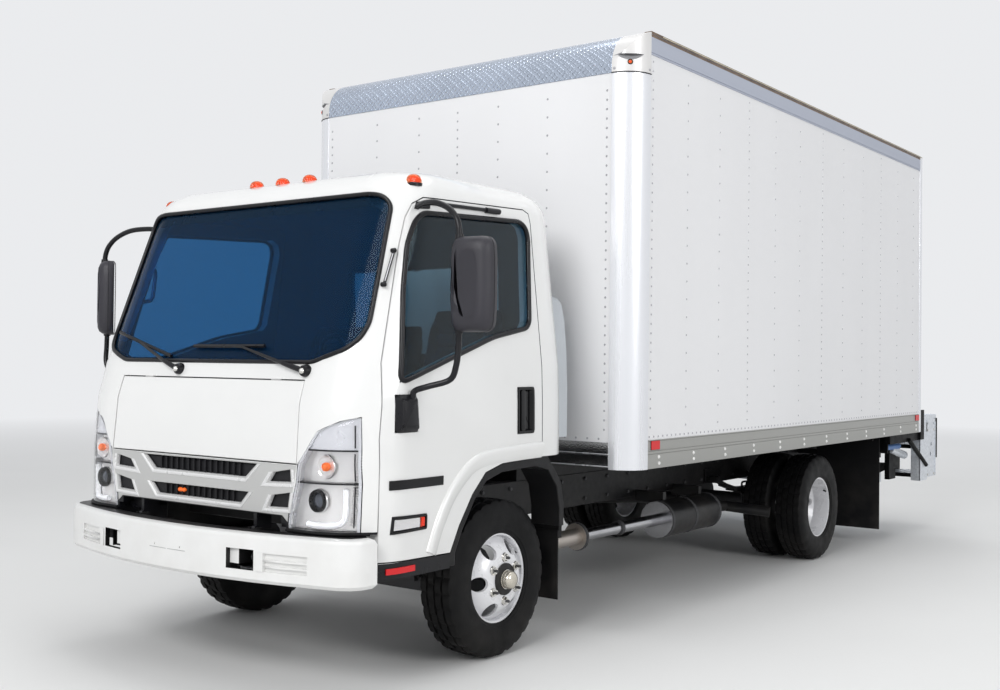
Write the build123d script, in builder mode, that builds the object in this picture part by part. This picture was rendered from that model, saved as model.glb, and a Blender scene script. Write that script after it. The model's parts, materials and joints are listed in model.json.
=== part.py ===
import os
from math import cos, pi, radians, sin

from build123d import *

os.makedirs("parts", exist_ok=True)

# Millimetres. The front faces -Y, the driver's side is +X, the ground is Z = 0.

# Layout along the truck
front_overhang = 1262
wheel_base = 3810
tail_overhang = 2378
overall_length = front_overhang + wheel_base + tail_overhang
front_axle_y = front_overhang - overall_length / 2
rear_axle_y = front_axle_y + wheel_base

# Clearances
panel_gap = 5.5
door_swing_gap = 9
seat_gap = 0.3
running_gap = 0.3

# Wheels and tyres
tyre_radius = 386
tyre_width = 216
tread_width = 168
shoulder_radius = 352
bead_bulge_radius = 285
ring_sides = 32
rim_radius = 221
rim_width = 168
rim_wall = 14
disc_offset = 127
disc_wall = 12
hand_hole_radius = 37
hand_hole_circle = 162
hand_hole_count = 6
hand_hole_start = 3
front_track = 1664
rear_track = 1650
hub_radius = 78
hub_cap_radius = 45
axle_height = tyre_radius * cos(pi / ring_sides)

# Flats of the bars and drums that nothing turns on
bar_flats = 8
pipe_flats = 12
drum_flats = 18

# Chassis frame
rail_outer = 432
rail_depth = 200
rail_flange = 65
rail_web = 8
rail_top = 760
rail_front_y = front_axle_y - 930
rail_rear_y = front_axle_y + 5440
rail_bottom = rail_top - rail_depth

# Front axle, knuckles and steering
kingpin_x = 700
kingpin_radius = 17
axle_eye_radius = 38
axle_eye_height = 90
axle_beam_drop = 80
axle_beam_height = 70
axle_beam_width = 80
knuckle_lug = 28
spindle_radius = 26
steering_arm = 160
tie_rod_radius = 15
tie_ball_radius = 11
tie_eye_radius = 24

# Rear axle
axle_tube_radius = 62
differential_radius = 190
brake_radius = 165

# Springs
spring_width = 70
spring_leaf = 12
spring_leaves = 4
leaf_runs = 5
front_spring_x = 397
rear_spring_x = 500
front_spring_reach = 560
rear_spring_reach = 620

# Cargo body
body_front_y = front_axle_y + 780
body_length = 4877
body_rear_y = body_front_y + body_length
body_half_width = 1219
body_bottom = 869
body_rail_top = 1024
body_roof_top = 3236
top_rail_depth = 126
skin_step = 5
wall_thickness = 40
corner_post_radius = 155
corner_post_wall = 34
nose_radius = 200
nose_bottom = 3000
floor_top = 1010
floor_thickness = 30
cross_member_pitch = 406
cross_member_width = 50
long_sill_width = 60
rear_frame_depth = 57
rear_post_width = 130
rear_header = 170
door_slat_count = 6
door_slat_depth = 26

# Cab
cab_wall = 60
corner_flats = 6
cab_bottom = 508
cab_floor_bottom = 706
cab_front_cut = front_axle_y - 925
cab_belly = 970
lid_depth = 25
skin_recess = 40
grille_depth = 20
lamp_depth = 45
lamp_rear_y = -946
glass_inset = 9
glass_thickness = 6
mirror_x = 1270
mirror_y = front_axle_y - 695
mirror_bottom = 1565
mirror_top = 1975

# Liftgate behind the cargo body
gate_plate_top = floor_top - 5
gate_plate_thickness = 40
gate_half_width = 1190
gate_pivot_y = front_axle_y + 5300
gate_pivot_z = 500
gate_hinge_y = front_axle_y + 5980
gate_hinge_z = 530
platform_half_width = 760
platform_length = 600
platform_thickness = 45


def at_front_axle(offset):
    """Y of a place measured rearwards from the front axle."""
    return front_axle_y + offset


def side_plane(x):
    """Plane facing the driver's side, drawn as (Y, Z)."""
    return Plane.YZ.offset(x)


def front_plane(y):
    """Plane facing forwards, drawn as (X, Z)."""
    return Plane.XZ.offset(-y)


def block(x_range, y_range, z_range, mode=Mode.ADD):
    """A box between three pairs of limits, in the active part."""
    spans = [high - low for low, high in (x_range, y_range, z_range)]
    middle = [(low + high) / 2 for low, high in (x_range, y_range, z_range)]
    with Locations(tuple(middle)):
        Box(*spans, mode=mode)


def rod(start, end, radius, mode=Mode.ADD, flats=0):
    """A bar between two points, in the active part: round, or with that many flats."""
    reach = Vector(*end) - Vector(*start)
    with BuildSketch(Plane(origin=start, z_dir=reach)) as section:
        if flats:
            RegularPolygon(radius, flats)
        else:
            Circle(radius)
    extrude(section.sketch, amount=reach.length, mode=mode)


def outline(points):
    """A closed straight-sided face, in the active sketch."""
    with BuildLine() as path:
        Polyline(*points, close=True)
    make_face(path.edges())


def faceted(rings, closed=False):
    """A flat-sided solid through rings of points, whose edges run parallel from ring to ring.

    A closed one joins its last ring to its first; otherwise the end rings are filled in.
    """
    following = [*rings[1:], rings[0]] if closed else rings[1:]
    faces = []
    for near, far in zip(rings, following):
        for index, corner in enumerate(near):
            after = (index + 1) % len(near)
            faces.append(Face(Wire.make_polygon((corner, near[after], far[after], far[index]))))
    if not closed:
        faces += [Face(Wire.make_polygon(ring)) for ring in (rings[0], rings[-1])]
    return Solid(Shell(faces))


def moved_in(points, amount):
    """Corners of an anticlockwise outline with each of its edges moved inwards by amount."""
    moved = []
    for index, (x, y) in enumerate(points):
        before = Vector(x, y) - Vector(*points[index - 1])
        after = Vector(*points[(index + 1) % len(points)]) - Vector(x, y)
        normals = [Vector(-run.Y, run.X).normalized() for run in (before, after)]
        reach = amount / (1 + normals[0].dot(normals[1]))
        moved.append((x + reach * (normals[0].X + normals[1].X), y + reach * (normals[0].Y + normals[1].Y)))
    return moved


def write_piece(piece, name):
    """Label a finished piece and write it."""
    piece.part.label = name
    export_step(piece.part, f"parts/{name}.step")


def write_mirrored(piece, name):
    """Write the other side's copy of a finished piece."""
    with BuildPart() as copy:
        add(piece.part)
        mirror(about=Plane.YZ, mode=Mode.REPLACE)
    write_piece(copy, name)


# Chassis frame: two channel rails, their cross members and the bumper brackets
cross_member_offsets = (-760, 1450, 2650, 3300, 4300, 5150)
with BuildPart() as frame_rails:
    for side in (-1, 1):
        web = (side * rail_outer, side * (rail_outer - rail_web))
        flange = (side * rail_outer, side * (rail_outer - rail_flange))
        block(sorted(web), (rail_front_y, rail_rear_y), (rail_bottom, rail_top))
        block(sorted(flange), (rail_front_y, rail_rear_y), (rail_top - rail_web, rail_top))
        block(sorted(flange), (rail_front_y, rail_rear_y), (rail_bottom, rail_bottom + rail_web))
    for offset_y in cross_member_offsets:
        middle = at_front_axle(offset_y)
        reach = rail_outer - rail_web
        block((-reach, reach), (middle - 40, middle + 40), (rail_top - 90, rail_top - rail_web))
write_piece(frame_rails, "frame_rails")

# Front bumper: a curved shell with a top flange, tow openings and ridged recesses
bumper_bottom = 487
bumper_top = 700
bumper_wall = 24
bumper_flange = 95
bumper_corner_x = 850
bumper_corner_y = front_axle_y - 1140
bumper_end_x = 1010
bumper_end_y = front_axle_y - 965
tow_x = 450
tow_width = 150
tow_height = 88
tow_z = 584
plate_hole_pitch = 178
plate_hole_radius = 4
plate_hole_z = 600
fog_recess_depth = 12
fog_bands = ((540, 558), (566, 584), (592, 618))

# Height and how far the section stands in, for the rounded lower and upper edges
bumper_levels = ((bumper_bottom, 14), (503, 0), (672, 0), (690, 8), (bumper_top, 26))


def bumper_outline(rear_y):
    """The bumper's corners from above, anticlockwise, with its ends carried back to rear_y."""
    nose_y = front_axle_y - front_overhang
    bow = bumper_corner_y - nose_y
    front = [(bumper_corner_x * step / 5, nose_y + bow * (step / 5) ** 2) for step in range(6)]
    bend = [
        (bumper_end_x - 86, bumper_corner_y + 18),
        (bumper_end_x - 36, bumper_corner_y + 52),
        (bumper_end_x - 9, bumper_corner_y + 100),
    ]
    right = [*front, *bend, (bumper_end_x, rear_y)]
    return [*[(-x, y) for x, y in reversed(right[1:])], *right]


def bumper_prism(inset, low, high):
    """An upright prism on the bumper's outline moved in by inset, open-ended to the rear."""
    with BuildPart() as prism:
        with BuildSketch(Plane.XY.offset(low)):
            outline(moved_in(bumper_outline(bumper_end_y + 2 * inset), inset))
        extrude(amount=high - low)
    return prism.part


with BuildPart() as fog_slots:
    for side in (-1, 1):
        for low, high in fog_bands:
            block(sorted((side * 575, side * 788)), (at_front_axle(-1290), at_front_axle(-1090)), (low, high))
fog_skin = bumper_prism(-2, 530, 630) - bumper_prism(fog_recess_depth, 530, 630)
fog_recess = fog_skin & fog_slots.part

# The tilt hinge's pins stand in plates on the bumper's brackets
tilt_pin_y = at_front_axle(-1096)
tilt_pin_z = 694
tilt_pin_radius = 8
tilt_knuckle_x = (390, 410)
tilt_plates_x = ((372, 384), (416, 428))

with BuildPart() as front_bumper:
    add(
        faceted(
            [
                [(x, y, height) for x, y in moved_in(bumper_outline(bumper_end_y), inset)]
                for height, inset in bumper_levels
            ]
        )
    )
    add(bumper_prism(bumper_wall, bumper_bottom - 1, bumper_top - bumper_wall), mode=Mode.SUBTRACT)
    add(bumper_prism(bumper_flange, bumper_bottom - 1, bumper_top + 1), mode=Mode.SUBTRACT)
    add(fog_recess, mode=Mode.SUBTRACT)
    for side in (-1, 1):
        block(
            (side * tow_x - tow_width / 2, side * tow_x + tow_width / 2),
            (at_front_axle(-1290), at_front_axle(-1140)),
            (tow_z - tow_height / 2, tow_z + tow_height / 2),
            Mode.SUBTRACT,
        )
    for side in (-1, 1):
        rod(
            (side * plate_hole_pitch / 2, at_front_axle(-1290), plate_hole_z),
            (side * plate_hole_pitch / 2, at_front_axle(-1200), plate_hole_z),
            plate_hole_radius,
            Mode.SUBTRACT,
        )
    # Brackets from the rail ends to the shell
    for side in (-1, 1):
        inner = sorted((side * (rail_outer - rail_flange), side * rail_outer))
        block(inner, (at_front_axle(-1214), rail_front_y), (rail_bottom, rail_bottom + 95))
        for low, high in tilt_plates_x:
            plate = sorted((side * low, side * high))
            block(
                plate,
                (tilt_pin_y - 18, tilt_pin_y + 18),
                (rail_bottom + 94, tilt_pin_z + tilt_pin_radius - 1),
            )
        rod(
            (side * tilt_plates_x[0][0], tilt_pin_y, tilt_pin_z),
            (side * tilt_plates_x[1][1], tilt_pin_y, tilt_pin_z),
            tilt_pin_radius,
        )
write_piece(front_bumper, "front_bumper")

# Front axle: dropped beam with an upright eye at each end
beam_top = axle_height - axle_beam_drop + axle_beam_height / 2
beam_bottom = beam_top - axle_beam_height
with BuildPart() as front_axle:
    with BuildSketch(front_plane(front_axle_y - axle_beam_width / 2)):
        outline(
            (
                (-560, beam_bottom),
                (560, beam_bottom),
                (kingpin_x - 48, axle_height - axle_eye_height / 2),
                (kingpin_x, axle_height - axle_eye_height / 2),
                (kingpin_x, axle_height + axle_eye_height / 2),
                (kingpin_x - 48, axle_height + axle_eye_height / 2),
                (520, beam_top),
                (-520, beam_top),
                (-kingpin_x + 48, axle_height + axle_eye_height / 2),
                (-kingpin_x, axle_height + axle_eye_height / 2),
                (-kingpin_x, axle_height - axle_eye_height / 2),
                (-kingpin_x + 48, axle_height - axle_eye_height / 2),
            )
        )
    extrude(amount=-axle_beam_width)
    for side in (-1, 1):
        with Locations((side * kingpin_x, front_axle_y, axle_height)):
            Cylinder(axle_eye_radius, axle_eye_height)
            Cylinder(kingpin_radius + running_gap, axle_eye_height * 1.2, mode=Mode.SUBTRACT)
    for side in (-1, 1):
        pad = sorted((side * (front_spring_x - 45), side * (front_spring_x + 45)))
        block(pad, (front_axle_y - 70, front_axle_y + 70), (beam_top - 20, beam_top + 12))
write_piece(front_axle, "front_axle")
front_spring_seat = beam_top + 12

# Rear axle: tube, round differential case with its nose, spring pads and brake plates
hub_seat_x = rear_track / 2
rear_pad_top = axle_height + axle_tube_radius + 14
with BuildPart() as rear_axle:
    rod(
        (-hub_seat_x - 60, rear_axle_y, axle_height),
        (hub_seat_x + 60, rear_axle_y, axle_height),
        axle_tube_radius - 12,
    )
    rod(
        (-560, rear_axle_y, axle_height),
        (560, rear_axle_y, axle_height),
        axle_tube_radius,
        flats=pipe_flats,
    )
    with BuildSketch(Plane.YZ.offset(-95)):
        with Locations((rear_axle_y, axle_height)):
            RegularPolygon(differential_radius, 16)
    extrude(amount=190)
    rod(
        (0, rear_axle_y - differential_radius + 30, axle_height + 20),
        (0, rear_axle_y - differential_radius - 130, axle_height + 20),
        70,
        flats=pipe_flats,
    )
    for side in (-1, 1):
        pad = sorted((side * (rear_spring_x - 45), side * (rear_spring_x + 45)))
        block(
            pad,
            (rear_axle_y - 75, rear_axle_y + 75),
            (axle_height + axle_tube_radius - 22, rear_pad_top),
        )
write_piece(rear_axle, "rear_axle")


# Leaf springs with the hangers that hold their ends under the rails
eye_rise = 95
eye_radius = 24


def spring_rise(along):
    """How far a leaf has risen at a share of its reach: flat over the axle, then an even curve."""
    flat = 1 / leaf_runs
    return eye_rise * (max(0, abs(along) - flat) / (1 - flat)) ** 2


def spring_outline(middle_y, reach, seat_z):
    """Side view of a pack of leaves, each shorter by one run at both ends than the one above it."""
    stations = [step / leaf_runs for step in range(leaf_runs, -leaf_runs - 1, -1) if step]
    top = seat_z + spring_leaf * spring_leaves
    over = [(middle_y + reach * along, top + spring_rise(along)) for along in stations]
    half = []
    for index in range(spring_leaves):
        low = top - spring_leaf * (index + 1)
        ends = (-1 + index / leaf_runs, -1 + (index + 1) / leaf_runs)
        half += [(reach * along, low + spring_rise(along)) for along in ends]
    under = [(middle_y + y, z) for y, z in half]
    return [*over, *under, *[(middle_y - y, z) for y, z in reversed(half)]]


def spring_pack(x, middle_y, reach, seat_z, hanger_x):
    """A pack of leaves from one eye to the other, in the active part."""
    side = 1 if x > 0 else -1
    span = sorted((x - spring_width / 2, x + spring_width / 2))
    with BuildSketch(side_plane(span[0])) as leaves:
        outline(spring_outline(middle_y, reach, seat_z))
    extrude(leaves.sketch, amount=spring_width)
    eye_z = seat_z + spring_leaf * spring_leaves - spring_leaf / 2 + eye_rise
    for end in (-1, 1):
        eye_y = middle_y + end * reach
        hanger = sorted((hanger_x, x - side * spring_width / 2))
        rod((span[0], eye_y, eye_z), (span[1], eye_y, eye_z), eye_radius, flats=pipe_flats)
        hanger_top = max(eye_z + 20, rail_bottom)
        block(sorted((x - 30, x + 30)), (eye_y - 30, eye_y + 30), (eye_z - eye_radius, hanger_top))
        if abs(hanger[1] - hanger[0]) > 1 and abs(x) > rail_outer:
            block(hanger, (eye_y - 30, eye_y + 30), (eye_z - eye_radius, hanger_top))
            plate = sorted((side * rail_outer, side * (rail_outer + 12)))
            block(plate, (eye_y - 45, eye_y + 45), (eye_z - eye_radius, rail_bottom + 110))


with BuildPart() as leaf_springs:
    for side in (-1, 1):
        spring_pack(
            side * front_spring_x, front_axle_y, front_spring_reach, front_spring_seat, side * 380
        )
        spring_pack(
            side * rear_spring_x, rear_axle_y, rear_spring_reach, rear_pad_top, side * rail_outer
        )
write_piece(leaf_springs, "leaf_springs")

# Engine and gearbox as one plain block between the rails
engine_front_y = at_front_axle(-150)
engine_rear_y = at_front_axle(600)
gearbox_rear_y = at_front_axle(1250)
shaft_front_z = 600
with BuildPart() as engine_block:
    block((-260, 260), (engine_front_y, engine_rear_y), (480, 900))
    block((-330, 330), (engine_rear_y - 60, engine_rear_y), (620, 700))
    gearbox_ends = ((engine_rear_y, 210, 150), (gearbox_rear_y, 100, 85))
    corner_signs = ((-1, -1), (1, -1), (1, 1), (-1, 1))
    add(
        faceted(
            [
                [(x * half, y, shaft_front_z + z * rise) for x, z in corner_signs]
                for y, half, rise in gearbox_ends
            ]
        )
    )
    for side in (-1, 1):
        mount = sorted((side * 250, side * (rail_outer - rail_web)))
        block(mount, (at_front_axle(60), at_front_axle(160)), (rail_bottom + 60, rail_bottom + 110))
write_piece(engine_block, "engine_block")

# Drive shaft from the gearbox to the differential
shaft_rear_y = rear_axle_y - differential_radius - 130
shaft_rear_z = axle_height + 20
shaft_flange = 14
with BuildPart() as drive_shaft:
    flanges = (
        (gearbox_rear_y, gearbox_rear_y + shaft_flange, shaft_front_z),
        (shaft_rear_y - shaft_flange, shaft_rear_y, shaft_rear_z),
    )
    for start_y, end_y, height in flanges:
        rod((0, start_y, height), (0, end_y, height), 62, flats=pipe_flats)
    rod(
        (0, gearbox_rear_y + 6, shaft_front_z),
        (0, shaft_rear_y - 6, shaft_rear_z),
        42,
        flats=pipe_flats,
    )
write_piece(drive_shaft, "drive_shaft")

# Fuel tank on brackets on the passenger's side
tank_inner_x = -470
tank_outer_x = -900
with BuildPart() as fuel_tank:
    block((tank_outer_x, tank_inner_x), (at_front_axle(1050), at_front_axle(1950)), (400, 740))
    fillet(fuel_tank.edges().filter_by(Axis.Y), 60)
    for offset_y in (1250, 1750):
        middle = at_front_axle(offset_y)
        block((tank_inner_x - 80, -rail_outer), (middle - 30, middle + 30), (570, 700))
write_piece(fuel_tank, "fuel_tank")

# Exhaust: converter, flange, long pipe, silencer and tail pipe on the driver's side
exhaust_z = 430
exhaust_x = 640
exhaust_pipe_radius = 37
exhaust_runs = (
    (at_front_axle(830), at_front_axle(1120), 46),
    (at_front_axle(1120), at_front_axle(1150), 78),
    (at_front_axle(1150), at_front_axle(2080), exhaust_pipe_radius),
    (at_front_axle(2080), at_front_axle(2780), 118),
    (at_front_axle(2780), at_front_axle(3080), exhaust_pipe_radius),
)
with BuildPart() as exhaust:
    for start_y, end_y, radius in exhaust_runs:
        rod(
            (exhaust_x, start_y - 3, exhaust_z),
            (exhaust_x, end_y, exhaust_z),
            radius,
            flats=drum_flats if radius > 60 else pipe_flats,
        )
    bends = (
        ((exhaust_x - 260, at_front_axle(860), 500), (exhaust_x, at_front_axle(860), exhaust_z)),
        ((exhaust_x, at_front_axle(3060), exhaust_z), (exhaust_x + 300, at_front_axle(3160), 400)),
    )
    for start, end in bends:
        rod(start, end, exhaust_pipe_radius, flats=pipe_flats)
    for offset_y in (2180, 2680):
        middle = at_front_axle(offset_y)
        block((rail_outer, exhaust_x), (middle - 20, middle + 20), (exhaust_z + 100, rail_bottom + 40))
write_piece(exhaust, "exhaust")

# Mud flaps with their hanging brackets
front_flap_y = at_front_axle(505)
rear_flap_y = at_front_axle(4870)
with BuildPart() as mud_flaps:
    for side in (-1, 1):
        block(
            sorted((side * 750, side * 930)), (front_flap_y, front_flap_y + 8), (200, 560)
        )
        block(
            sorted((side * rail_outer, side * 930)),
            (front_flap_y + 8, front_flap_y + 38),
            (520, 560 + 40),
        )
        block(
            sorted((side * 600, side * 1130)), (rear_flap_y, rear_flap_y + 8), (110, body_bottom)
        )
        block(
            sorted((side * rail_outer, side * 1130)),
            (rear_flap_y + 8, rear_flap_y + 38),
            (rail_top - 70, rail_top - 30),
        )
write_piece(mud_flaps, "mud_flaps")

# Wheels: each tyre and rim is a section carried round the axle in flats
tyre_section = (
    (-tyre_width / 2, shoulder_radius),
    (-tread_width / 2, tyre_radius),
    (tread_width / 2, tyre_radius),
    (tyre_width / 2, shoulder_radius),
    (tyre_width / 2, bead_bulge_radius),
    (rim_width / 2, rim_radius),
    (-rim_width / 2, rim_radius),
    (-tyre_width / 2, bead_bulge_radius),
)
rim_inner = rim_radius - rim_wall
disc_seat = rim_width / 2 - 34
disc_flat_radius = 118
disc_bore_radius = 60
rim_section = (
    (-rim_width / 2, rim_radius),
    (rim_width / 2, rim_radius),
    (rim_width / 2, rim_inner),
    (disc_seat, rim_inner),
    (disc_offset, disc_flat_radius),
    (disc_offset, disc_bore_radius),
    (disc_offset - disc_wall, disc_bore_radius),
    (disc_offset - disc_wall, disc_flat_radius - 8),
    (disc_seat - disc_wall - 8, rim_inner),
    (-rim_width / 2, rim_inner),
)


def turned(centre_x, centre_y, section):
    """A closed section, given as (distance along the axle, radius), carried round the axle."""
    flat = 2 * pi / ring_sides
    return faceted(
        [
            [
                (
                    centre_x + along,
                    centre_y + radius * sin((index + 0.5) * flat),
                    axle_height - radius * cos((index + 0.5) * flat),
                )
                for index in range(ring_sides)
            ]
            for along, radius in section
        ],
        closed=True,
    )


def rim(centre_x, centre_y, outward):
    """Steel wheel whose disc stands off its centre towards outward, in the active part."""
    add(turned(centre_x, centre_y, [(outward * along, radius) for along, radius in rim_section]))
    with BuildSketch(Plane.YZ.offset(centre_x)) as holes:
        with Locations((centre_y, axle_height)):
            with PolarLocations(hand_hole_circle, hand_hole_count, start_angle=hand_hole_start):
                RegularPolygon(hand_hole_radius, 10)
    extrude(holes.sketch, amount=outward * (disc_offset + 20), mode=Mode.SUBTRACT)


front_wheel_x = front_track / 2
rear_inner_x = rear_track / 2 - disc_offset
rear_outer_x = rear_track / 2 + disc_offset

with BuildPart() as front_tyre_left:
    add(turned(front_wheel_x, front_axle_y, tyre_section))
write_piece(front_tyre_left, "front_tyre_left")
write_mirrored(front_tyre_left, "front_tyre_right")

front_hub_reach = 62
hub_face_reach = 10
with BuildPart() as front_rim_left:
    rim(front_wheel_x, front_axle_y, 1)
    disc_x = front_wheel_x + disc_offset
    rod(
        (disc_x - 70, front_axle_y, axle_height),
        (disc_x + hub_face_reach, front_axle_y, axle_height),
        hub_radius,
        flats=drum_flats,
    )
    rod(
        (disc_x, front_axle_y, axle_height),
        (disc_x + front_hub_reach, front_axle_y, axle_height),
        hub_cap_radius,
        flats=drum_flats,
    )
    rod(
        (disc_x - 71, front_axle_y, axle_height),
        (disc_x + front_hub_reach - 12, front_axle_y, axle_height),
        spindle_radius + running_gap,
        Mode.SUBTRACT,
    )
write_piece(front_rim_left, "front_rim_left")
write_mirrored(front_rim_left, "front_rim_right")

with BuildPart() as rear_tyres_left:
    add(turned(rear_inner_x, rear_axle_y, tyre_section))
    add(turned(rear_outer_x, rear_axle_y, tyre_section))
write_piece(rear_tyres_left, "rear_tyres_left")
write_mirrored(rear_tyres_left, "rear_tyres_right")

with BuildPart() as rear_rims_left:
    rim(rear_inner_x, rear_axle_y, 1)
    rim(rear_outer_x, rear_axle_y, -1)
    rod(
        (hub_seat_x - 60, rear_axle_y, axle_height),
        (hub_seat_x + 120, rear_axle_y, axle_height),
        hub_radius + 8,
        flats=drum_flats,
    )
    rod(
        (hub_seat_x - 61, rear_axle_y, axle_height),
        (hub_seat_x + 80, rear_axle_y, axle_height),
        axle_tube_radius - 12 + running_gap,
        Mode.SUBTRACT,
    )
write_piece(rear_rims_left, "rear_rims_left")
write_mirrored(rear_rims_left, "rear_rims_right")

# Steering knuckle: lugs above and below the axle eye, kingpin, spindle and steering arm
lug_low = axle_height - axle_eye_height / 2 - 0.5 - knuckle_lug
lug_high = axle_height + axle_eye_height / 2 + 0.5
tie_z = lug_low + knuckle_lug / 2 - 12
spindle_end = front_wheel_x + disc_offset + front_hub_reach - 14
tie_y = front_axle_y + steering_arm
with BuildPart() as knuckle_left:
    rod(
        (kingpin_x, front_axle_y, lug_low),
        (kingpin_x, front_axle_y, lug_high + knuckle_lug),
        kingpin_radius,
    )
    for low in (lug_low, lug_high):
        rod(
            (kingpin_x, front_axle_y, low),
            (kingpin_x, front_axle_y, low + knuckle_lug),
            36,
            flats=pipe_flats,
        )
        block(
            (kingpin_x, kingpin_x + 62), (front_axle_y - 36, front_axle_y + 36), (low, low + knuckle_lug)
        )
    block(
        (kingpin_x + axle_eye_radius + 6, kingpin_x + 62),
        (front_axle_y - 36, front_axle_y + 36),
        (lug_low, lug_high + knuckle_lug),
    )
    rod(
        (kingpin_x + 60, front_axle_y, axle_height),
        (kingpin_x + 72, front_axle_y, axle_height),
        brake_radius - 25,
        flats=drum_flats,
    )
    rod(
        (kingpin_x + 60, front_axle_y, axle_height),
        (spindle_end, front_axle_y, axle_height),
        spindle_radius,
    )
    block(
        (kingpin_x - 22, kingpin_x + 22), (front_axle_y, tie_y + 20), (lug_low, lug_low + 22)
    )
    rod((kingpin_x, tie_y, lug_low - 36), (kingpin_x, tie_y, lug_low + 4), tie_ball_radius)
write_piece(knuckle_left, "knuckle_left")
write_mirrored(knuckle_left, "knuckle_right")

# Tie rod with an eye on each steering arm's pin
tie_eye_z = lug_low - 20
with BuildPart() as tie_rod:
    rod(
        (-kingpin_x, tie_y, tie_eye_z),
        (kingpin_x, tie_y, tie_eye_z),
        tie_rod_radius - 2,
        flats=bar_flats,
    )
    for side in (-1, 1):
        rod(
            (side * kingpin_x, tie_y, tie_eye_z - tie_rod_radius),
            (side * kingpin_x, tie_y, tie_eye_z + tie_rod_radius),
            tie_eye_radius,
            flats=pipe_flats,
        )
    for side in (-1, 1):
        with Locations((side * kingpin_x, tie_y, tie_eye_z)):
            Cylinder(tie_ball_radius + running_gap, 3 * tie_rod_radius, mode=Mode.SUBTRACT)
write_piece(tie_rod, "tie_rod")

post_x = body_half_width - corner_post_radius
wall_front_y = body_front_y + corner_post_radius

# Cargo body floor: deck, cross members and the sills that lie on the rails
side_inner = body_half_width - skin_step - wall_thickness
floor_front_y = body_front_y + wall_thickness
floor_rear_y = body_rear_y - rear_frame_depth
door_front_face_y = floor_rear_y - seat_gap - door_slat_depth
deck_rear_y = door_front_face_y - 2
cross_member_top = floor_top - floor_thickness
cross_member_bottom = body_bottom + 11
cross_member_count = int((floor_rear_y - wall_front_y - 80) // cross_member_pitch) + 1
with BuildPart() as box_floor:
    block((-side_inner, side_inner), (wall_front_y, deck_rear_y), (cross_member_top, floor_top))
    block((-post_x, post_x), (floor_front_y, wall_front_y), (cross_member_top, floor_top))
    for index in range(cross_member_count):
        start = wall_front_y + index * cross_member_pitch
        block(
            (-side_inner, side_inner),
            (start, start + cross_member_width),
            (cross_member_bottom, cross_member_top),
        )
    for side in (-1, 1):
        sill = sorted((side * (rail_outer - long_sill_width), side * rail_outer))
        block(sill, (floor_front_y, rail_rear_y), (rail_top, cross_member_bottom))
write_piece(box_floor, "box_floor")

# Cargo body front wall
with BuildPart() as box_front_wall:
    block(
        (-post_x, post_x),
        (body_front_y + skin_step, body_front_y + wall_thickness),
        (body_rail_top - 12, nose_bottom),
    )
write_piece(box_front_wall, "box_front_wall")

# Side walls
top_rail_bottom = body_roof_top - top_rail_depth
with BuildPart() as box_wall_left:
    block(
        (side_inner, body_half_width - skin_step),
        (wall_front_y, floor_rear_y),
        (body_rail_top, top_rail_bottom),
    )
write_piece(box_wall_left, "box_wall_left")
write_mirrored(box_wall_left, "box_wall_right")

# Rails: along the bottom and top of each side, and the sill under the front wall
with BuildPart() as box_side_rails:
    for side in (-1, 1):
        across = sorted((side * side_inner, side * body_half_width))
        block(across, (wall_front_y, floor_rear_y), (body_bottom, body_rail_top))
        block(across, (wall_front_y, floor_rear_y), (top_rail_bottom, body_roof_top))
    block(
        (-post_x, post_x),
        (body_front_y, body_front_y + wall_thickness),
        (body_bottom + 11, body_rail_top - 12),
    )
write_piece(box_side_rails, "box_side_rails")

# Roof panel
roof_thickness = 30
with BuildPart() as box_roof:
    block(
        (-side_inner, side_inner),
        (body_front_y + nose_radius, floor_rear_y),
        (body_roof_top - roof_thickness, body_roof_top - 4),
    )
write_piece(box_roof, "box_roof")


# Nose above the front wall: a strip, then a round turn up to the roof
def nose_profile():
    """Section of the nose, with its skin's thickness, in the active sketch."""
    front = body_front_y
    turn = nose_radius / 2 ** 0.5
    inner = nose_radius - wall_thickness
    inner_turn = inner / 2 ** 0.5
    centre = (front + nose_radius, body_roof_top - nose_radius)
    with BuildLine() as path:
        Line((front, nose_bottom), (front, centre[1]))
        ThreePointArc(
            (front, centre[1]),
            (centre[0] - turn, centre[1] + turn),
            (centre[0], body_roof_top),
        )
        Line((centre[0], body_roof_top), (centre[0], body_roof_top - wall_thickness))
        ThreePointArc(
            (centre[0], body_roof_top - wall_thickness),
            (centre[0] - inner_turn, centre[1] + inner_turn),
            (front + wall_thickness, centre[1]),
        )
        Line((front + wall_thickness, centre[1]), (front + wall_thickness, nose_bottom))
        Line((front + wall_thickness, nose_bottom), (front, nose_bottom))
    make_face(path.edges())


with BuildPart() as box_front_radius:
    with BuildSketch(side_plane(-post_x)):
        nose_profile()
    extrude(amount=2 * post_x)
write_piece(box_front_radius, "box_front_radius")

# Round corner posts between the front wall and the sides
post_centre = (post_x, wall_front_y)
with BuildPart() as box_corner_posts:
    for side in (-1, 1):
        with BuildSketch(Plane.XY.offset(body_bottom - 2)):
            with Locations((side * post_centre[0], post_centre[1])):
                Circle(corner_post_radius)
                Circle(corner_post_radius - corner_post_wall, mode=Mode.SUBTRACT)
            keep_x = side * (post_centre[0] + corner_post_radius / 2)
            with Locations((keep_x, post_centre[1] - corner_post_radius / 2)):
                Rectangle(corner_post_radius, corner_post_radius, mode=Mode.INTERSECT)
        extrude(amount=nose_bottom - body_bottom)
write_piece(box_corner_posts, "box_corner_posts")

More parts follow.
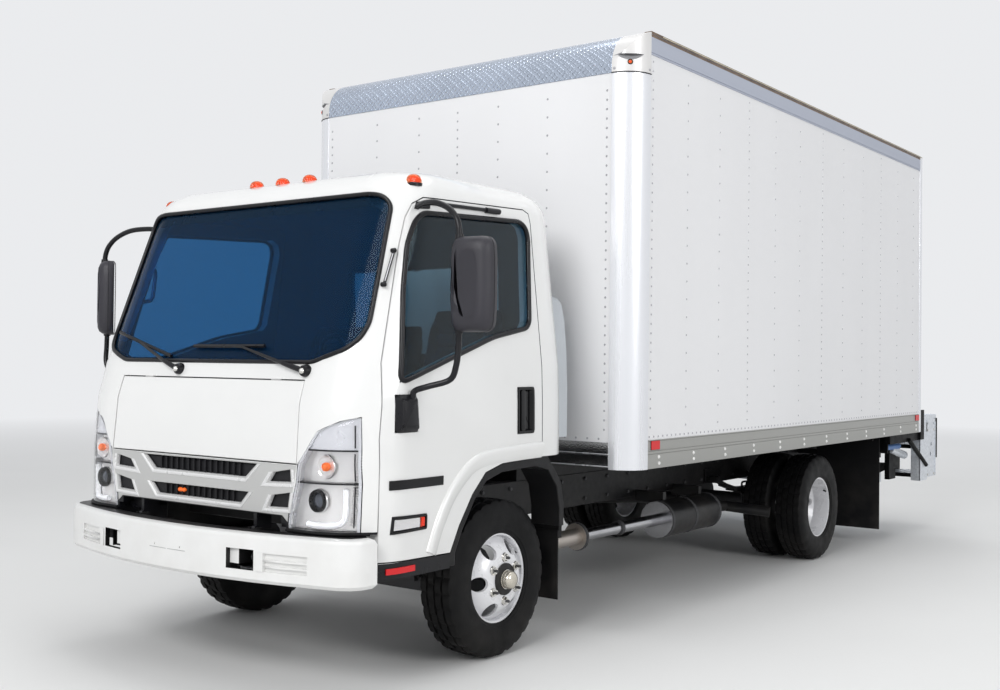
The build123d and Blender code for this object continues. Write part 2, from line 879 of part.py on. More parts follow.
# Cast caps over the corner posts
cap_bottom = nose_bottom - 2 + seat_gap
cap_corner = corner_post_radius
with BuildPart() as box_corner_caps:
    for side in (-1, 1):
        with BuildSketch(Plane.XY.offset(cap_bottom)):
            with Locations((side * post_centre[0], post_centre[1])):
                Circle(cap_corner)
            keep_x = side * (post_centre[0] + cap_corner / 2)
            with Locations((keep_x, post_centre[1] - cap_corner / 2)):
                Rectangle(cap_corner, cap_corner, mode=Mode.INTERSECT)
        extrude(amount=body_roof_top - cap_bottom)
    with BuildSketch(side_plane(-body_half_width)):
        with BuildLine():
            corner_z = body_roof_top - nose_radius
            turn = nose_radius / 2 ** 0.5
            ThreePointArc(
                (body_front_y, corner_z),
                (body_front_y + nose_radius - turn, corner_z + turn),
                (body_front_y + nose_radius, body_roof_top),
            )
            Line((body_front_y + nose_radius, body_roof_top), (body_front_y - 20, body_roof_top))
            Line((body_front_y - 20, body_roof_top), (body_front_y - 20, corner_z))
            Line((body_front_y - 20, corner_z), (body_front_y, corner_z))
        make_face()
    extrude(amount=2 * body_half_width, mode=Mode.SUBTRACT)
write_piece(box_corner_caps, "box_corner_caps")

# Frame round the rear door
opening_x = body_half_width - rear_post_width
opening_top = body_roof_top - rear_header
with BuildPart() as rear_door_frame:
    block(
        (-body_half_width, body_half_width), (floor_rear_y, body_rear_y), (body_bottom, body_roof_top)
    )
    block(
        (-opening_x, opening_x),
        (floor_rear_y, body_rear_y),
        (floor_top, opening_top),
        Mode.SUBTRACT,
    )
    # Sill under the roll-up door
    block((-side_inner, side_inner), (deck_rear_y, floor_rear_y), (cross_member_top, floor_top))
write_piece(rear_door_frame, "rear_door_frame")

# Roll-up door: hinged slats behind the frame, with grooves where they meet
door_top_z = opening_top + 40
slat_height = (door_top_z - floor_top - seat_gap) / door_slat_count
with BuildPart() as roll_up_door:
    for index in range(door_slat_count):
        low = floor_top + seat_gap + index * slat_height
        block(
            (-opening_x - 25, opening_x + 25),
            (door_front_face_y, door_front_face_y + door_slat_depth),
            (low + 4, low + slat_height - 4),
        )
    block(
        (-opening_x - 20, opening_x + 20),
        (door_front_face_y + 6, door_front_face_y + door_slat_depth - 8),
        (floor_top + seat_gap, door_top_z),
    )
    block((-90, 90), (door_front_face_y + door_slat_depth, door_front_face_y + 60), (1150, 1190))
write_piece(roll_up_door, "roll_up_door")

# Tail lamps on the rear frame: three stacked each side and five along the header
lamp_radius = 52
with BuildPart() as tail_lamps:
    for side in (-1, 1):
        for height in (1130, 1260, 1390):
            rod(
                (side * (body_half_width - 66), body_rear_y + seat_gap, height),
                (side * (body_half_width - 66), body_rear_y + 22, height),
                lamp_radius,
                flats=drum_flats,
            )
    for x in (-1120, -160, 0, 160, 1120):
        block(
            (x - 45, x + 45), (body_rear_y + seat_gap, body_rear_y + 20), (opening_top + 60, opening_top + 95)
        )
write_piece(tail_lamps, "tail_lamps")

arm_x = 800
arm_width = 46

# Liftgate frame: rear deck plate, side steps, cross tube and its hanger plates
gate_tube_radius = 45
step_front_y = at_front_axle(5830)
gate_rear_y = overall_length / 2
gate_beam_bottom = 790
step_bottom = 460
step_inner_x = 860
with BuildPart() as liftgate_frame:
    block(
        (-gate_half_width, gate_half_width),
        (body_rear_y, gate_rear_y),
        (gate_plate_top - gate_plate_thickness, gate_plate_top),
    )
    for side in (-1, 1):
        outer = sorted((side * (gate_half_width - 10), side * gate_half_width))
        inner = sorted((side * step_inner_x, side * (step_inner_x + 10)))
        for across in (outer, inner):
            block(across, (step_front_y, gate_rear_y), (step_bottom, gate_plate_top - 20))
        tread = sorted((side * step_inner_x, side * gate_half_width))
        for height in (step_bottom, 710):
            block(tread, (step_front_y, gate_rear_y), (height, height + 35))
        hanger = sorted((side * rail_outer, side * (rail_outer + 16)))
        block(hanger, (at_front_axle(5180), gate_pivot_y + 60), (gate_pivot_z - 60, rail_top))
        beam = sorted((side * (rail_outer - 62), side * (rail_outer + 16)))
        block(beam, (rail_rear_y, gate_rear_y - 40), (gate_beam_bottom, body_bottom - 5))
        block(hanger, (rail_rear_y - 40, rail_rear_y), (rail_top - 60, body_bottom - 5))
        block(
            beam, (body_rear_y, gate_rear_y - 40), (gate_beam_bottom, gate_plate_top - gate_plate_thickness)
        )
    rod(
        (-arm_x - arm_width / 2 - 20, gate_pivot_y, gate_pivot_z),
        (arm_x + arm_width / 2 + 20, gate_pivot_y, gate_pivot_z),
        gate_tube_radius,
    )
write_piece(liftgate_frame, "liftgate_frame")

# Liftgate arms: a pair joined by a tube, with the platform's hinge pins
with BuildPart() as liftgate_arms:
    for side in (-1, 1):
        with BuildSketch(side_plane(side * arm_x - arm_width / 2)):
            outline(
                (
                    (gate_pivot_y - 70, gate_pivot_z - 20),
                    (gate_pivot_y - 50, gate_pivot_z + 60),
                    (gate_pivot_y + 80, gate_pivot_z + 78),
                    (gate_hinge_y - 60, gate_hinge_z + 36),
                    (gate_hinge_y + 28, gate_hinge_z + 24),
                    (gate_hinge_y + 28, gate_hinge_z - 26),
                    (gate_pivot_y + 70, gate_pivot_z - 50),
                    (gate_pivot_y - 50, gate_pivot_z - 65),
                )
            )
        extrude(amount=arm_width)
        rod(
            (side * arm_x - arm_width, gate_pivot_y, gate_pivot_z),
            (side * arm_x + arm_width, gate_pivot_y, gate_pivot_z),
            gate_tube_radius + running_gap,
            Mode.SUBTRACT,
        )
    rod(
        (-arm_x, gate_pivot_y + 330, gate_pivot_z + 36),
        (arm_x, gate_pivot_y + 330, gate_pivot_z + 36),
        24,
        flats=bar_flats,
    )
    rod((-arm_x, gate_hinge_y, gate_hinge_z), (arm_x, gate_hinge_y, gate_hinge_z), 14)
write_piece(liftgate_arms, "liftgate_arms")

# Liftgate platform, folded under the arms
platform_top = gate_hinge_z - 50
platform_gap = 6
with BuildPart() as liftgate_platform:
    for index in range(2):
        top = platform_top - index * (platform_thickness + platform_gap)
        block(
            (-platform_half_width, platform_half_width),
            (gate_hinge_y - platform_length, gate_hinge_y + 25),
            (top - platform_thickness, top),
        )
    block(
        (-platform_half_width, platform_half_width),
        (gate_hinge_y - 20, gate_hinge_y + 25),
        (platform_top - 2 * platform_thickness, platform_top),
    )
    for side in (-1, 1):
        lug = sorted((side * (platform_half_width - 40), side * (platform_half_width - 12)))
        block(lug, (gate_hinge_y - 30, gate_hinge_y + 25), (platform_top - 20, gate_hinge_z + 28))
        rod(
            (lug[0] - 5, gate_hinge_y, gate_hinge_z),
            (lug[1] + 5, gate_hinge_y, gate_hinge_z),
            14 + running_gap,
            Mode.SUBTRACT,
        )
write_piece(liftgate_platform, "liftgate_platform")

# Cab outline, level by level: height, half width, front, rear, front radius, rear radius,
# and how much of an inset lowers the level
cab_levels = (
    (500, 1008, -1092, 530, 300, 220, 0),
    (1000, 1018, -1092, 530, 300, 220, 0),
    (1250, 1016, -1072, 530, 300, 220, 0),
    (1420, 1010, -1020, 530, 285, 220, 0),
    (2180, 925, -748, 500, 220, 200, 1),
    (2225, 916, -725, 488, 215, 195, 1),
    (2268, 892, -686, 462, 210, 190, 1),
    (2305, 845, -620, 410, 205, 185, 1),
    (2328, 760, -500, 300, 200, 180, 1),
    (2336, 600, -300, 120, 190, 170, 1),
)


def cab_ring(height, half_width, front, rear, front_radius, rear_radius):
    """One level of the cab as points: a rectangle whose round corners are cut in flats."""
    corners = (
        (half_width - front_radius, front + front_radius, front_radius, -90),
        (half_width - rear_radius, rear - rear_radius, rear_radius, 0),
        (rear_radius - half_width, rear - rear_radius, rear_radius, 90),
        (front_radius - half_width, front + front_radius, front_radius, 180),
    )
    points = []
    for x, y, radius, start in corners:
        for step in range(corner_flats + 1):
            turn = radians(start + step * 90 / corner_flats)
            points.append((x + radius * cos(turn), y + radius * sin(turn), height))
    return points


def cab_form(inset):
    """The cab's outer form moved inwards by inset, as one solid."""
    return faceted(
        [
            cab_ring(
                height - inset * drop,
                half_width - inset,
                at_front_axle(front) + inset,
                at_front_axle(rear) - inset,
                front_radius - inset,
                rear_radius - inset,
            )
            for height, half_width, front, rear, front_radius, rear_radius, drop in cab_levels
        ]
    )


def side_prism(side, points, low_x=700, high_x=1120):
    """A prism through one side of the cab, from an outline given as (Y, Z)."""
    with BuildPart() as prism:
        with BuildSketch(side_plane(side * low_x)):
            outline([(at_front_axle(y), z) for y, z in points])
        extrude(amount=side * (high_x - low_x))
    return prism.part


def front_prism(points, low_y=-1180, high_y=-560):
    """A prism through the cab's front, from an outline given as (X, Z)."""
    with BuildPart() as prism:
        with BuildSketch(front_plane(at_front_axle(low_y))):
            outline(points)
        extrude(amount=-(high_y - low_y))
    return prism.part


outer_form = cab_form(0)
inner_form = cab_form(cab_wall)
aperture_form = cab_form(cab_wall + door_swing_gap)

door_front_y = at_front_axle(-932) + panel_gap
lid_top_z = 1352 - panel_gap / 2

# Door outline, as (Y, Z) from the front axle
arch_curve = ((-481, 573), (-421, 690), (-328, 825), (-232, 918), (-90, 955))
door_points = (
    (-932, 580),
    (-931, 1105),
    (-899, 1428),
    (-738, 1942),
    (-686, 2083),
    (-648, 2147),
    (-590, 2180),
    (175, 2207),
    (219, 2190),
    (230, 2140),
    (230, 972),
    *reversed(arch_curve),
)
window_points = (
    (-830, 1345),
    (-755, 1750),
    (-701, 1962),
    (-645, 2070),
    (-600, 2106),
    (131, 2140),
    (180, 2115),
    (196, 2067),
    (150, 1641),
    (121, 1607),
    (-153, 1558),
    (-539, 1438),
)


def shrink_outline(points, amount):
    """The outline moved inwards by amount, as a list of (first, second)."""
    with BuildSketch() as shape:
        outline(points)
        offset(amount=-amount, kind=Kind.INTERSECTION, mode=Mode.REPLACE)
    vertices = shape.face().outer_wire().order_edges()
    return [(edge.position_at(0).X, edge.position_at(0).Y) for edge in vertices]


windshield_points = [
    (-662, 1430),
    (662, 1430),
    (815, 1484),
    (866, 1528),
    (886, 1600),
    (866, 1850),
    (842, 2136),
    (800, 2180),
    (730, 2190),
    (-730, 2190),
    (-800, 2180),
    (-842, 2136),
    (-866, 1850),
    (-886, 1600),
    (-866, 1528),
    (-815, 1484),
]
lid_points = [(-650, 992), (650, 992), (640, 1352), (-640, 1352)]
grille_low = 767
grille_points = [
    (-566, grille_low),
    (566, grille_low),
    (600, 740),
    (604, 780),
    (640, 914),
    (650, 986),
    (-650, 986),
    (-640, 914),
    (-604, 780),
    (-600, 740),
]
lamp_points = [
    (606, 716),
    (936, 716),
    (942, 920),
    (938, 1062),
    (930, 1202),
    (858, 1184),
    (755, 1137),
    (700, 1052),
    (656, 994),
    (648, 914),
    (606, 760),
]
rear_window_points = [(-560, 1480), (560, 1480), (560, 1960), (-560, 1960)]

belly_points = [
    (-484, 300),
    (-484, 573),
    (-421, 692),
    (-328, 828),
    (-232, 921),
    (-90, 958),
    (200, cab_belly),
    (700, cab_belly),
    (700, 300),
]
floor_points = [
    (-1090, 840),
    (-560, 840),
    (-430, 1030),
    (600, 1030),
    (600, 2400),
    (-1090, 2400),
]


def across_prism(points, half_width=1200):
    """A prism across the whole cab, from an outline given as (Y, Z)."""
    with BuildPart() as prism:
        with BuildSketch(side_plane(-half_width)):
            outline([(at_front_axle(y), z) for y, z in points])
        extrude(amount=2 * half_width)
    return prism.part


front_skin_form = cab_form(skin_recess)
lamp_floor_form = cab_form(lamp_depth)
lid_prism = front_prism(shrink_outline(lid_points, -panel_gap / 2))
grille_prism = front_prism(shrink_outline(grille_points, -seat_gap))
belly_prism = across_prism(belly_points)
cavity = inner_form & across_prism(floor_points)
with BuildPart() as cab_shell:
    add(outer_form)
    add(cavity, mode=Mode.SUBTRACT)
    # Footwells beside the tunnel
    for side in (-1, 1):
        block(
            sorted((side * 540, side * 900)),
            (at_front_axle(-1010), at_front_axle(-580)),
            (740, 842),
            Mode.SUBTRACT,
        )
    add(belly_prism, mode=Mode.SUBTRACT)
    # Underside between the side sills, and the tunnel over the frame
    block(
        (-880, 880), (at_front_axle(-1100), at_front_axle(-400)), (480, cab_floor_bottom), Mode.SUBTRACT
    )
    block(
        (-1100, 1100),
        (at_front_axle(-1100), cab_front_cut),
        (480, cab_floor_bottom),
        Mode.SUBTRACT,
    )
    block((-1100, 1100), (at_front_axle(-1100), at_front_axle(-300)), (480, cab_bottom), Mode.SUBTRACT)
    block((-500, 500), (at_front_axle(-1032), at_front_axle(-300)), (600, 800), Mode.SUBTRACT)
    # Dark opening between the grille and the bumper, with the tilt hinge's knuckles
    for half, top in ((592, grille_low - 32), (560, grille_low - 3)):
        block(
            (-half, half),
            (at_front_axle(-1100), at_front_axle(-1032)),
            (cab_floor_bottom - 1, top),
            Mode.SUBTRACT,
        )
    for side in (-1, 1):
        knuckle = sorted((side * tilt_knuckle_x[0], side * tilt_knuckle_x[1]))
        block(knuckle, (tilt_pin_y, at_front_axle(-1010)), (tilt_pin_z - 4, grille_low - 3))
        block(knuckle, (at_front_axle(-1052), at_front_axle(-1010)), (tilt_pin_z - 4, 802))
        ends = [(x, tilt_pin_y, tilt_pin_z) for x in knuckle]
        rod(*ends, tilt_pin_radius + 6)
        rod(
            (knuckle[0] - 1, tilt_pin_y, tilt_pin_z),
            (knuckle[1] + 1, tilt_pin_y, tilt_pin_z),
            tilt_pin_radius + running_gap,
            Mode.SUBTRACT,
        )
    # Openings for doors, windows, lid, grille and headlamps
    for side in (-1, 1):
        add(side_prism(side, door_points) - aperture_form, mode=Mode.SUBTRACT)
        lamp = shrink_outline([(side * x, z) for x, z in lamp_points], -seat_gap)
        lamp_hole = front_prism(lamp, high_y=lamp_rear_y + seat_gap)
        add(lamp_hole - lamp_floor_form, mode=Mode.SUBTRACT)
    add(front_prism(windshield_points), mode=Mode.SUBTRACT)
    add(front_prism(rear_window_points, 300, 600), mode=Mode.SUBTRACT)
    add(lid_prism - front_skin_form, mode=Mode.SUBTRACT)
    add(grille_prism - front_skin_form, mode=Mode.SUBTRACT)
    # Hinge leaves that stand in the shut lines of the doors and the lid
    for side in (-1, 1):
        for height in (720, 980):
            leaf = sorted((side * 922, side * 948))
            block(leaf, (at_front_axle(-940), door_front_y - seat_gap), (height, height + 100))
        leaf = sorted((side * 420, side * 480))
        block(leaf, (at_front_axle(-1032), at_front_axle(-1016)), (lid_top_z + seat_gap, lid_top_z + 8))
write_piece(cab_shell, "cab_shell")

# Front lid below the windscreen
with BuildPart() as front_lid:
    add(outer_form & front_prism(shrink_outline(lid_points, panel_gap / 2)))
    add(cab_form(lid_depth), mode=Mode.SUBTRACT)
write_piece(front_lid, "front_lid")

# Grille with its slots and the dark screen behind them
slot_points = (
    ((-400, 980), (400, 980), (323, 915), (-323, 915)),
    ((-347, 852), (347, 852), (295, 798), (-295, 798)),
    ((505, 950), (612, 968), (618, 912), (470, 905)),
    ((500, 850), (612, 868), (600, 800), (470, 795)),
)
with BuildPart() as grille:
    add(outer_form & front_prism(grille_points))
    add(cab_form(grille_depth), mode=Mode.SUBTRACT)
    for points in slot_points:
        add(front_prism(points), mode=Mode.SUBTRACT)
        if points[0][0] > 0:
            add(front_prism([(-x, z) for x, z in points]), mode=Mode.SUBTRACT)
write_piece(grille, "grille")

# Upright ribs of the screen, as (number each side of the middle, lowest, highest)
rib_pitch = 40
rib_width = 5
rib_inset = 9
rib_rows = ((7, 918, 977), (6, 801, 849))
with BuildPart() as screen_ribs:
    for each_side, low, high in rib_rows:
        for index in range(-each_side, each_side + 1):
            middle = index * rib_pitch
            block(
                (middle - rib_width / 2, middle + rib_width / 2),
                (at_front_axle(-1100), at_front_axle(-1040)),
                (low, high),
            )
rib_layer = cab_form(rib_inset) - cab_form(grille_depth + 2 * seat_gap)
with BuildPart() as grille_screen:
    add(cab_form(grille_depth + seat_gap) & front_prism(shrink_outline(grille_points, 14)))
    add(cab_form(skin_recess - seat_gap), mode=Mode.SUBTRACT)
    add(screen_ribs.part & rib_layer)
write_piece(grille_screen, "grille_screen")

# Headlamps wrap the cab's front corners, in three stages with a groove between each
lamp_groove_depth = 5
lamp_groove_width = 6
lamp_groove_heights = (918, 1058)
with BuildPart() as lamp_grooves:
    for height in lamp_groove_heights:
        block(
            (-1100, 1100),
            (at_front_axle(-1150), at_front_axle(lamp_rear_y)),
            (height - lamp_groove_width / 2, height + lamp_groove_width / 2),
        )
with BuildPart() as headlamps:
    for side in (-1, 1):
        lamp = [(side * x, z) for x, z in lamp_points]
        add(outer_form & front_prism(lamp, high_y=lamp_rear_y))
    add(cab_form(lamp_depth - seat_gap), mode=Mode.SUBTRACT)
    add(lamp_grooves.part - cab_form(lamp_groove_depth), mode=Mode.SUBTRACT)
write_piece(headlamps, "headlamps")

# Windscreen and rear window
glass_outer = cab_form(glass_inset)
glass_inner = cab_form(glass_inset + glass_thickness)
with BuildPart() as cab_glass:
    add(glass_outer & front_prism(shrink_outline(windshield_points, seat_gap)))
    add(glass_outer & front_prism(shrink_outline(rear_window_points, seat_gap), 300, 600))
    add(glass_inner, mode=Mode.SUBTRACT)
write_piece(cab_glass, "cab_glass")

# Doors, their glass and what is mounted on them
handle_points = ((15, 1090), (155, 1090), (155, 1318), (15, 1318))
side_lamp_points = ((-878, 699), (-653, 703), (-653, 772), (-870, 776))
bracket_points = ((-862, 1132), (-721, 1132), (-735, 1296), (-855, 1296))
upper_bracket_points = ((-640, 2122), (-560, 2128), (-560, 2160), (-625, 2156))
fitting_outlines = (handle_points, side_lamp_points, bracket_points, upper_bracket_points)
fitting_depth = 22
proud_form = cab_form(-6)
fitting_floor = cab_form(fitting_depth)
pocket_floor = cab_form(fitting_depth + seat_gap)
door_skin = outer_form - inner_form
with BuildPart() as door_left:
    add(door_skin & side_prism(1, shrink_outline(door_points, panel_gap)))
    add(side_prism(1, window_points), mode=Mode.SUBTRACT)
    for points in fitting_outlines:
        add(side_prism(1, shrink_outline(points, -seat_gap)) - pocket_floor, mode=Mode.SUBTRACT)
write_piece(door_left, "door_left")
write_mirrored(door_left, "door_right")

with BuildPart() as door_glass_left:
    add(glass_outer & side_prism(1, shrink_outline(window_points, seat_gap)))
    add(glass_inner, mode=Mode.SUBTRACT)
write_piece(door_glass_left, "door_glass_left")
write_mirrored(door_glass_left, "door_glass_right")

arm_radius = 14
head_depth = 105
head_half = 115
head_corner = 42

# How far each section of the mirror head stands in, from its glass to its crown
head_sections = ((head_depth / 2, 6), (head_depth / 2 - 22, 0), (-18, 3), (-head_depth / 2, 26))


def mirror_section(offset_y, inset):
    """One section of the mirror head: an upright rectangle whose corners are cut in flats."""
    half_width = head_half - inset
    half_height = (mirror_top - mirror_bottom) / 2 - inset
    points = []
    for x, z, start in ((1, -1, -90), (1, 1, 0), (-1, 1, 90), (-1, -1, 180)):
        centre_x = x * (half_width - head_corner)
        centre_z = z * (half_height - head_corner)
        for step in range(4):
            turn = radians(start + 30 * step)
            points.append(
                (
                    mirror_x + centre_x + head_corner * cos(turn),
                    mirror_y + offset_y,
                    (mirror_top + mirror_bottom) / 2 + centre_z + head_corner * sin(turn),
                )
            )
    return points


with BuildPart() as door_fittings_left:
    add(faceted([mirror_section(offset_y, inset) for offset_y, inset in head_sections]))
    # Lower arm from the bracket to the head
    lower_start = (1015, at_front_axle(-790), 1215)
    lower_elbow = (1060, at_front_axle(-790), 1330)
    lower_end = (1190, at_front_axle(-740), 1400)
    rod(lower_start, lower_elbow, arm_radius, flats=bar_flats)
    rod(lower_elbow, lower_end, arm_radius, flats=bar_flats)
    rod(lower_end, (1200, mirror_y, mirror_bottom + 10), arm_radius, flats=bar_flats)
    # Upper arm from the top of the door to the head
    upper_start = (918, at_front_axle(-600), 2146)
    upper_elbow = (1110, at_front_axle(-690), 2180)
    rod(upper_start, upper_elbow, arm_radius, flats=bar_flats)
    rod(upper_elbow, (1200, mirror_y, mirror_top - 10), arm_radius, flats=bar_flats)
    add(cab_form(-seat_gap), mode=Mode.SUBTRACT)
    # Handle, side lamp and mirror brackets, let into the door's skin
    for points in fitting_outlines:
        add((proud_form & side_prism(1, points)) - fitting_floor)
write_piece(door_fittings_left, "door_fittings_left")
write_mirrored(door_fittings_left, "door_fittings_right")

# Black flares round the front wheel arches
flare_outer = (
    (-478, 512),
    (-478, 575),
    (-417, 693),
    (-325, 824),
    (-229, 915),
    (-89, 951),
    (200, cab_belly - seat_gap),
    (300, cab_belly - seat_gap),
    (425, 830),
    (455, 700),
    (455, 600),
)
flare_inner = (
    (415, 600),
    (415, 690),
    (388, 805),
    (310, 895),
    (195, 921),
    (-80, 911),
    (-205, 877),
    (-293, 797),
    (-384, 666),
    (-436, 566),
    (-436, 512),
)
with BuildPart() as wheel_arch_flares:
    for side in (-1, 1):
        add(side_prism(side, (*flare_outer, *flare_inner), 820, 1000))
write_piece(wheel_arch_flares, "wheel_arch_flares")

# Five lamps across the front of the roof
roof_lamp_y = at_front_axle(-590)
roof_lamp_places = ((-860, 2235), (-190, 2290), (0, 2290), (190, 2290), (860, 2235))
lamp_levels = ((0, 46), (40, 42), (60, 30), (68, 16))


def lamp_ring(x, height, radius):
    """One level of a roof lamp as points."""
    turns = [radians(30 * step) for step in range(12)]
    return [(x + radius * cos(turn), roof_lamp_y + radius * sin(turn), height) for turn in turns]


with BuildPart() as roof_lamps:
    for x, base in roof_lamp_places:
        add(faceted([lamp_ring(x, base + rise, radius) for rise, radius in lamp_levels]))
    add(cab_form(-seat_gap), mode=Mode.SUBTRACT)
write_piece(roof_lamps, "roof_lamps")

# Dashboard across the cab, held between its walls
dash_points = ((-1060, 1060), (-760, 1060), (-640, 1180), (-640, 1330), (-700, 1390), (-1060, 1410))
with BuildPart() as dashboard:
    add(cab_form(cab_wall + seat_gap) & across_prism(dash_points))
    for side in (-1, 1):
        beside_door = sorted((side * 895, side * 1000))
        block(beside_door, (cab_front_cut - 20, at_front_axle(-500)), (1000, 1500), Mode.SUBTRACT)
    block((-160, 160), (at_front_axle(-800), at_front_axle(-640)), (841, 1062))
write_piece(dashboard, "dashboard")

# Steering wheel on its column
wheel_centre = (430, at_front_axle(-520), 1400)
wheel_tilt = 38
wheel_flats = 24
with BuildPart() as steering_wheel:
    column = Plane(origin=wheel_centre, z_dir=(0, sin(radians(90 - wheel_tilt)), cos(radians(90 - wheel_tilt))))
    with BuildSketch(column):
        RegularPolygon(205, wheel_flats)
        RegularPolygon(178, wheel_flats, mode=Mode.SUBTRACT)
        Rectangle(370, 40)
    extrude(amount=24)
    with BuildSketch(column.offset(24)):
        RegularPolygon(60, pipe_flats)
    extrude(amount=-60)
    with BuildSketch(column):
        RegularPolygon(28, bar_flats)
    extrude(amount=-230)
    add(dashboard.part, mode=Mode.SUBTRACT)
write_piece(steering_wheel, "steering_wheel")

# Seats: the driver's and a double one
seat_base_z = 1030 + seat_gap
with BuildPart() as seats:
    for x, width, back_top, rest in ((430, 480, 1720, 1), (-300, 820, 1640, 0)):
        block(
            (x - width / 2, x + width / 2), (at_front_axle(-300), at_front_axle(260)), (seat_base_z, 1230)
        )
        with BuildSketch(side_plane(x - width / 2 + 10)):
            outline(
                (
                    (at_front_axle(190), 1220),
                    (at_front_axle(330), 1220),
                    (at_front_axle(430), back_top),
                    (at_front_axle(320), back_top),
                )
            )
        extrude(amount=width - 20)
        if rest:
            block(
                (x - 130, x + 130), (at_front_axle(330), at_front_axle(420)), (back_top - 5, back_top + 190)
            )
write_piece(seats, "seats")

# Wipers parked across the bottom of the windscreen
wiper_flats = 6
with BuildPart() as wipers:
    for pivot_x, tip_x, blade in ((-216, -640, 420), (640, 250, 480)):
        pivot = (pivot_x, at_front_axle(-1044), 1392)
        elbow = (tip_x, at_front_axle(-1030), 1470)
        rod(
            (pivot_x, at_front_axle(-1030) - 2, 1392),
            (pivot_x, at_front_axle(-1062), 1392),
            18,
            flats=bar_flats,
        )
        rod(pivot, elbow, 7, flats=wiper_flats)
        rod(
            (tip_x - blade / 2, at_front_axle(-1020), 1474 + 20),
            (tip_x + blade / 2, at_front_axle(-1036), 1474 - 20),
            8,
            flats=wiper_flats,
        )
    add(cab_form(-seat_gap), mode=Mode.SUBTRACT)
write_piece(wipers, "wipers")
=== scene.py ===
"""Dresses a packed delivery truck: paint, metal, rubber, glass, fabric, fasteners and its studio."""

import json
import logging
import math
from collections.abc import Callable, Iterator
from contextlib import contextmanager
from dataclasses import dataclass
from enum import Enum, IntEnum
from functools import cache

import bmesh
import bpy
from mathutils import Matrix, Vector

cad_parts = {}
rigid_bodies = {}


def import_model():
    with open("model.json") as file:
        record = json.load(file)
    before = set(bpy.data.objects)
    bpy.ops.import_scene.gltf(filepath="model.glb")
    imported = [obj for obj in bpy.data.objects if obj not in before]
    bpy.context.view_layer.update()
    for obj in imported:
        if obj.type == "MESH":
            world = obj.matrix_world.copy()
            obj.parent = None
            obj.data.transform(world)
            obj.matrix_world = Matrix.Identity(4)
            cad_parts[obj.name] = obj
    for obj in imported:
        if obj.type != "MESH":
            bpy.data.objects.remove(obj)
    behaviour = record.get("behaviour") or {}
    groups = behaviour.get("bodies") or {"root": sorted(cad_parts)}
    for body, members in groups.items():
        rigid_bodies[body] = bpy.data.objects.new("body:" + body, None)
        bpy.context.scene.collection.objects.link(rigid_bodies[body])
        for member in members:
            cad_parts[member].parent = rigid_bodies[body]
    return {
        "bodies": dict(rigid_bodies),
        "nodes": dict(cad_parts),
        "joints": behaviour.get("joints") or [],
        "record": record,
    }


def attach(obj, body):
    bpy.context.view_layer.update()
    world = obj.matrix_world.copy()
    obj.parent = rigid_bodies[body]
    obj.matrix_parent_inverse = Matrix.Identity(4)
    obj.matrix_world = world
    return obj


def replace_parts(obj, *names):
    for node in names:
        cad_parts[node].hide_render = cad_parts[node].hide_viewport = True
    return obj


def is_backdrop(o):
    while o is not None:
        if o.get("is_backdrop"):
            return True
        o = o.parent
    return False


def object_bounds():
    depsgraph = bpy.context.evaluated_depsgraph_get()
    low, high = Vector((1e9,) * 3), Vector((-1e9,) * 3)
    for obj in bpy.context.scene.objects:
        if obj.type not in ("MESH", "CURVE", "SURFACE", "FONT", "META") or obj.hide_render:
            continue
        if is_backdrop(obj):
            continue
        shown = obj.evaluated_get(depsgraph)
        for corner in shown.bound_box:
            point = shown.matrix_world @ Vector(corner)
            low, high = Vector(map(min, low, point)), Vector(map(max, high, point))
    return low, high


Point = tuple[float, float, float]
Flat = tuple[float, float]
Colour = tuple[float, float, float]
Socket = bpy.types.NodeSocket
Value = float | tuple | Socket
Chooser = Callable[[Vector, Vector], int]

LOG = logging.getLogger("truck")

FRONT_AXLE_Y = -2.463
REAR_AXLE_Y = FRONT_AXLE_Y + 3.81
AXLE_Z = 0.386 * math.cos(math.pi / 32)
FRAME: dict = {}


class Side(IntEnum):
    """A side of the truck, as the sign of X there."""

    LEFT = 1
    RIGHT = -1

    @property
    def label(self) -> str:
        """The side's name, as pieces and bodies carry it."""
        return self.name.lower()


class Axis(Enum):
    """A direction along which forms are turned."""

    X = 0
    Y = 1
    Z = 2


class Ring(Enum):
    """What cross grooves do to a ring of a tyre."""

    PLAIN = 0
    SHOULDER = 1
    RIB = 2


def aft(offset: float) -> float:
    """Y of a place measured rearwards from the front axle."""
    return FRONT_AXLE_Y + offset


# Finishes


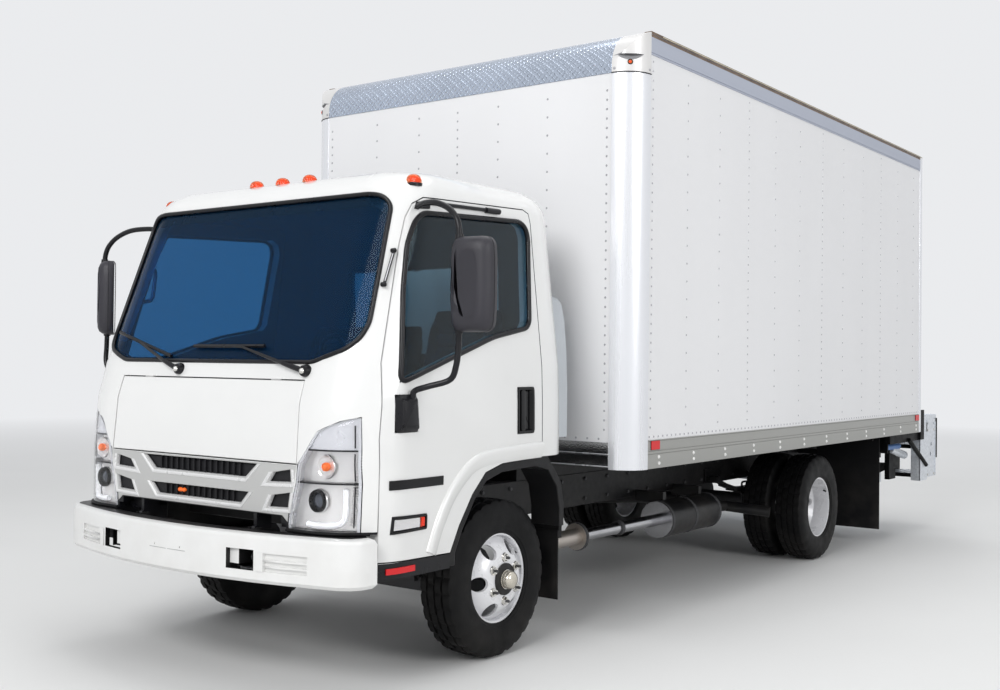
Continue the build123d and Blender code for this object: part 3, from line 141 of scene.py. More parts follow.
class Graph:
    """A node tree, built one node at a time."""

    def __init__(self, tree: bpy.types.NodeTree) -> None:
        """Empties the tree and builds in it."""
        self.tree = tree
        tree.nodes.clear()

    def node(self, kind: str, inputs: dict | None = None, **settings: object) -> bpy.types.Node:
        """Adds a node.

        Args:
            kind: Blender's name for the node type.
            inputs: Values or sockets for its input sockets, by name or index.
            settings: Values for the node's own properties.

        Returns:
            The new node.
        """
        made = self.tree.nodes.new(kind)
        for key, value in settings.items():
            setattr(made, key, value)
        for key, value in (inputs or {}).items():
            socket = made.inputs[key]
            if isinstance(value, Socket):
                self.tree.links.new(value, socket)
            else:
                socket.default_value = value
        return made

    def place(self, stretch: Point = (1, 1, 1)) -> Socket:
        """The object's own coordinates, scaled by stretch."""
        where = self.node("ShaderNodeTexCoord").outputs["Object"]
        return self.node("ShaderNodeMapping", {"Vector": where, "Scale": stretch}).outputs[0]

    def noise(self, scale: float, stretch: Point = (1, 1, 1), detail: float = 3) -> Socket:
        """Soft noise from 0 to 1.

        Args:
            scale: Features to the metre.
            stretch: Scale along each axis.
            detail: Octaves of finer noise.

        Returns:
            The noise.
        """
        made = self.node(
            "ShaderNodeTexNoise", {"Vector": self.place(stretch), "Scale": scale, "Detail": detail}
        )
        return made.outputs[0]

    def ranged(
        self, value: Socket, low: float, high: float, to: Flat = (0, 1),
    ) -> Socket:
        """Carries a value from one range onto another.

        Args:
            value: The value.
            low: Where its range starts.
            high: Where its range ends.
            to: The new range's start and end.

        Returns:
            The value in its new range.
        """
        return self.node(
            "ShaderNodeMapRange", {"Value": value, 1: low, 2: high, 3: to[0], 4: to[1]}
        ).outputs[0]

    def maths(self, operation: str, first: Value, second: Value = 0.5) -> Socket:
        """One sum on two values or sockets."""
        return self.node("ShaderNodeMath", {0: first, 1: second}, operation=operation).outputs[0]

    def mixed(self, share: Value, first: Value, second: Value) -> Socket:
        """Mixes two colours.

        Args:
            share: Share of the second, from 0 to 1.
            first: The first colour.
            second: The second colour.

        Returns:
            The mixed colour.
        """
        return self.node(
            "ShaderNodeMix", {0: share, 6: first, 7: second}, data_type="RGBA"
        ).outputs[2]

    def bump(self, height: Socket, depth: float, under: Socket | None = None) -> Socket:
        """A bumped normal laid over another.

        Args:
            height: Height from 0 to 1.
            depth: What a height of 1 stands for, in metres.
            under: Another bumped normal, or None.

        Returns:
            The normal.
        """
        inputs = {"Height": height, "Distance": depth, "Strength": 1.0}
        if under is not None:
            inputs["Normal"] = under
        return self.node("ShaderNodeBump", inputs).outputs[0]

    def height(self) -> Socket:
        """Height over the ground in metres."""
        return self.node("ShaderNodeSeparateXYZ", {0: self.place()}).outputs["Z"]


def shade(colour: Colour, factor: float = 1.0) -> tuple[float, float, float, float]:
    """The colour times factor, with an alpha."""
    return (*(min(1.0, part * factor) for part in colour), 1.0)


@dataclass(frozen=True)
class Surface:
    """Anything that a face can be dressed in."""

    name: str
    colour: Colour

    def shader(self, graph: Graph) -> bpy.types.Node:
        """Builds the surface's shader in a graph."""
        return graph.node("ShaderNodeBsdfPrincipled", {"Base Color": shade(self.colour)})

    def material(self) -> bpy.types.Material:
        """The finished material, built once for each name.

        Returns:
            The material.
        """
        made = bpy.data.materials.get(self.name)
        if made is None:
            made = bpy.data.materials.new(self.name)
            made.use_nodes = True
            graph = Graph(made.node_tree)
            graph.node("ShaderNodeOutputMaterial", {"Surface": self.shader(graph).outputs[0]})
        return made


@dataclass(frozen=True)
class Finish(Surface):
    """An ordinary surface: a colour that varies a little, fine grain, and dust near the ground."""

    roughness: float = 0.4
    metallic: float = 0.0
    coat: float = 0.0
    variation: float = 0.05
    patch: float = 3.0
    grain: float = 300.0
    grain_depth: float = 0.0001
    stretch: Point = (1, 1, 1)
    dust: float = 0.0
    dust_top: float = 1.2
    wave: float = 0.0
    wave_scale: float = 2.0
    specular: float = 0.5

    def relief(self, graph: Graph) -> Socket:
        """The surface's bumps, from broad waves to fine grain.

        Args:
            graph: The graph to build in.

        Returns:
            The bumped normal.
        """
        under = None
        if self.wave:
            under = graph.bump(graph.noise(self.wave_scale, self.stretch, 1), self.wave)
        return graph.bump(graph.noise(self.grain, self.stretch), self.grain_depth, under)

    def tint(self, graph: Graph) -> Socket:
        """The colour before dust.

        Args:
            graph: The graph to build in.

        Returns:
            The colour, a little darker and lighter in patches.
        """
        patches = graph.ranged(graph.noise(self.patch, self.stretch), 0.3, 0.7)
        return graph.mixed(
            patches, shade(self.colour, 1 - self.variation), shade(self.colour, 1 + self.variation)
        )

    def shader(self, graph: Graph) -> bpy.types.Node:
        """Lays the dust over the tint and the relief under both.

        Args:
            graph: The graph to build in.

        Returns:
            The shader.
        """
        colour = self.tint(graph)
        rough = graph.ranged(
            graph.noise(self.patch * 5, self.stretch), 0.3, 0.7, (
                self.roughness * 0.85, self.roughness * 1.15,
            )
        )
        if self.dust:
            low = graph.ranged(graph.height(), 0.1, self.dust_top, (self.dust, 0))
            spread = graph.maths("MULTIPLY", low, graph.ranged(graph.noise(6), 0.35, 0.65))
            colour = graph.mixed(spread, colour, (0.30, 0.27, 0.23, 1))
            rough = graph.maths("ADD", rough, graph.maths("MULTIPLY", spread, 0.5))
        return graph.node(
            "ShaderNodeBsdfPrincipled",
            {
                "Base Color": colour,
                "Roughness": rough,
                "Metallic": self.metallic,
                "Coat Weight": self.coat,
                "Coat Roughness": 0.06,
                "Specular IOR Level": self.specular,
                "Normal": self.relief(graph),
            },
        )


@dataclass(frozen=True)
class TreadPlate(Finish):
    """Bright aluminium plate with short raised bars set crosswise in turn."""

    pitch: float = 0.034

    def relief(self, graph: Graph) -> Socket:
        """Bars in two directions, on squares like a chessboard's.

        Args:
            graph: The graph to build in.

        Returns:
            The bumped normal.
        """
        heights = []
        where = graph.node("ShaderNodeSeparateXYZ", {0: graph.place((1 / self.pitch,) * 3)})
        along = where.outputs["X"]
        up = graph.maths("ADD", where.outputs["Y"], where.outputs["Z"])
        for turn, shift in ((1, 0.0), (-1, 1.0)):
            sloped = graph.maths("ADD", graph.maths("MULTIPLY", up, turn), along)
            other = graph.maths("SUBTRACT", graph.maths("MULTIPLY", up, turn), along)
            thin = graph.maths("ABSOLUTE", graph.maths("SUBTRACT", graph.maths("FRACT", sloped), 0.5))
            moved = graph.maths("ADD", graph.maths("MULTIPLY", other, 0.5), shift * 0.5)
            length = graph.maths("ABSOLUTE", graph.maths("SUBTRACT", graph.maths("FRACT", moved), 0.5))
            bar = graph.maths(
                "MULTIPLY", graph.ranged(thin, 0.14, 0.07), graph.ranged(length, 0.42, 0.2)
            )
            heights.append(bar)
        return graph.bump(graph.maths("MAXIMUM", *heights), 0.0075, super().relief(graph))


@dataclass(frozen=True)
class Spangled(Finish):
    """Hot-dipped zinc with its crystal pattern."""

    def tint(self, graph: Graph) -> Socket:
        """Grey flakes, each a little lighter or darker.

        Args:
            graph: The graph to build in.

        Returns:
            The colour.
        """
        cells = graph.node("ShaderNodeTexVoronoi", {"Vector": graph.place(), "Scale": 70.0})
        value = graph.node("ShaderNodeSeparateColor", {0: cells.outputs["Color"]}).outputs[0]
        return graph.mixed(value, shade(self.colour, 0.9), shade(self.colour, 1.1))


@dataclass(frozen=True)
class HeatStained(Finish):
    """Steel pipe with straw and blue heat colours near the engine."""

    def tint(self, graph: Graph) -> Socket:
        """Colours by distance along the pipe.

        Args:
            graph: The graph to build in.

        Returns:
            The colour.
        """
        along = graph.node("ShaderNodeSeparateXYZ", {0: graph.place()}).outputs["Y"]
        wavy = graph.maths("ADD", along, graph.maths("MULTIPLY", graph.noise(14), 0.12))
        ramp = graph.node("ShaderNodeValToRGB", {0: graph.ranged(wavy, -1.62, -1.15)})
        stops = ramp.color_ramp.elements
        stops[0].color = (0.32, 0.30, 0.36, 1)
        stops[1].color = shade(self.colour)
        for place, colour in (
            (0.3, (0.50, 0.36, 0.16, 1)), (0.5, (0.42, 0.22, 0.10, 1)), (0.7, (0.35, 0.33, 0.34, 1)),
        ):
            stops.new(place).color = colour
        return ramp.outputs[0]


@dataclass(frozen=True)
class Planked(Finish):
    """Laminated hardwood boards that run along the truck."""

    board: float = 0.035

    def tint(self, graph: Graph) -> Socket:
        """A brown for each board, with grain along it.

        Args:
            graph: The graph to build in.

        Returns:
            The colour.
        """
        where = graph.node("ShaderNodeSeparateXYZ", {0: graph.place()})
        number = graph.maths("FLOOR", graph.maths("DIVIDE", where.outputs["X"], self.board))
        value = graph.node("ShaderNodeTexWhiteNoise", {"W": number}, noise_dimensions="1D").outputs[0]
        grain = graph.noise(60, (1, 0.05, 1))
        share = graph.maths("ADD", graph.maths("MULTIPLY", value, 0.6), graph.maths("MULTIPLY", grain, 0.4))
        return graph.mixed(share, shade(self.colour, 0.7), shade(self.colour, 1.3))


@dataclass(frozen=True)
class Woven(Finish):
    """Seat cloth: crossed threads with a soft sheen."""

    thread: float = 420.0

    def relief(self, graph: Graph) -> Socket:
        """Warp and weft as two crossed waves over the pad's creases.

        Args:
            graph: The graph to build in.

        Returns:
            The bumped normal.
        """
        waves = [
            graph.node(
                "ShaderNodeTexWave",
                {"Vector": graph.place(), "Scale": self.thread / 6.3},
                bands_direction=direction,
            ).outputs["Fac"]
            for direction in ("X", "DIAGONAL")
        ]
        creases = graph.bump(graph.noise(9, (1, 1, 1), 2), 0.004)
        return graph.bump(graph.maths("MAXIMUM", *waves), 0.0006, creases)


@dataclass(frozen=True)
class Glass(Surface):
    """Clear or tinted window glass or a lamp lens."""

    roughness: float = 0.02
    ribs: float = 0.0
    clear: float = 1.0
    index: float = 1.45

    def shader(self, graph: Graph) -> bpy.types.Node:
        """Smears the glass a little and moulds ribs in a lens.

        Args:
            graph: The graph to build in.

        Returns:
            The shader.
        """
        smears = graph.ranged(graph.noise(7), 0.35, 0.7, (self.roughness, self.roughness + 0.03))
        inputs = {
            "Base Color": shade(self.colour),
            "Roughness": smears,
            "Transmission Weight": self.clear,
            "IOR": self.index,
        }
        if self.ribs:
            wave = graph.node(
                "ShaderNodeTexWave", {"Vector": graph.place(), "Scale": self.ribs}, bands_direction="X"
            )
            inputs["Normal"] = graph.bump(wave.outputs["Fac"], 0.0012)
        return graph.node("ShaderNodeBsdfPrincipled", inputs)


@dataclass(frozen=True)
class Glow(Surface):
    """A mass with a painted glow, such as a lamp's light guide or the body of a lens; on the reflectors and
    the horn plug, which are no lamps, the glow is painted light.
    """

    strength: float

    def shader(self, graph: Graph) -> bpy.types.Node:
        """Paints a glow in the colour, under a finely grained gloss.

        Args:
            graph: The graph to build in.

        Returns:
            The shader.
        """
        return graph.node(
            "ShaderNodeBsdfPrincipled",
            {
                "Base Color": shade(self.colour),
                "Roughness": graph.ranged(graph.noise(200), 0.3, 0.7, (0.3, 0.4)),
                "Emission Color": shade(self.colour),
                "Emission Strength": self.strength,
            },
        )


@dataclass(frozen=True)
class PaleFloor(Surface):
    """A floor that turns into the backdrop's colour far from the truck."""

    light: Colour
    backdrop: Colour

    def shader(self, graph: Graph) -> bpy.types.Node:
        """Mixes the floor and the backdrop by distance.

        Args:
            graph: The graph to build in.

        Returns:
            The shader.
        """
        far = graph.node("ShaderNodeVectorMath", {0: graph.place()}, operation="LENGTH").outputs["Value"]
        tone = graph.mixed(graph.noise(0.7), shade(self.colour), shade(self.light))
        relief = graph.bump(graph.noise(60), 0.0004)
        plain = graph.node(
            "ShaderNodeBsdfPrincipled", {"Base Color": tone, "Roughness": 0.85, "Normal": relief},
        )
        backdrop = graph.node("ShaderNodeEmission", {"Color": (*self.backdrop, 1), "Strength": 0.95})
        shares = {0: graph.ranged(far, 7.0, 22.0), 1: plain.outputs[0], 2: backdrop.outputs[0]}
        return graph.node("ShaderNodeMixShader", shares)


CAB_WHITE = Finish(
    "cab_white", (0.80, 0.80, 0.79), 0.22, coat=0.7, variation=0.015, grain=900, grain_depth=0.00002,
    dust=0.16,
)
BUMPER_WHITE = Finish(
    "bumper_white", (0.80, 0.80, 0.79), 0.32, coat=0.35, variation=0.02, grain=700, grain_depth=0.00004,
    dust=0.2,
)
WALL_WHITE = Finish(
    "wall_white", (0.79, 0.79, 0.80), 0.33, variation=0.02, patch=1.2, grain=500,
    grain_depth=0.00005, stretch=(1, 1, 0.25), wave=0.004, wave_scale=2.4,
)
SATIN_POST = Finish(
    "satin_post", (0.80, 0.81, 0.84), 0.28, metallic=0.5, variation=0.03, grain=800,
    grain_depth=0.00008, stretch=(1, 1, 0.02),
)
SATIN_RAIL = Finish(
    "satin_rail", (0.40, 0.40, 0.38), 0.42, metallic=0.8, variation=0.06, patch=5, grain=800,
    grain_depth=0.0001, stretch=(1, 0.02, 1),
)
POLISHED_SILL = Finish(
    "polished_sill", (0.72, 0.72, 0.73), 0.14, metallic=1.0, variation=0.05, grain=120, grain_depth=0.0006,
    patch=8,
)
TREAD_ALUMINIUM = TreadPlate("tread_aluminium", (0.50, 0.56, 0.66), 0.2, metallic=1.0, grain=500, pitch=0.034)
CAST_SILVER = Finish(
    "cast_silver", (0.70, 0.69, 0.68), 0.40, metallic=0.15, variation=0.04, grain=260, grain_depth=0.0002,
    coat=0.2,
)
# painted shade: the grey crescent under each corner cap's brow
LID_SHADE = Finish("lid_shade", (0.30, 0.30, 0.31), 0.45, variation=0.1, grain=260)
MILL_ROOF = Finish("mill_roof", (0.76, 0.77, 0.78), 0.45, metallic=0.3, variation=0.06, patch=1.5, wave=0.006)
TRIM_BLACK = Finish(
    "trim_black", (0.007, 0.007, 0.009), 0.30, variation=0.2, grain=700, grain_depth=0.00006, specular=0.28,
)
MOULDED_BLACK = Finish(
    "moulded_black", (0.012, 0.012, 0.014), 0.5, variation=0.2, grain=650, grain_depth=0.0005, specular=0.25,
)
FLARE_BLACK = Finish(
    "flare_black", (0.008, 0.008, 0.009), 0.45, variation=0.2, grain=500, grain_depth=0.0003, dust=0.06,
    dust_top=0.9, specular=0.25,
)
FLAP_RUBBER = Finish(
    "flap_rubber", (0.006, 0.006, 0.007), 0.6, variation=0.2, grain=90, grain_depth=0.0004, dust=0.08,
    dust_top=0.7, specular=0.2,
)
TYRE_RUBBER = Finish(
    "tyre_rubber", (0.004, 0.004, 0.0045), 0.55, variation=0.25, grain=160, grain_depth=0.0005, dust=0.03,
    dust_top=0.75, specular=0.16,
)
WHEEL_SILVER = Finish(
    "wheel_silver", (0.80, 0.80, 0.82), 0.28, metallic=0.1, coat=0.5, variation=0.03, grain=420,
    grain_depth=0.00008, dust=0.06, dust_top=0.8,
)
NUT_CHROME = Finish("nut_chrome", (0.70, 0.69, 0.66), 0.2, metallic=1.0, variation=0.1, grain=300)
HUB_BLACK = Finish(
    "hub_black", (0.008, 0.008, 0.009), 0.4, variation=0.3, grain=120, grain_depth=0.0006, dust=0.06,
    specular=0.25,
)
FRAME_BLACK = Finish(
    "frame_black", (0.007, 0.007, 0.008), 0.42, variation=0.3, patch=6, grain=200, grain_depth=0.0003,
    dust=0.06, dust_top=1.0, specular=0.25,
)
CAST_IRON = Finish(
    "cast_iron", (0.022, 0.021, 0.020), 0.55, metallic=0.3, variation=0.3, patch=9, grain=90,
    grain_depth=0.001, dust=0.08, specular=0.3,
)
TANK_BLACK = Finish(
    "tank_black", (0.009, 0.009, 0.010), 0.36, variation=0.2, patch=4, grain=300, dust=0.08, dust_top=0.9,
    specular=0.28,
)
EXHAUST_STEEL = HeatStained(
    "exhaust_steel", (0.42, 0.43, 0.46), 0.28, metallic=1.0, grain=300, grain_depth=0.0003,
    stretch=(1, 0.1, 1),
)
GRILLE_SATIN = Finish(
    "grille_satin", (0.56, 0.56, 0.55), 0.33, metallic=0.45, variation=0.01, grain=900, grain_depth=0.00001,
    coat=0.3,
)
PIPE_BRIGHT = Finish(
    "pipe_bright", (0.50, 0.50, 0.52), 0.22, metallic=1.0, variation=0.08, patch=6, grain=300,
    grain_depth=0.0002,
)
BRIGHT_CHROME = Finish(
    "bright_chrome", (0.80, 0.80, 0.81), 0.09, metallic=1.0, variation=0.02, grain=200, grain_depth=0.00002,
)
ZINC = Spangled("zinc", (0.70, 0.73, 0.77), 0.35, metallic=0.55, grain=200, grain_depth=0.0002)
LIFT_BLACK = Finish(
    "lift_black", (0.003, 0.003, 0.0035), 0.5, variation=0.25, grain=240, grain_depth=0.0003, dust=0.02,
    specular=0.12,
)
DOOR_WHITE = Finish(
    "door_white", (0.76, 0.76, 0.75), 0.4, variation=0.03, patch=2, grain=300, grain_depth=0.0001,
)
CABIN_GREY = Finish(
    "cabin_grey", (0.035, 0.038, 0.045), 0.6, variation=0.08, grain=500, grain_depth=0.0004, specular=0.3,
)
CABIN_PALE = Finish(
    "cabin_pale", (0.10, 0.11, 0.125), 0.65, variation=0.05, grain=400, grain_depth=0.00005, specular=0.3,
)
SEAT_CLOTH = Woven("seat_cloth", (0.035, 0.04, 0.05), 0.85, variation=0.15, patch=40, specular=0.2)
HARDWOOD = Planked("hardwood", (0.26, 0.14, 0.07), 0.5, grain=200)
CAB_TINT = Glass("cab_tint", (0.045, 0.18, 0.39), clear=0.93, index=1.12)
REAR_TINT = Glass("rear_tint", (0.50, 0.68, 0.78), index=1.3)
SIDE_TINT = Glass("side_tint", (0.40, 0.56, 0.64), index=1.3)
CLEAR_LENS = Glass("clear_lens", (0.99, 0.99, 1.0), 0.01, index=1.22)
AMBER_LENS = Glass("amber_lens", (1.0, 0.24, 0.03), 0.08, ribs=60)
RED_LENS = Glass("red_lens", (0.85, 0.02, 0.02), 0.08, ribs=50)
# painted glow: amber parts shine, the horn plug too, which is no lamp
AMBER_PAINTED_GLOW = Glow("amber_mass", (0.9, 0.16, 0.02), 0.25)
# painted glow: the red reflectors shine though they are no lamps; the tail lamps' red mass glows the same way
RED_PAINTED_GLOW = Glow("red_mass", (0.60, 0.006, 0.010), 0.10)
LIGHT_GUIDE = Glow("light_guide", (0.93, 0.94, 0.96), 0.22)
HYDRAULIC_BLUE = Finish("hydraulic_blue", (0.05, 0.16, 0.42), 0.35, variation=0.15, grain=200, dust=0.2)
RIVET_GREY = Finish("rivet_grey", (0.42, 0.42, 0.44), 0.35, metallic=0.6, variation=0.1, grain=300)
# painted shade: the white duct behind the cab is coloured grey because it lies in shade
DUCT_PAINTED_SHADE = Finish("duct_grey", (0.50, 0.53, 0.56), 0.4, variation=0.03, grain=300, grain_depth=0.0001)
BOLT_PALE = Finish("bolt_pale", (0.80, 0.80, 0.78), 0.35, metallic=0.2, variation=0.05, grain=300)
TOP_RAIL = Finish(
    "top_rail", (0.46, 0.49, 0.57), 0.45, metallic=0.6, variation=0.05, patch=4, grain=700,
    grain_depth=0.0001, stretch=(1, 0.02, 1),
)
# brown sealant with painted shade: the dark band along the roof edge
SEALANT_AND_SHADE_BROWN = Finish(
    "sealant_brown", (0.13, 0.085, 0.055), 0.5, variation=0.35, patch=9, grain=120, grain_depth=0.0006,
)
GOLD_LINE = Finish("gold_line", (0.52, 0.47, 0.36), 0.4, metallic=0.4, variation=0.15, patch=8)
HUB_CREAM = Finish("hub_cream", (0.62, 0.58, 0.50), 0.22, metallic=0.75, variation=0.08, grain=300, dust=0.1)
MIRROR_BLACK = Finish(
    "mirror_black", (0.022, 0.021, 0.028), 0.42, variation=0.15, grain=700, grain_depth=0.0006, specular=0.45,
)
MIRROR_GLASS = Finish("mirror_glass", (0.80, 0.82, 0.84), 0.03, metallic=1.0, variation=0.01)
GLOSS_BLACK = Finish(
    "gloss_black", (0.003, 0.003, 0.004), 0.14, coat=0.12, variation=0.1, grain=500, specular=0.25,
)
LENS_DARK = Finish("lens_dark", (0.05, 0.06, 0.08), 0.06, metallic=0.3, coat=0.6, variation=0.3, patch=60)
LAMP_BOWL = Finish(
    "lamp_bowl", (0.82, 0.81, 0.80), 0.12, metallic=0.55, variation=0.05, grain=60, grain_depth=0.0006,
    coat=0.4,
)
LAMP_PANEL = Finish(
    "lamp_panel", (0.74, 0.75, 0.78), 0.25, metallic=0.35, variation=0.02, grain=300, coat=0.4,
)
# painted highlight: the slot rims are coloured lighter than the grille because they catch the light
GRILLE_PAINTED_HIGHLIGHT = Finish(
    "grille_bright", (0.74, 0.74, 0.74), 0.3, metallic=0.2, variation=0.005, grain=900, grain_depth=0.000005,
    coat=0.5,
)
SHADOW_GREY = Finish("shadow_grey", (0.36, 0.36, 0.36), 0.6, variation=0.1, grain=200)
SEAT_PANEL = Woven("seat_panel", (0.022, 0.024, 0.03), 0.7, variation=0.12, patch=30, specular=0.2)


# Meshes


@contextmanager
def edited(mesh: bpy.types.Mesh) -> Iterator[bmesh.types.BMesh]:
    """Opens a mesh for editing and writes it back at the end.

    Args:
        mesh: The mesh.

    Yields:
        Its editable form.
    """
    work = bmesh.new()
    work.from_mesh(mesh)
    yield work
    work.to_mesh(mesh)
    work.free()


def outward(mesh: bpy.types.Mesh) -> bpy.types.Mesh:
    """Turns every face of a closed mesh outwards.

    Args:
        mesh: The mesh.

    Returns:
        The same mesh.
    """
    with edited(mesh) as work:
        bmesh.ops.recalc_face_normals(work, faces=work.faces)
    return mesh


class Draft:
    """Vertices and faces of one piece while it is built, with a finish for each face."""

    def __init__(self, name: str, *finishes: Surface) -> None:
        """Starts an empty piece.

        Args:
            name: The piece's name.
            finishes: Finishes that faces take by number.
        """
        self.name = name
        self.finishes = finishes
        self.points: list[Vector] = []
        self.faces: list[tuple[tuple[int, ...], int]] = []

    def add(self, points: list, faces: list, slot: int = 0) -> None:
        """Adds points and the faces between them.

        Args:
            points: The points.
            faces: Point numbers of each face, counted from these points' first.
            slot: Number of the finish.
        """
        start = len(self.points)
        self.points.extend(Vector(point) for point in points)
        self.faces.extend((tuple(start + index for index in face), slot) for face in faces)

    def box(self, low: Point, high: Point, slot: int = 0) -> None:
        """Adds a block.

        Args:
            low: Its lowest corner.
            high: Its highest corner.
            slot: Number of the finish.
        """
        xs, ys, zs = ((min(a, b), max(a, b)) for a, b in zip(low, high))
        corners = [(xs[i], ys[j], zs[k]) for k in (0, 1) for j in (0, 1) for i in (0, 1)]
        faces = [(0, 2, 3, 1), (4, 5, 7, 6), (0, 1, 5, 4), (2, 6, 7, 3), (0, 4, 6, 2), (1, 3, 7, 5)]
        self.add(corners, faces, slot)

    def loops(self, rings: list, slot: int = 0, closed: bool = False, caps: bool = True) -> None:
        """Adds a skin through rings of equally many points.

        Args:
            rings: The rings, in order.
            slot: Number of the finish.
            closed: Whether the last ring is joined to the first.
            caps: Whether the end rings are filled in.
        """
        size = len(rings[0])
        points = [point for ring in rings for point in ring]
        faces = []
        for ring in range(len(rings) if closed else len(rings) - 1):
            near, far = ring * size, (ring + 1) % len(rings) * size
            for index in range(size):
                after = (index + 1) % size
                faces.append((near + index, near + after, far + after, far + index))
        if caps and not closed:
            faces.append(tuple(range(size))[::-1])
            faces.append(tuple(range((len(rings) - 1) * size, len(rings) * size)))
        self.add(points, faces, slot)

    def tube(
        self, path: list, radius: float, sides: int = 10, slot: int = 0, closed: bool = False,
        end: float = 0.0
    ) -> None:
        """Adds a round bar along a path.

        Args:
            path: Points along its middle.
            radius: Its radius.
            sides: Steps round it.
            slot: Number of the finish.
            closed: Whether its end is joined to its start.
            end: Its radius at the end, if that differs.
        """
        spots = [Vector(point) for point in path]
        count = len(spots)
        rings = []
        side = None
        for index, spot in enumerate(spots):
            before = spots[index - 1] if closed or index else spot
            after = spots[(index + 1) % count] if closed or index < count - 1 else spot
            ahead = (after - before).normalized()
            if side is None:
                guide = Vector((0, 0, 1)) if abs(ahead.z) < 0.9 else Vector((0, 1, 0))
                side = ahead.cross(guide)
            side = (side - ahead * side.dot(ahead)).normalized()
            up = side.cross(ahead)
            reach = radius + ((end or radius) - radius) * index / (count - 1)
            turns = [2 * math.pi * step / sides for step in range(sides)]
            rings.append([spot + side * reach * math.cos(t) + up * reach * math.sin(t) for t in turns])
        self.loops(rings, slot, closed)

    def turned(
        self, centre: Point, axis: Axis, profile: tuple, sides: int = 32, slot: int = 0, closed: bool = False,
        way: int = 1
    ) -> None:
        """Adds a form turned about an axis.

        Args:
            centre: A point on the axis.
            axis: The axis's direction.
            profile: Distance along the axis and radius of each ring.
            sides: Steps round the form.
            slot: Number of the finish.
            closed: Whether the last ring is joined to the first.
            way: -1 turns the profile's distances round.
        """
        rings = []
        for far, radius in profile:
            ring = []
            for step in range(sides):
                turn = 2 * math.pi * step / sides
                along, across, up = way * far, radius * math.cos(turn), radius * math.sin(turn)
                spots = {
                    Axis.X: (along, across, up), Axis.Y: (up, along, across), Axis.Z: (across, up, along),
                }
                ring.append(tuple(c + part for c, part in zip(centre, spots[axis])))
            rings.append(ring)
        self.loops(rings, slot, closed)

    def mesh(self) -> bpy.types.Mesh:
        """The draft as a mesh whose faces carry their finishes' numbers.

        Returns:
            The mesh, without its finishes.
        """
        mesh = bpy.data.meshes.new(self.name)
        mesh.from_pydata(self.points, [], [face for face, _ in self.faces])
        mesh.polygons.foreach_set("material_index", [slot for _, slot in self.faces])
        return mesh

    def piece(self, body: str, bevel: float = 0.0, smooth: float = 35.0) -> bpy.types.Object:
        """Makes the object and puts it on its body.

        Args:
            body: Name of the body that carries the piece.
            bevel: Width of its rounded edges in metres, or 0.
            smooth: Largest angle between faces that are shaded as one, in degrees.

        Returns:
            The finished object.
        """
        return dress(self.mesh(), self.name, body, self.finishes, bevel, smooth)


def dress(
    mesh: bpy.types.Mesh, name: str, body: str, finishes: tuple, bevel: float = 0.0, smooth: float = 35.0
) -> bpy.types.Object:
    """Gives a mesh its finishes and rounded edges, and puts it on its body.

    Args:
        mesh: The mesh to use.
        name: The piece's name.
        body: Name of the body that carries it.
        finishes: Its finishes, in the order of its faces' numbers.
        bevel: Width of its rounded edges in metres, or 0.
        smooth: Largest angle between faces that are shaded as one, in degrees.

    Returns:
        The finished object.
    """
    with edited(mesh) as work:
        bmesh.ops.remove_doubles(work, verts=work.verts, dist=0.00002)
        bmesh.ops.recalc_face_normals(work, faces=work.faces)
    for finish in finishes:
        mesh.materials.append(finish.material())
    mesh.shade_smooth()
    mesh.set_sharp_from_angle(angle=math.radians(smooth))
    piece = bpy.data.objects.new(name, mesh)
    bpy.context.scene.collection.objects.link(piece)
    if bevel:
        rounding = piece.modifiers.new("rounding", "BEVEL")
        rounding.width = bevel
        rounding.segments = 2
        rounding.limit_method = "ANGLE"
        rounding.angle_limit = math.radians(smooth)
        rounding.harden_normals = True
    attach(piece, body)
    return piece


def carved(mesh: bpy.types.Mesh, cutter: Draft) -> bpy.types.Mesh:
    """A mesh with another form cut out of it.

    Args:
        mesh: The mesh to cut.
        cutter: The form to take away.

    Returns:
        The mesh that is left.
    """
    whole = bpy.data.objects.new("carving", mesh)
    tool = bpy.data.objects.new("tool", outward(cutter.mesh()))
    for item in (whole, tool):
        bpy.context.scene.collection.objects.link(item)
    cut = whole.modifiers.new("cut", "BOOLEAN")
    cut.operation = "DIFFERENCE"
    cut.solver = "EXACT"
    cut.object = tool
    depsgraph = bpy.context.evaluated_depsgraph_get()
    left = bpy.data.meshes.new_from_object(whole.evaluated_get(depsgraph))
    for item in (whole, tool):
        bpy.data.objects.remove(item)
    return left


def copied(node: str, cuts: tuple = ()) -> bpy.types.Mesh:
    """A clean copy of a solid's mesh, with plane faces made whole.

    Args:
        node: Name of the solid.
        cuts: Planes to divide its faces at, as (point, normal).

    Returns:
        The copy.
    """
    mesh = FRAME["nodes"][node].data.copy()
    mesh.materials.clear()
    for name in [layer.name for layer in mesh.attributes if layer.name == "custom_normal"]:
        mesh.attributes.remove(mesh.attributes[name])
    with edited(mesh) as work:
        bmesh.ops.remove_doubles(work, verts=work.verts, dist=0.00005)
        bmesh.ops.dissolve_limit(work, angle_limit=math.radians(0.6), verts=work.verts, edges=work.edges)
        for point, normal in cuts:
            every = [*work.verts, *work.edges, *work.faces]
            bmesh.ops.bisect_plane(work, geom=every, dist=0.00001, plane_co=point, plane_no=normal)
    return mesh


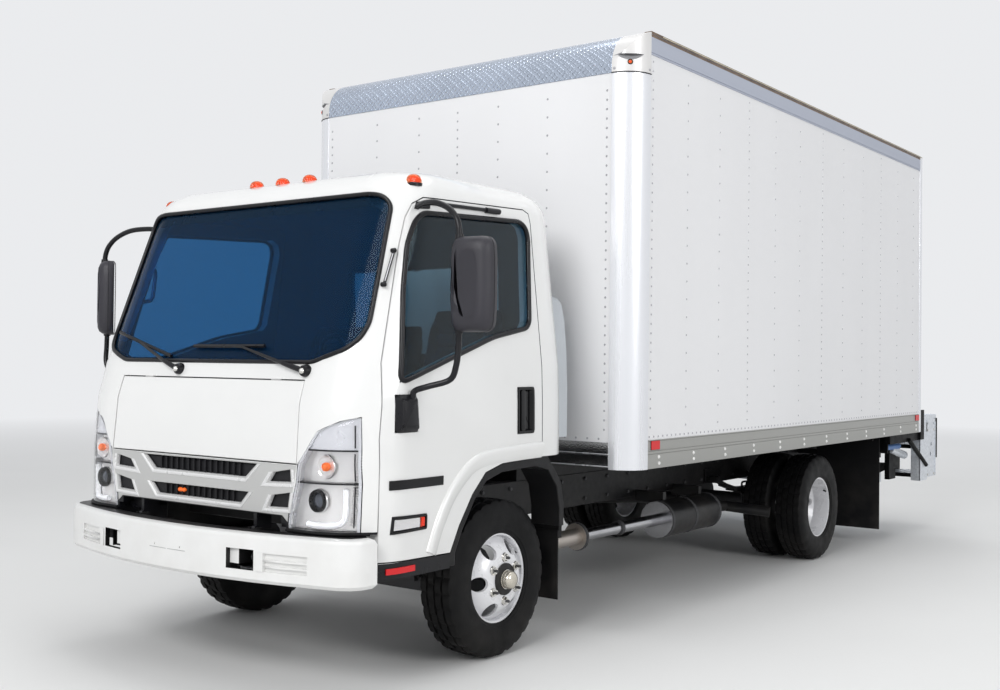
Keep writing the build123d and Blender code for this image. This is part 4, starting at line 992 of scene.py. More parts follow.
def node_copy(
    node: str,
    body: str,
    *finishes: Surface,
    bevel: float = 0.0,
    smooth: float = 28.0,
    cuts: tuple = (),
    choose: Chooser | None = None,
    cutter: Draft | None = None,
) -> bpy.types.Object:
    """A smoother copy of a solid that stands for it.

    Args:
        node: Name of the solid.
        body: Name of the body that carries it.
        finishes: Finishes of the copy.
        bevel: Width of its rounded edges in metres, or 0.
        smooth: Largest angle between faces that are shaded as one, in degrees.
        cuts: Planes to divide its faces at, as (point, normal).
        choose: Gives a finish's number for a face from its middle and normal.
        cutter: A form to take away from it.

    Returns:
        The finished object.
    """
    mesh = copied(node, cuts)
    if cutter is not None:
        mesh = carved(mesh, cutter)
    for polygon in mesh.polygons:
        polygon.material_index = choose(polygon.center, polygon.normal) if choose else 0
    copy = dress(mesh, f"{node}_skin", body, finishes, bevel, smooth)
    weigh = copy.modifiers.new("weighing", "WEIGHTED_NORMAL")
    weigh.keep_sharp = True
    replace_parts(copy, node)
    return copy


def paint_node(node: str, finish: Surface) -> None:
    """Gives one finish to a solid that is shown as it is.

    Args:
        node: The solid's name.
        finish: The finish.
    """
    mesh = FRAME["nodes"][node].data
    if not mesh.materials:
        mesh.materials.append(finish.material())
    for index in range(len(mesh.materials)):
        mesh.materials[index] = finish.material()


def rounded(points: list, radius: float, steps: int = 5) -> list[Flat]:
    """A closed outline whose corners are rounded.

    Args:
        points: The outline's corners.
        radius: Distance from each corner at which its turn begins.
        steps: Steps in each turn.

    Returns:
        Points along the rounded outline.
    """
    result = []
    for index, corner in enumerate(points):
        spot = Vector(corner)
        before = Vector(points[index - 1]) - spot
        after = Vector(points[(index + 1) % len(points)]) - spot
        reach = min(radius, before.length / 2, after.length / 2)
        start, end = spot + before.normalized() * reach, spot + after.normalized() * reach
        for step in range(steps + 1):
            t = step / steps
            result.append(tuple(start * (1 - t) ** 2 + spot * 2 * t * (1 - t) + end * t * t))
    return result


def divided(points: list, pitch: float) -> list[Flat]:
    """A closed outline with its long runs divided.

    Args:
        points: The outline's corners.
        pitch: Longest run to leave, about.

    Returns:
        Points along the outline.
    """
    result = []
    for index, point in enumerate(points):
        start, end = Vector(point), Vector(points[(index + 1) % len(points)])
        count = max(1, round((end - start).length / pitch))
        result.extend(tuple(start.lerp(end, step / count)) for step in range(count))
    return result


def shrunk(points: list, amount: float) -> list[Flat]:
    """An anticlockwise outline with each of its edges moved inwards.

    Args:
        points: The outline's corners.
        amount: How far each edge moves.

    Returns:
        The new corners.
    """
    moved = []
    for index, corner in enumerate(points):
        spot = Vector(corner)
        before = (spot - Vector(points[index - 1])).normalized()
        after = (Vector(points[(index + 1) % len(points)]) - spot).normalized()
        inward = Vector((-before.y - after.y, before.x + after.x))
        moved.append(tuple(spot + inward * amount / max(0.3, 1 + before.dot(after))))
    return moved


def eased(points: list, count: int) -> list:
    """An open line through points, with its turns eased.

    Args:
        points: Points that the line passes.
        count: Number of points in the result.

    Returns:
        Points along the eased line.
    """
    result = []
    last = len(points) - 1
    for step in range(count):
        place = step / (count - 1) * last
        index = min(int(place), last - 1)
        t = place - index
        a, b = Vector(points[max(index - 1, 0)]), Vector(points[index])
        c, d = Vector(points[index + 1]), Vector(points[min(index + 2, last)])
        curve = 2 * b + (c - a) * t + (2 * a - 5 * b + 4 * c - d) * t * t + (3 * b - a - 3 * c + d) * t**3
        result.append(tuple(0.5 * curve))
    return result


# Repeats


class Scatter:
    """Geometry nodes that set one small tapered form on every point of a mesh."""

    def __init__(self, name: str) -> None:
        """Builds the tree, with named inputs for the form's sizes and its finish.

        Args:
            name: The tree's name.
        """
        self.tree = bpy.data.node_groups.new(name, "GeometryNodeTree")
        self.socket("Places", "Geometry")
        kinds = {"Radius": "Float", "Top": "Float", "Height": "Float", "Sides": "Int", "Finish": "Material"}
        self.inputs = {label: self.socket(label, kind) for label, kind in kinds.items()}
        self.socket("Result", "Geometry", "OUTPUT")
        graph = Graph(self.tree)
        given = graph.node("NodeGroupInput").outputs
        sizes = {"Vertices": "Sides", "Radius Bottom": "Radius", "Radius Top": "Top", "Depth": "Height"}
        form = graph.node("GeometryNodeMeshCone", {label: given[size] for label, size in sizes.items()})
        facing = graph.node("GeometryNodeInputNamedAttribute", {"Name": "facing"}, data_type="FLOAT_VECTOR")
        turn = graph.node(
            "FunctionNodeAlignRotationToVector", {"Vector": facing.outputs["Attribute"]}, axis="Z",
        )
        placed = {
            "Points": given["Places"], "Instance": form.outputs["Mesh"], "Rotation": turn.outputs["Rotation"],
        }
        put = graph.node("GeometryNodeInstanceOnPoints", placed)
        real = graph.node("GeometryNodeRealizeInstances", {"Geometry": put.outputs["Instances"]})
        coated = {"Geometry": real.outputs["Geometry"], "Material": given["Finish"]}
        coat = graph.node("GeometryNodeSetMaterial", coated)
        graph.node("NodeGroupOutput", {"Result": coat.outputs["Geometry"]})

    def socket(self, label: str, kind: str, way: str = "INPUT") -> str:
        """Adds a named socket to the tree's interface.

        Args:
            label: The socket's name.
            kind: Its kind, as the end of its type's name.
            way: INPUT or OUTPUT.

        Returns:
            The socket's identifier.
        """
        made = self.tree.interface.new_socket(label, in_out=way, socket_type=f"NodeSocket{kind}")
        return made.identifier

    def piece(
        self, name: str, body: str, places: list, radius: float, height: float, finish: Surface,
        sides: int = 8, top: float = 0.6,
    ) -> bpy.types.Object:
        """Sets the form on every place.

        Args:
            name: The piece's name.
            body: Name of the body that carries it.
            places: Where each form stands and which way it faces.
            radius: The form's radius at its foot.
            height: The form's height.
            finish: Its finish.
            sides: Its number of sides.
            top: Its top's radius as a share of its foot's.

        Returns:
            The finished object.
        """
        mesh = bpy.data.meshes.new(f"{name}_places")
        mesh.from_pydata([spot for spot, _ in places], [], [])
        facing = mesh.attributes.new("facing", "FLOAT_VECTOR", "POINT")
        facing.data.foreach_set("vector", [part for _, way in places for part in way])
        holder = bpy.data.objects.new(f"{name}_places", mesh)
        bpy.context.scene.collection.objects.link(holder)
        grow = holder.modifiers.new("repeat", "NODES")
        grow.node_group = self.tree
        values = {
            "Radius": radius, "Top": radius * top, "Height": height, "Sides": sides,
            "Finish": finish.material(),
        }
        for label, value in values.items():
            grow[self.inputs[label]] = value
        depsgraph = bpy.context.evaluated_depsgraph_get()
        result = bpy.data.meshes.new_from_object(holder.evaluated_get(depsgraph))
        bpy.data.objects.remove(holder)
        result.name = name
        made = bpy.data.objects.new(name, result)
        bpy.context.scene.collection.objects.link(made)
        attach(made, body)
        return made


@cache
def studs() -> Scatter:
    """The one tree that sets rivets, bolts, nuts and teeth."""
    return Scatter("studs")


# The cab's form


@dataclass(frozen=True)
class CabForm:
    """The cab's outer surface, level by level, as its solid has it."""

    levels: tuple = (
        (0.500, 1.008, -1.092, 0.530, 0.300, 0.220),
        (1.000, 1.018, -1.092, 0.530, 0.300, 0.220),
        (1.250, 1.016, -1.072, 0.530, 0.300, 0.220),
        (1.420, 1.010, -1.020, 0.530, 0.285, 0.220),
        (2.180, 0.925, -0.748, 0.500, 0.220, 0.200),
        (2.225, 0.916, -0.725, 0.488, 0.215, 0.195),
        (2.268, 0.892, -0.686, 0.462, 0.210, 0.190),
        (2.305, 0.845, -0.620, 0.410, 0.205, 0.185),
        (2.328, 0.760, -0.500, 0.300, 0.200, 0.180),
        (2.336, 0.600, -0.300, 0.120, 0.190, 0.170),
    )

    def level(self, z: float) -> list[float]:
        """Half width, front, rear and corner radii at a height.

        Args:
            z: The height.

        Returns:
            The five sizes.
        """
        low, high = self.levels[0], self.levels[1]
        for low, high in zip(self.levels, self.levels[1:]):
            if z <= high[0]:
                break
        t = max(0.0, min(1.0, (z - low[0]) / (high[0] - low[0])))
        return [a + (b - a) * t for a, b in zip(low[1:], high[1:])]

    def side(self, y: float, z: float, out: float = 0.0, side: Side = Side.LEFT) -> Point:
        """A point on the cab's side.

        Args:
            y: Distance behind the front axle.
            z: Height.
            out: How far the point stands proud of the surface.
            side: The truck's side.

        Returns:
            The point.
        """
        half, front, rear, front_radius, rear_radius = self.level(z)
        centre = front + front_radius
        if y >= centre:
            over = max(0.0, y - rear + rear_radius)
            x = half - rear_radius + math.sqrt(max(0.0, rear_radius**2 - over**2))
            return (side * (x + out), aft(y), z)
        turn = math.asin(min(centre - y, front_radius * 0.999) / front_radius)
        x = half - front_radius + (front_radius + out) * math.cos(turn)
        return (side * x, aft(centre - (front_radius + out) * math.sin(turn)), z)

    def front(self, x: float, z: float, out: float = 0.0) -> Point:
        """A point on the cab's front.

        Args:
            x: Distance from the middle.
            z: Height.
            out: How far the point stands proud of the surface.

        Returns:
            The point.
        """
        half, front, _, radius, _ = self.level(z)
        straight = half - radius
        if abs(x) <= straight:
            return (x, aft(front - out), z)
        turn = math.asin(min(abs(x) - straight, radius * 0.999) / radius)
        reach = straight + (radius + out) * math.sin(turn)
        return (math.copysign(reach, x), aft(front + radius - (radius + out) * math.cos(turn)), z)

    def depth(self, spot: Vector) -> float:
        """How deep a spot lies inside the cab's outline at its height.

        Args:
            spot: The spot.

        Returns:
            The distance, less than nothing outside.
        """
        half, front, rear, front_radius, rear_radius = self.level(spot.z)
        behind = spot.y - FRONT_AXLE_Y
        ahead = behind < (front + rear) / 2
        radius = front_radius if ahead else rear_radius
        beside = abs(spot.x) - half + radius
        beyond = front + radius - behind if ahead else behind - rear + radius
        if beside > 0 and beyond > 0:
            return radius - math.hypot(beside, beyond)
        return radius - max(beside, beyond)


CAB = CabForm()


@dataclass
class CabShell:
    """The painted cab with its lid, doors, glass, seals and trim."""

    sill_top: float = 0.578
    lamp_foot: float = 0.716
    grille_foot: float = 0.800
    grille_half: float = 0.648
    windscreen: tuple = (
        (-0.662, 1.430), (0.662, 1.430), (0.815, 1.484), (0.866, 1.528), (0.886, 1.600), (0.866, 1.850),
        (0.842, 2.136), (0.800, 2.180), (0.730, 2.190), (-0.730, 2.190), (-0.800, 2.180), (-0.842, 2.136),
        (-0.866, 1.850), (-0.886, 1.600), (-0.866, 1.528), (-0.815, 1.484),
    )
    door_window: tuple = (
        (-0.830, 1.345), (-0.755, 1.750), (-0.701, 1.962), (-0.645, 2.070), (-0.600, 2.106), (0.131, 2.140),
        (0.180, 2.115), (0.196, 2.067), (0.150, 1.641), (0.121, 1.607), (-0.153, 1.558), (-0.539, 1.438),
    )
    crease: tuple = (
        (-0.653, 0.604), (-0.605, 0.717), (-0.522, 0.851), (-0.416, 0.953), (-0.324, 1.005), (-0.207, 1.029),
        (0.0, 1.040), (0.225, 1.045),
    )
    # across the lip, away from its outer edge, and how far it stands proud
    lip_section: tuple = (
        (0.0, -0.004), (0.002, 0.005), (0.008, 0.013), (0.017, 0.0160), (0.030, 0.0145), (0.050, 0.0080),
        (0.072, 0.0022), (0.080, -0.004),
    )

    def shell_finish(self, spot: Vector, normal: Vector) -> int:
        """Number of the finish of a face of the shell.

        Args:
            spot: The face's middle.
            normal: The face's direction.

        Returns:
            0 for paint, 1 for black, which under the grille is painted shade of the opening there, 2 for
            cabin trim.
        """
        behind = spot.y - FRONT_AXLE_Y
        depth = CAB.depth(spot)
        if depth > 0.03 and spot.z > 0.9 and not (spot.z > 2.15 and normal.z > 0.1):
            return 2
        low_front = behind < -0.93 and spot.z < self.lamp_foot
        sill = abs(spot.x) > 0.7 and spot.z < self.sill_top and behind < 0.3
        # painted shade: the skin under the grille is black as the shade of the opening behind it
        hollow_painted_shade = spot.z < self.grille_foot and abs(spot.x) < self.grille_half
        under = normal.z < -0.4 and spot.z < 1.0
        inside = depth > 0.02 and spot.z < 0.98
        return 1 if low_front or sill or hollow_painted_shade or under or inside else 0

    def panels(self) -> None:
        """Paints the shell, lid, doors and flares, with rounded edges at their shut lines."""
        cuts = tuple(((0, 0, z), (0, 0, 1)) for z in (self.sill_top, self.lamp_foot, self.grille_foot))
        cuts += tuple(((side * self.grille_half, 0, 0), (1, 0, 0)) for side in Side)
        node_copy(
            "cab_shell", "cab", CAB_WHITE, TRIM_BLACK, CABIN_PALE, bevel=0.0022, cuts=cuts,
            choose=self.shell_finish
        )
        node_copy("front_lid", "front_lid", CAB_WHITE, bevel=0.003)
        for side in Side:
            node_copy(
                f"door_{side.label}", f"door_{side.label}", CAB_WHITE, CABIN_PALE, bevel=0.0022,
                choose=lambda spot, normal, side=side: int(normal.x * side < -0.6),
            )
        node_copy("wheel_arch_flares", "cab", FLARE_BLACK, bevel=0.004)

    def glass(self) -> None:
        """Tints the windows."""
        node_copy(
            "cab_glass", "cab", CAB_TINT, REAR_TINT, choose=lambda spot, normal: int(spot.y > FRONT_AXLE_Y),
        )
        for side in Side:
            node_copy(f"door_glass_{side.label}", f"door_{side.label}", SIDE_TINT)

    def windscreen_band(self) -> None:
        """Lays the seal round the windscreen and the black band behind its edge."""
        outline = divided(rounded(list(self.windscreen), 0.03), 0.05)
        seal = Draft("windscreen_seal", TRIM_BLACK)
        seal.tube([CAB.front(x, z) for x, z in outline], 0.0105, 8, closed=True)
        seal.piece("cab", smooth=60)
        band = Draft("windscreen_band", TRIM_BLACK)
        rings = []
        for depth, inset in ((-0.0165, -0.006), (-0.0165, 0.014), (-0.0175, 0.014), (-0.0175, -0.006)):
            ring = []
            for x, z in shrunk(outline, inset):
                drop = 0.045 * max(0.0, min(1.0, (z - 2.08) / 0.07)) if inset > 0 else 0.0
                ring.append(CAB.front(x, z - drop, depth))
            rings.append(ring)
        band.loops(rings, closed=True)
        band.piece("cab", smooth=60)

    def band(self, side: Side, span: Flat, heights: Flat, out: float) -> list:
        """Sections of a flat strip that follows the cab's side.

        Args:
            side: The truck's side.
            span: Its ends, as distances behind the front axle.
            heights: Its lower and upper edge.
            out: How far it stands proud.

        Returns:
            The sections, front to rear.
        """
        rings = []
        for step in range(13):
            y = span[0] + (span[1] - span[0]) * step / 12
            corners = ((heights[0], -0.003), (heights[1], -0.003), (heights[1], out), (heights[0], out))
            rings.append([CAB.side(y, z, depth, side) for z, depth in corners])
        return rings

    def door_trim(self, side: Side) -> None:
        """Adds one door's window seal, arch crease, blank strip and rain bar.

        Args:
            side: The truck's side.
        """
        body = f"door_{side.label}"
        window = divided(rounded(list(self.door_window), 0.05), 0.05)
        gasket = Draft(f"door_window_seal_{side.label}", TRIM_BLACK)
        gasket.tube([CAB.side(y, z, 0.0, side) for y, z in window], 0.0125, 8, closed=True)
        gasket.piece(body, smooth=60)
        self.arch_lip(side)
        strip = Draft(f"blank_strip_{side.label}", GLOSS_BLACK)
        strip.loops(self.band(side, (-0.887, -0.547), (0.889, 0.930), 0.0040))
        strip.piece(body, 0.0008)
        bar = Draft(f"rain_bar_{side.label}", TRIM_BLACK)
        run = [(-0.60, 2.148), (-0.55, 2.155), (-0.30, 2.163), (-0.145, 2.168)]
        bar.tube([CAB.side(y, z, 0.008, side) for y, z in run], 0.009, 8)
        end = [(-0.150, 2.166), (-0.145, 2.166), (-0.050, 2.169), (-0.045, 2.169)]
        bar.tube([CAB.side(y, z, 0.010, side) for y, z in end], 0.014, 12)
        bar.piece(body, smooth=60)

    def arch_lip(self, side: Side) -> None:
        """Raises the pressed lip that follows the wheel arch on one door.

        Args:
            side: The truck's side.
        """
        lip = Draft(f"arch_lip_{side.label}", CAB_WHITE)
        line = eased(list(self.crease), 34)
        rings = []
        for index, (y, z) in enumerate(line):
            (from_y, from_z), (to_y, to_z) = line[max(index - 1, 0)], line[min(index + 1, len(line) - 1)]
            length = math.hypot(to_y - from_y, to_z - from_z)
            inward_y, inward_z = (to_z - from_z) / length, -(to_y - from_y) / length
            rings.append(
                [
                    CAB.side(y + inward_y * wide, z + inward_z * wide, out, side)
                    for wide, out in self.lip_section
                ]
            )
        lip.loops(rings)
        lip.piece(f"door_{side.label}", smooth=70)

    def sill_reflector(self, side: Side) -> None:
        """Sets the red reflector on the black sill under one door, with a painted glow.

        Args:
            side: The truck's side.
        """
        lens = Draft(f"sill_reflector_{side.label}", RED_PAINTED_GLOW)
        lens.loops(self.band(side, (-0.893, -0.727), (0.530, 0.556), 0.005))
        lens.piece("cab", 0.0012)

    def aerial(self) -> None:
        """Stands the folded aerial on the driver's pillar."""
        mast = Draft("aerial", TRIM_BLACK, RIVET_GREY)
        top, foot = Vector(CAB.side(-0.757, 1.925, 0.014)), Vector(CAB.side(-0.820, 1.772, 0.014))
        mast.tube([top, foot], 0.007, 8)
        mast.tube(
            [
                top.lerp(foot, 0.10) + Vector((0.004, -0.006, 0)),
                top.lerp(foot, 0.90) + Vector((0.004, -0.006, 0)),
            ],
            0.0030, 6, slot=1,
        )
        for spot in (top, foot):
            mast.turned(spot, Axis.X, [(-0.014, 0.010), (0.006, 0.011), (0.010, 0.007)], 12)
        mast.piece("cab", smooth=50)

    def air_duct(self) -> None:
        """Stands the intake duct against the cab's back, behind the driver's corner; its white is painted
        grey as shade.
        """
        duct = Draft("air_duct", DUCT_PAINTED_SHADE)
        outline = (
            (0.640, 1.046), (0.905, 1.046), (0.905, 1.300), (0.897, 1.500), (0.882, 1.660), (0.862, 1.752),
            (0.835, 1.783),
            (0.790, 1.796), (0.640, 1.796),
        )
        duct.loops(
            [
                [(x, aft(y), z) for x, z in shrunk(list(outline), inset)]
                for y, inset in ((0.524, 0.004), (0.532, 0.0), (0.618, 0.0), (0.625, 0.007))
            ]
        )
        duct.piece("cab", smooth=35)

    def build(self) -> None:
        """Builds and dresses the whole cab shell."""
        self.air_duct()
        self.panels()
        self.glass()
        self.windscreen_band()
        for side in Side:
            self.door_trim(side)
            self.sill_reflector(side)
        self.aerial()


@dataclass
class Grille:
    """The satin grille with raised bevels round its slots, painted lighter as a highlight, and the black
    ribbed screen behind.
    """

    # outwards from the slot's edge, and how far it stands proud
    rim_section: tuple = (
        (-0.003, -0.014), (-0.001, -0.004), (0.012, 0.0045), (0.019, 0.0030), (0.022, -0.002),
    )
    slots: tuple = (
        ((-0.400, 0.980), (-0.323, 0.915), (0.323, 0.915), (0.400, 0.980)),
        ((-0.347, 0.852), (-0.295, 0.798), (0.295, 0.798), (0.347, 0.852)),
        ((0.505, 0.950), (0.470, 0.905), (0.618, 0.912), (0.612, 0.968)),
        ((0.500, 0.850), (0.470, 0.795), (0.600, 0.800), (0.612, 0.868)),
    )

    def bevels(self) -> None:
        """Frames the lower and side edges of each slot with a raised rim, painted lighter as a highlight."""
        frame = Draft("grille_bevels", GRILLE_PAINTED_HIGHLIGHT)
        for mirror in Side:
            for slot in self.slots if mirror > 0 else self.slots[2:]:
                corners = [(mirror * x, z) for x, z in slot]
                corners = corners if mirror > 0 else corners[::-1]
                rings = [[], [], [], []]
                for inset, out in self.rim_section:
                    moved = shrunk(corners, -inset)
                    for index, corner in enumerate(moved):
                        if index in (0, 3):
                            # The ends stop at the height of the slot's upper corners
                            foot = Vector(moved[1 if index == 0 else 2])
                            share = (corners[index][1] + 0.001 - foot.y) / (corner[1] - foot.y)
                            corner = tuple(foot.lerp(Vector(corner), share))
                        rings[index].append(CAB.front(*corner, out))
                frame.loops(rings)
        frame.piece("cab", smooth=20)

    def screen_detail(self) -> None:
        """Adds the small amber connector that shows through the lower slot, with a painted glow."""
        plug = Draft("horn_plug", AMBER_PAINTED_GLOW)
        plug.turned(
            CAB.front(-0.128, 0.826, -0.016), Axis.X,
            [(-0.026, 0.006), (-0.022, 0.010), (0.014, 0.010), (0.026, 0.005)], 12,
        )
        plug.piece("cab", smooth=50)

    def build(self) -> None:
        """Builds and dresses the grille."""
        node_copy("grille", "cab", GRILLE_SATIN, bevel=0.002)
        paint_node("grille_screen", MOULDED_BLACK)
        self.bevels()
        self.screen_detail()


@dataclass
class Headlamps:
    """Three-stage lamps that wrap the cab's front corners."""

    left_edge: tuple = (
        (0.716, 0.606), (0.760, 0.606), (0.914, 0.648), (0.994, 0.656), (1.052, 0.700), (1.137, 0.755),
        (1.184, 0.858), (1.202, 0.930),
    )
    right_edge: tuple = ((0.716, 0.936), (0.920, 0.942), (1.062, 0.938), (1.202, 0.930))
    dividers: tuple = (0.918, 1.058)
    lens_thickness: float = 0.003
    turn_lamp: Flat = (0.800, 0.988)
    projector: Flat = (0.760, 0.842)
    # distance behind the part's place, radius
    bowl: tuple = (
        (-0.003, 0.052), (-0.008, 0.052), (-0.012, 0.04992), (0.002, 0.0312), (0.008, 0.012), (0.008, 0.001),
    )
    bulb: tuple = ((0.012, 0.014), (0.0, 0.019), (-0.012, 0.018), (-0.019, 0.011), (-0.022, 0.001))
    shroud: tuple = ((0.0, 0.049), (-0.018, 0.048), (-0.022, 0.040), (-0.010, 0.033), (0.0, 0.032))
    eye: tuple = ((0.0, 0.032), (-0.006, 0.031), (-0.011, 0.022), (-0.014, 0.010), (-0.015, 0.001))
    # distance from the middle, height
    guide: tuple = (
        (0.705, 0.742), (0.760, 0.738), (0.850, 0.742), (0.880, 0.762), (0.888, 0.800), (0.890, 0.895),
    )

    def edge(self, z: float, table: tuple) -> float:
        """Where an edge of the lamp is at a height.

        Args:
            z: The height.
            table: The edge's (height, distance) pairs.

        Returns:
            Its distance from the middle.
        """
        for (low_z, low_x), (high_z, high_x) in zip(table, table[1:]):
            if z <= high_z:
                break
        t = max(0.0, min(1.0, (z - low_z) / (high_z - low_z)))
        return low_x + (high_x - low_x) * t

    def sheet(
        self, side: Side, low: float, high: float, out: float, inset: float = 0.0, rows: int = 10,
    ) -> list:
        """Rows of points over the lamp's face between two heights.

        Args:
            side: The truck's side.
            low: Lowest height.
            high: Highest height.
            out: How far the sheet stands proud of the cab's skin.
            inset: How far it keeps from the lamp's edges.
            rows: Number of steps up it.

        Returns:
            The rows of points.
        """
        sheet = []
        for row in range(rows + 1):
            z = low + (high - low) * row / rows
            left = self.edge(z, self.left_edge) + inset
            right = max(left + 0.001, self.edge(z, self.right_edge) - inset)
            sheet.append(
                [CAB.front(side * (left + (right - left) * step / 12), z, out) for step in range(13)]
            )
        return sheet

    def slab(
        self, draft: Draft, side: Side, low: float, high: float, outs: Flat, inset: float, slot: int,
    ) -> None:
        """Adds a closed slab that follows the lamp's face.

        Args:
            draft: The draft to add to.
            side: The truck's side.
            low: Lowest height.
            high: Highest height.
            outs: How far its outer and inner faces stand proud of the cab's skin.
            inset: How far it keeps from the lamp's edges.
            slot: Number of the finish.
        """
        outer, inner = (self.sheet(side, low, high, out, inset) for out in outs)
        rings = [front + back[::-1] for front, back in zip(outer, inner)]
        draft.loops(rings, slot)

    def housing(self, side: Side, draft: Draft) -> None:
        """Adds the reflectors, their dividers and the rim.

        Args:
            side: The truck's side.
            draft: The draft to add to.
        """
        low, high = 0.717, 1.200
        self.slab(draft, side, low, self.dividers[1], (-0.040, -0.044), 0.001, 0)
        self.slab(draft, side, self.dividers[1], high - 0.004, (-0.012, -0.040), 0.002, 1)
        for z in self.dividers:
            self.slab(draft, side, z - 0.0035, z + 0.0035, (-0.0045, -0.040), 0.002, 4)
        for table, way in ((self.left_edge, 1), (self.right_edge, -1)):
            rings = []
            for step in range(17):
                z = low + (high - 0.004 - low) * step / 16
                x = self.edge(z, table) + way * 0.001
                rings.append(
                    [
                        CAB.front(side * (x + way * width), z, out)
                        for width, out in ((0, -0.004), (0.009, -0.004), (0.006, -0.044), (0, -0.044))
                    ]
                )
            draft.loops(rings, 1)

    def outlines(self, side: Side, draft: Draft) -> None:
        """Draws the dark line inside the outer edge of each stage.

        Args:
            side: The truck's side.
            draft: The draft to add to.
        """
        for low, high in ((0.735, 0.905), (0.932, 1.046), (1.070, 1.165)):
            heights = [low + (high - low) * step / 8 for step in range(9)]
            line = [CAB.front(side * (self.edge(z, self.right_edge) - 0.020), z, -0.006) for z in heights]
            draft.tube(line, 0.0032, 6, 4)
        heights = [0.735 + 0.30 * step / 12 for step in range(13)]
        line = [CAB.front(side * (self.edge(z, self.left_edge) + 0.018), z, -0.006) for z in heights]
        draft.tube(line, 0.0030, 6, 2)

    def bulbs(self, side: Side, draft: Draft) -> None:
        """Adds the turn lamp's bowl, the projector and the light guide.

        Args:
            side: The truck's side.
            draft: The draft to add to.
        """
        for x, z in (self.turn_lamp, self.projector):
            draft.turned(CAB.front(side * x, z, -0.041), Axis.Y, self.bowl, 28, 0)
        x, z = self.turn_lamp
        draft.turned(CAB.front(side * x, z, -0.030), Axis.Y, self.bulb, 18, 3)
        x, z = self.projector
        place = CAB.front(side * x, z, -0.036)
        draft.turned(place, Axis.Y, self.shroud, 32, 7, closed=True)
        draft.turned(place, Axis.Y, self.eye, 28, 8)
        path = [CAB.front(side * x, z, -0.022) for x, z in eased(list(self.guide), 26)]
        draft.tube(path, 0.013, 8, 6)
        for index in range(25):
            x, z = side * (0.912 + 0.001 * index), 0.745 + index * 0.012
            rib = [CAB.front(x - side * 0.010, z, -0.030), CAB.front(x + side * 0.012, z, -0.028)]
            draft.tube(rib, 0.003, 5, 0)

    def lens(self, side: Side, draft: Draft) -> None:
        """Adds the clear cover and the ribs along its top.

        Args:
            side: The truck's side.
            draft: The draft to add to.
        """
        self.slab(draft, side, 0.717, 1.200, (0.0, -self.lens_thickness), 0.0005, 0)
        for index in range(14):
            x = 0.845 + index * 0.006
            z = 1.168 + index * 0.0018
            draft.tube([CAB.front(side * x, z, -0.004), CAB.front(side * x, z + 0.016, -0.004)], 0.0018, 5, 0)

    def build(self) -> None:
        """Builds both lamps."""
        inner = Draft(
            "headlamp_units", LAMP_BOWL, LAMP_PANEL, BRIGHT_CHROME, AMBER_PAINTED_GLOW, TRIM_BLACK, CLEAR_LENS,
            LIGHT_GUIDE, GLOSS_BLACK, LENS_DARK,
        )
        cover = Draft("headlamp_lenses", CLEAR_LENS)
        for side in Side:
            self.housing(side, inner)
            self.bulbs(side, inner)
            self.outlines(side, inner)
            self.lens(side, cover)
        inner.piece("cab", smooth=40)
        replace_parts(cover.piece("cab", smooth=30), "headlamps")


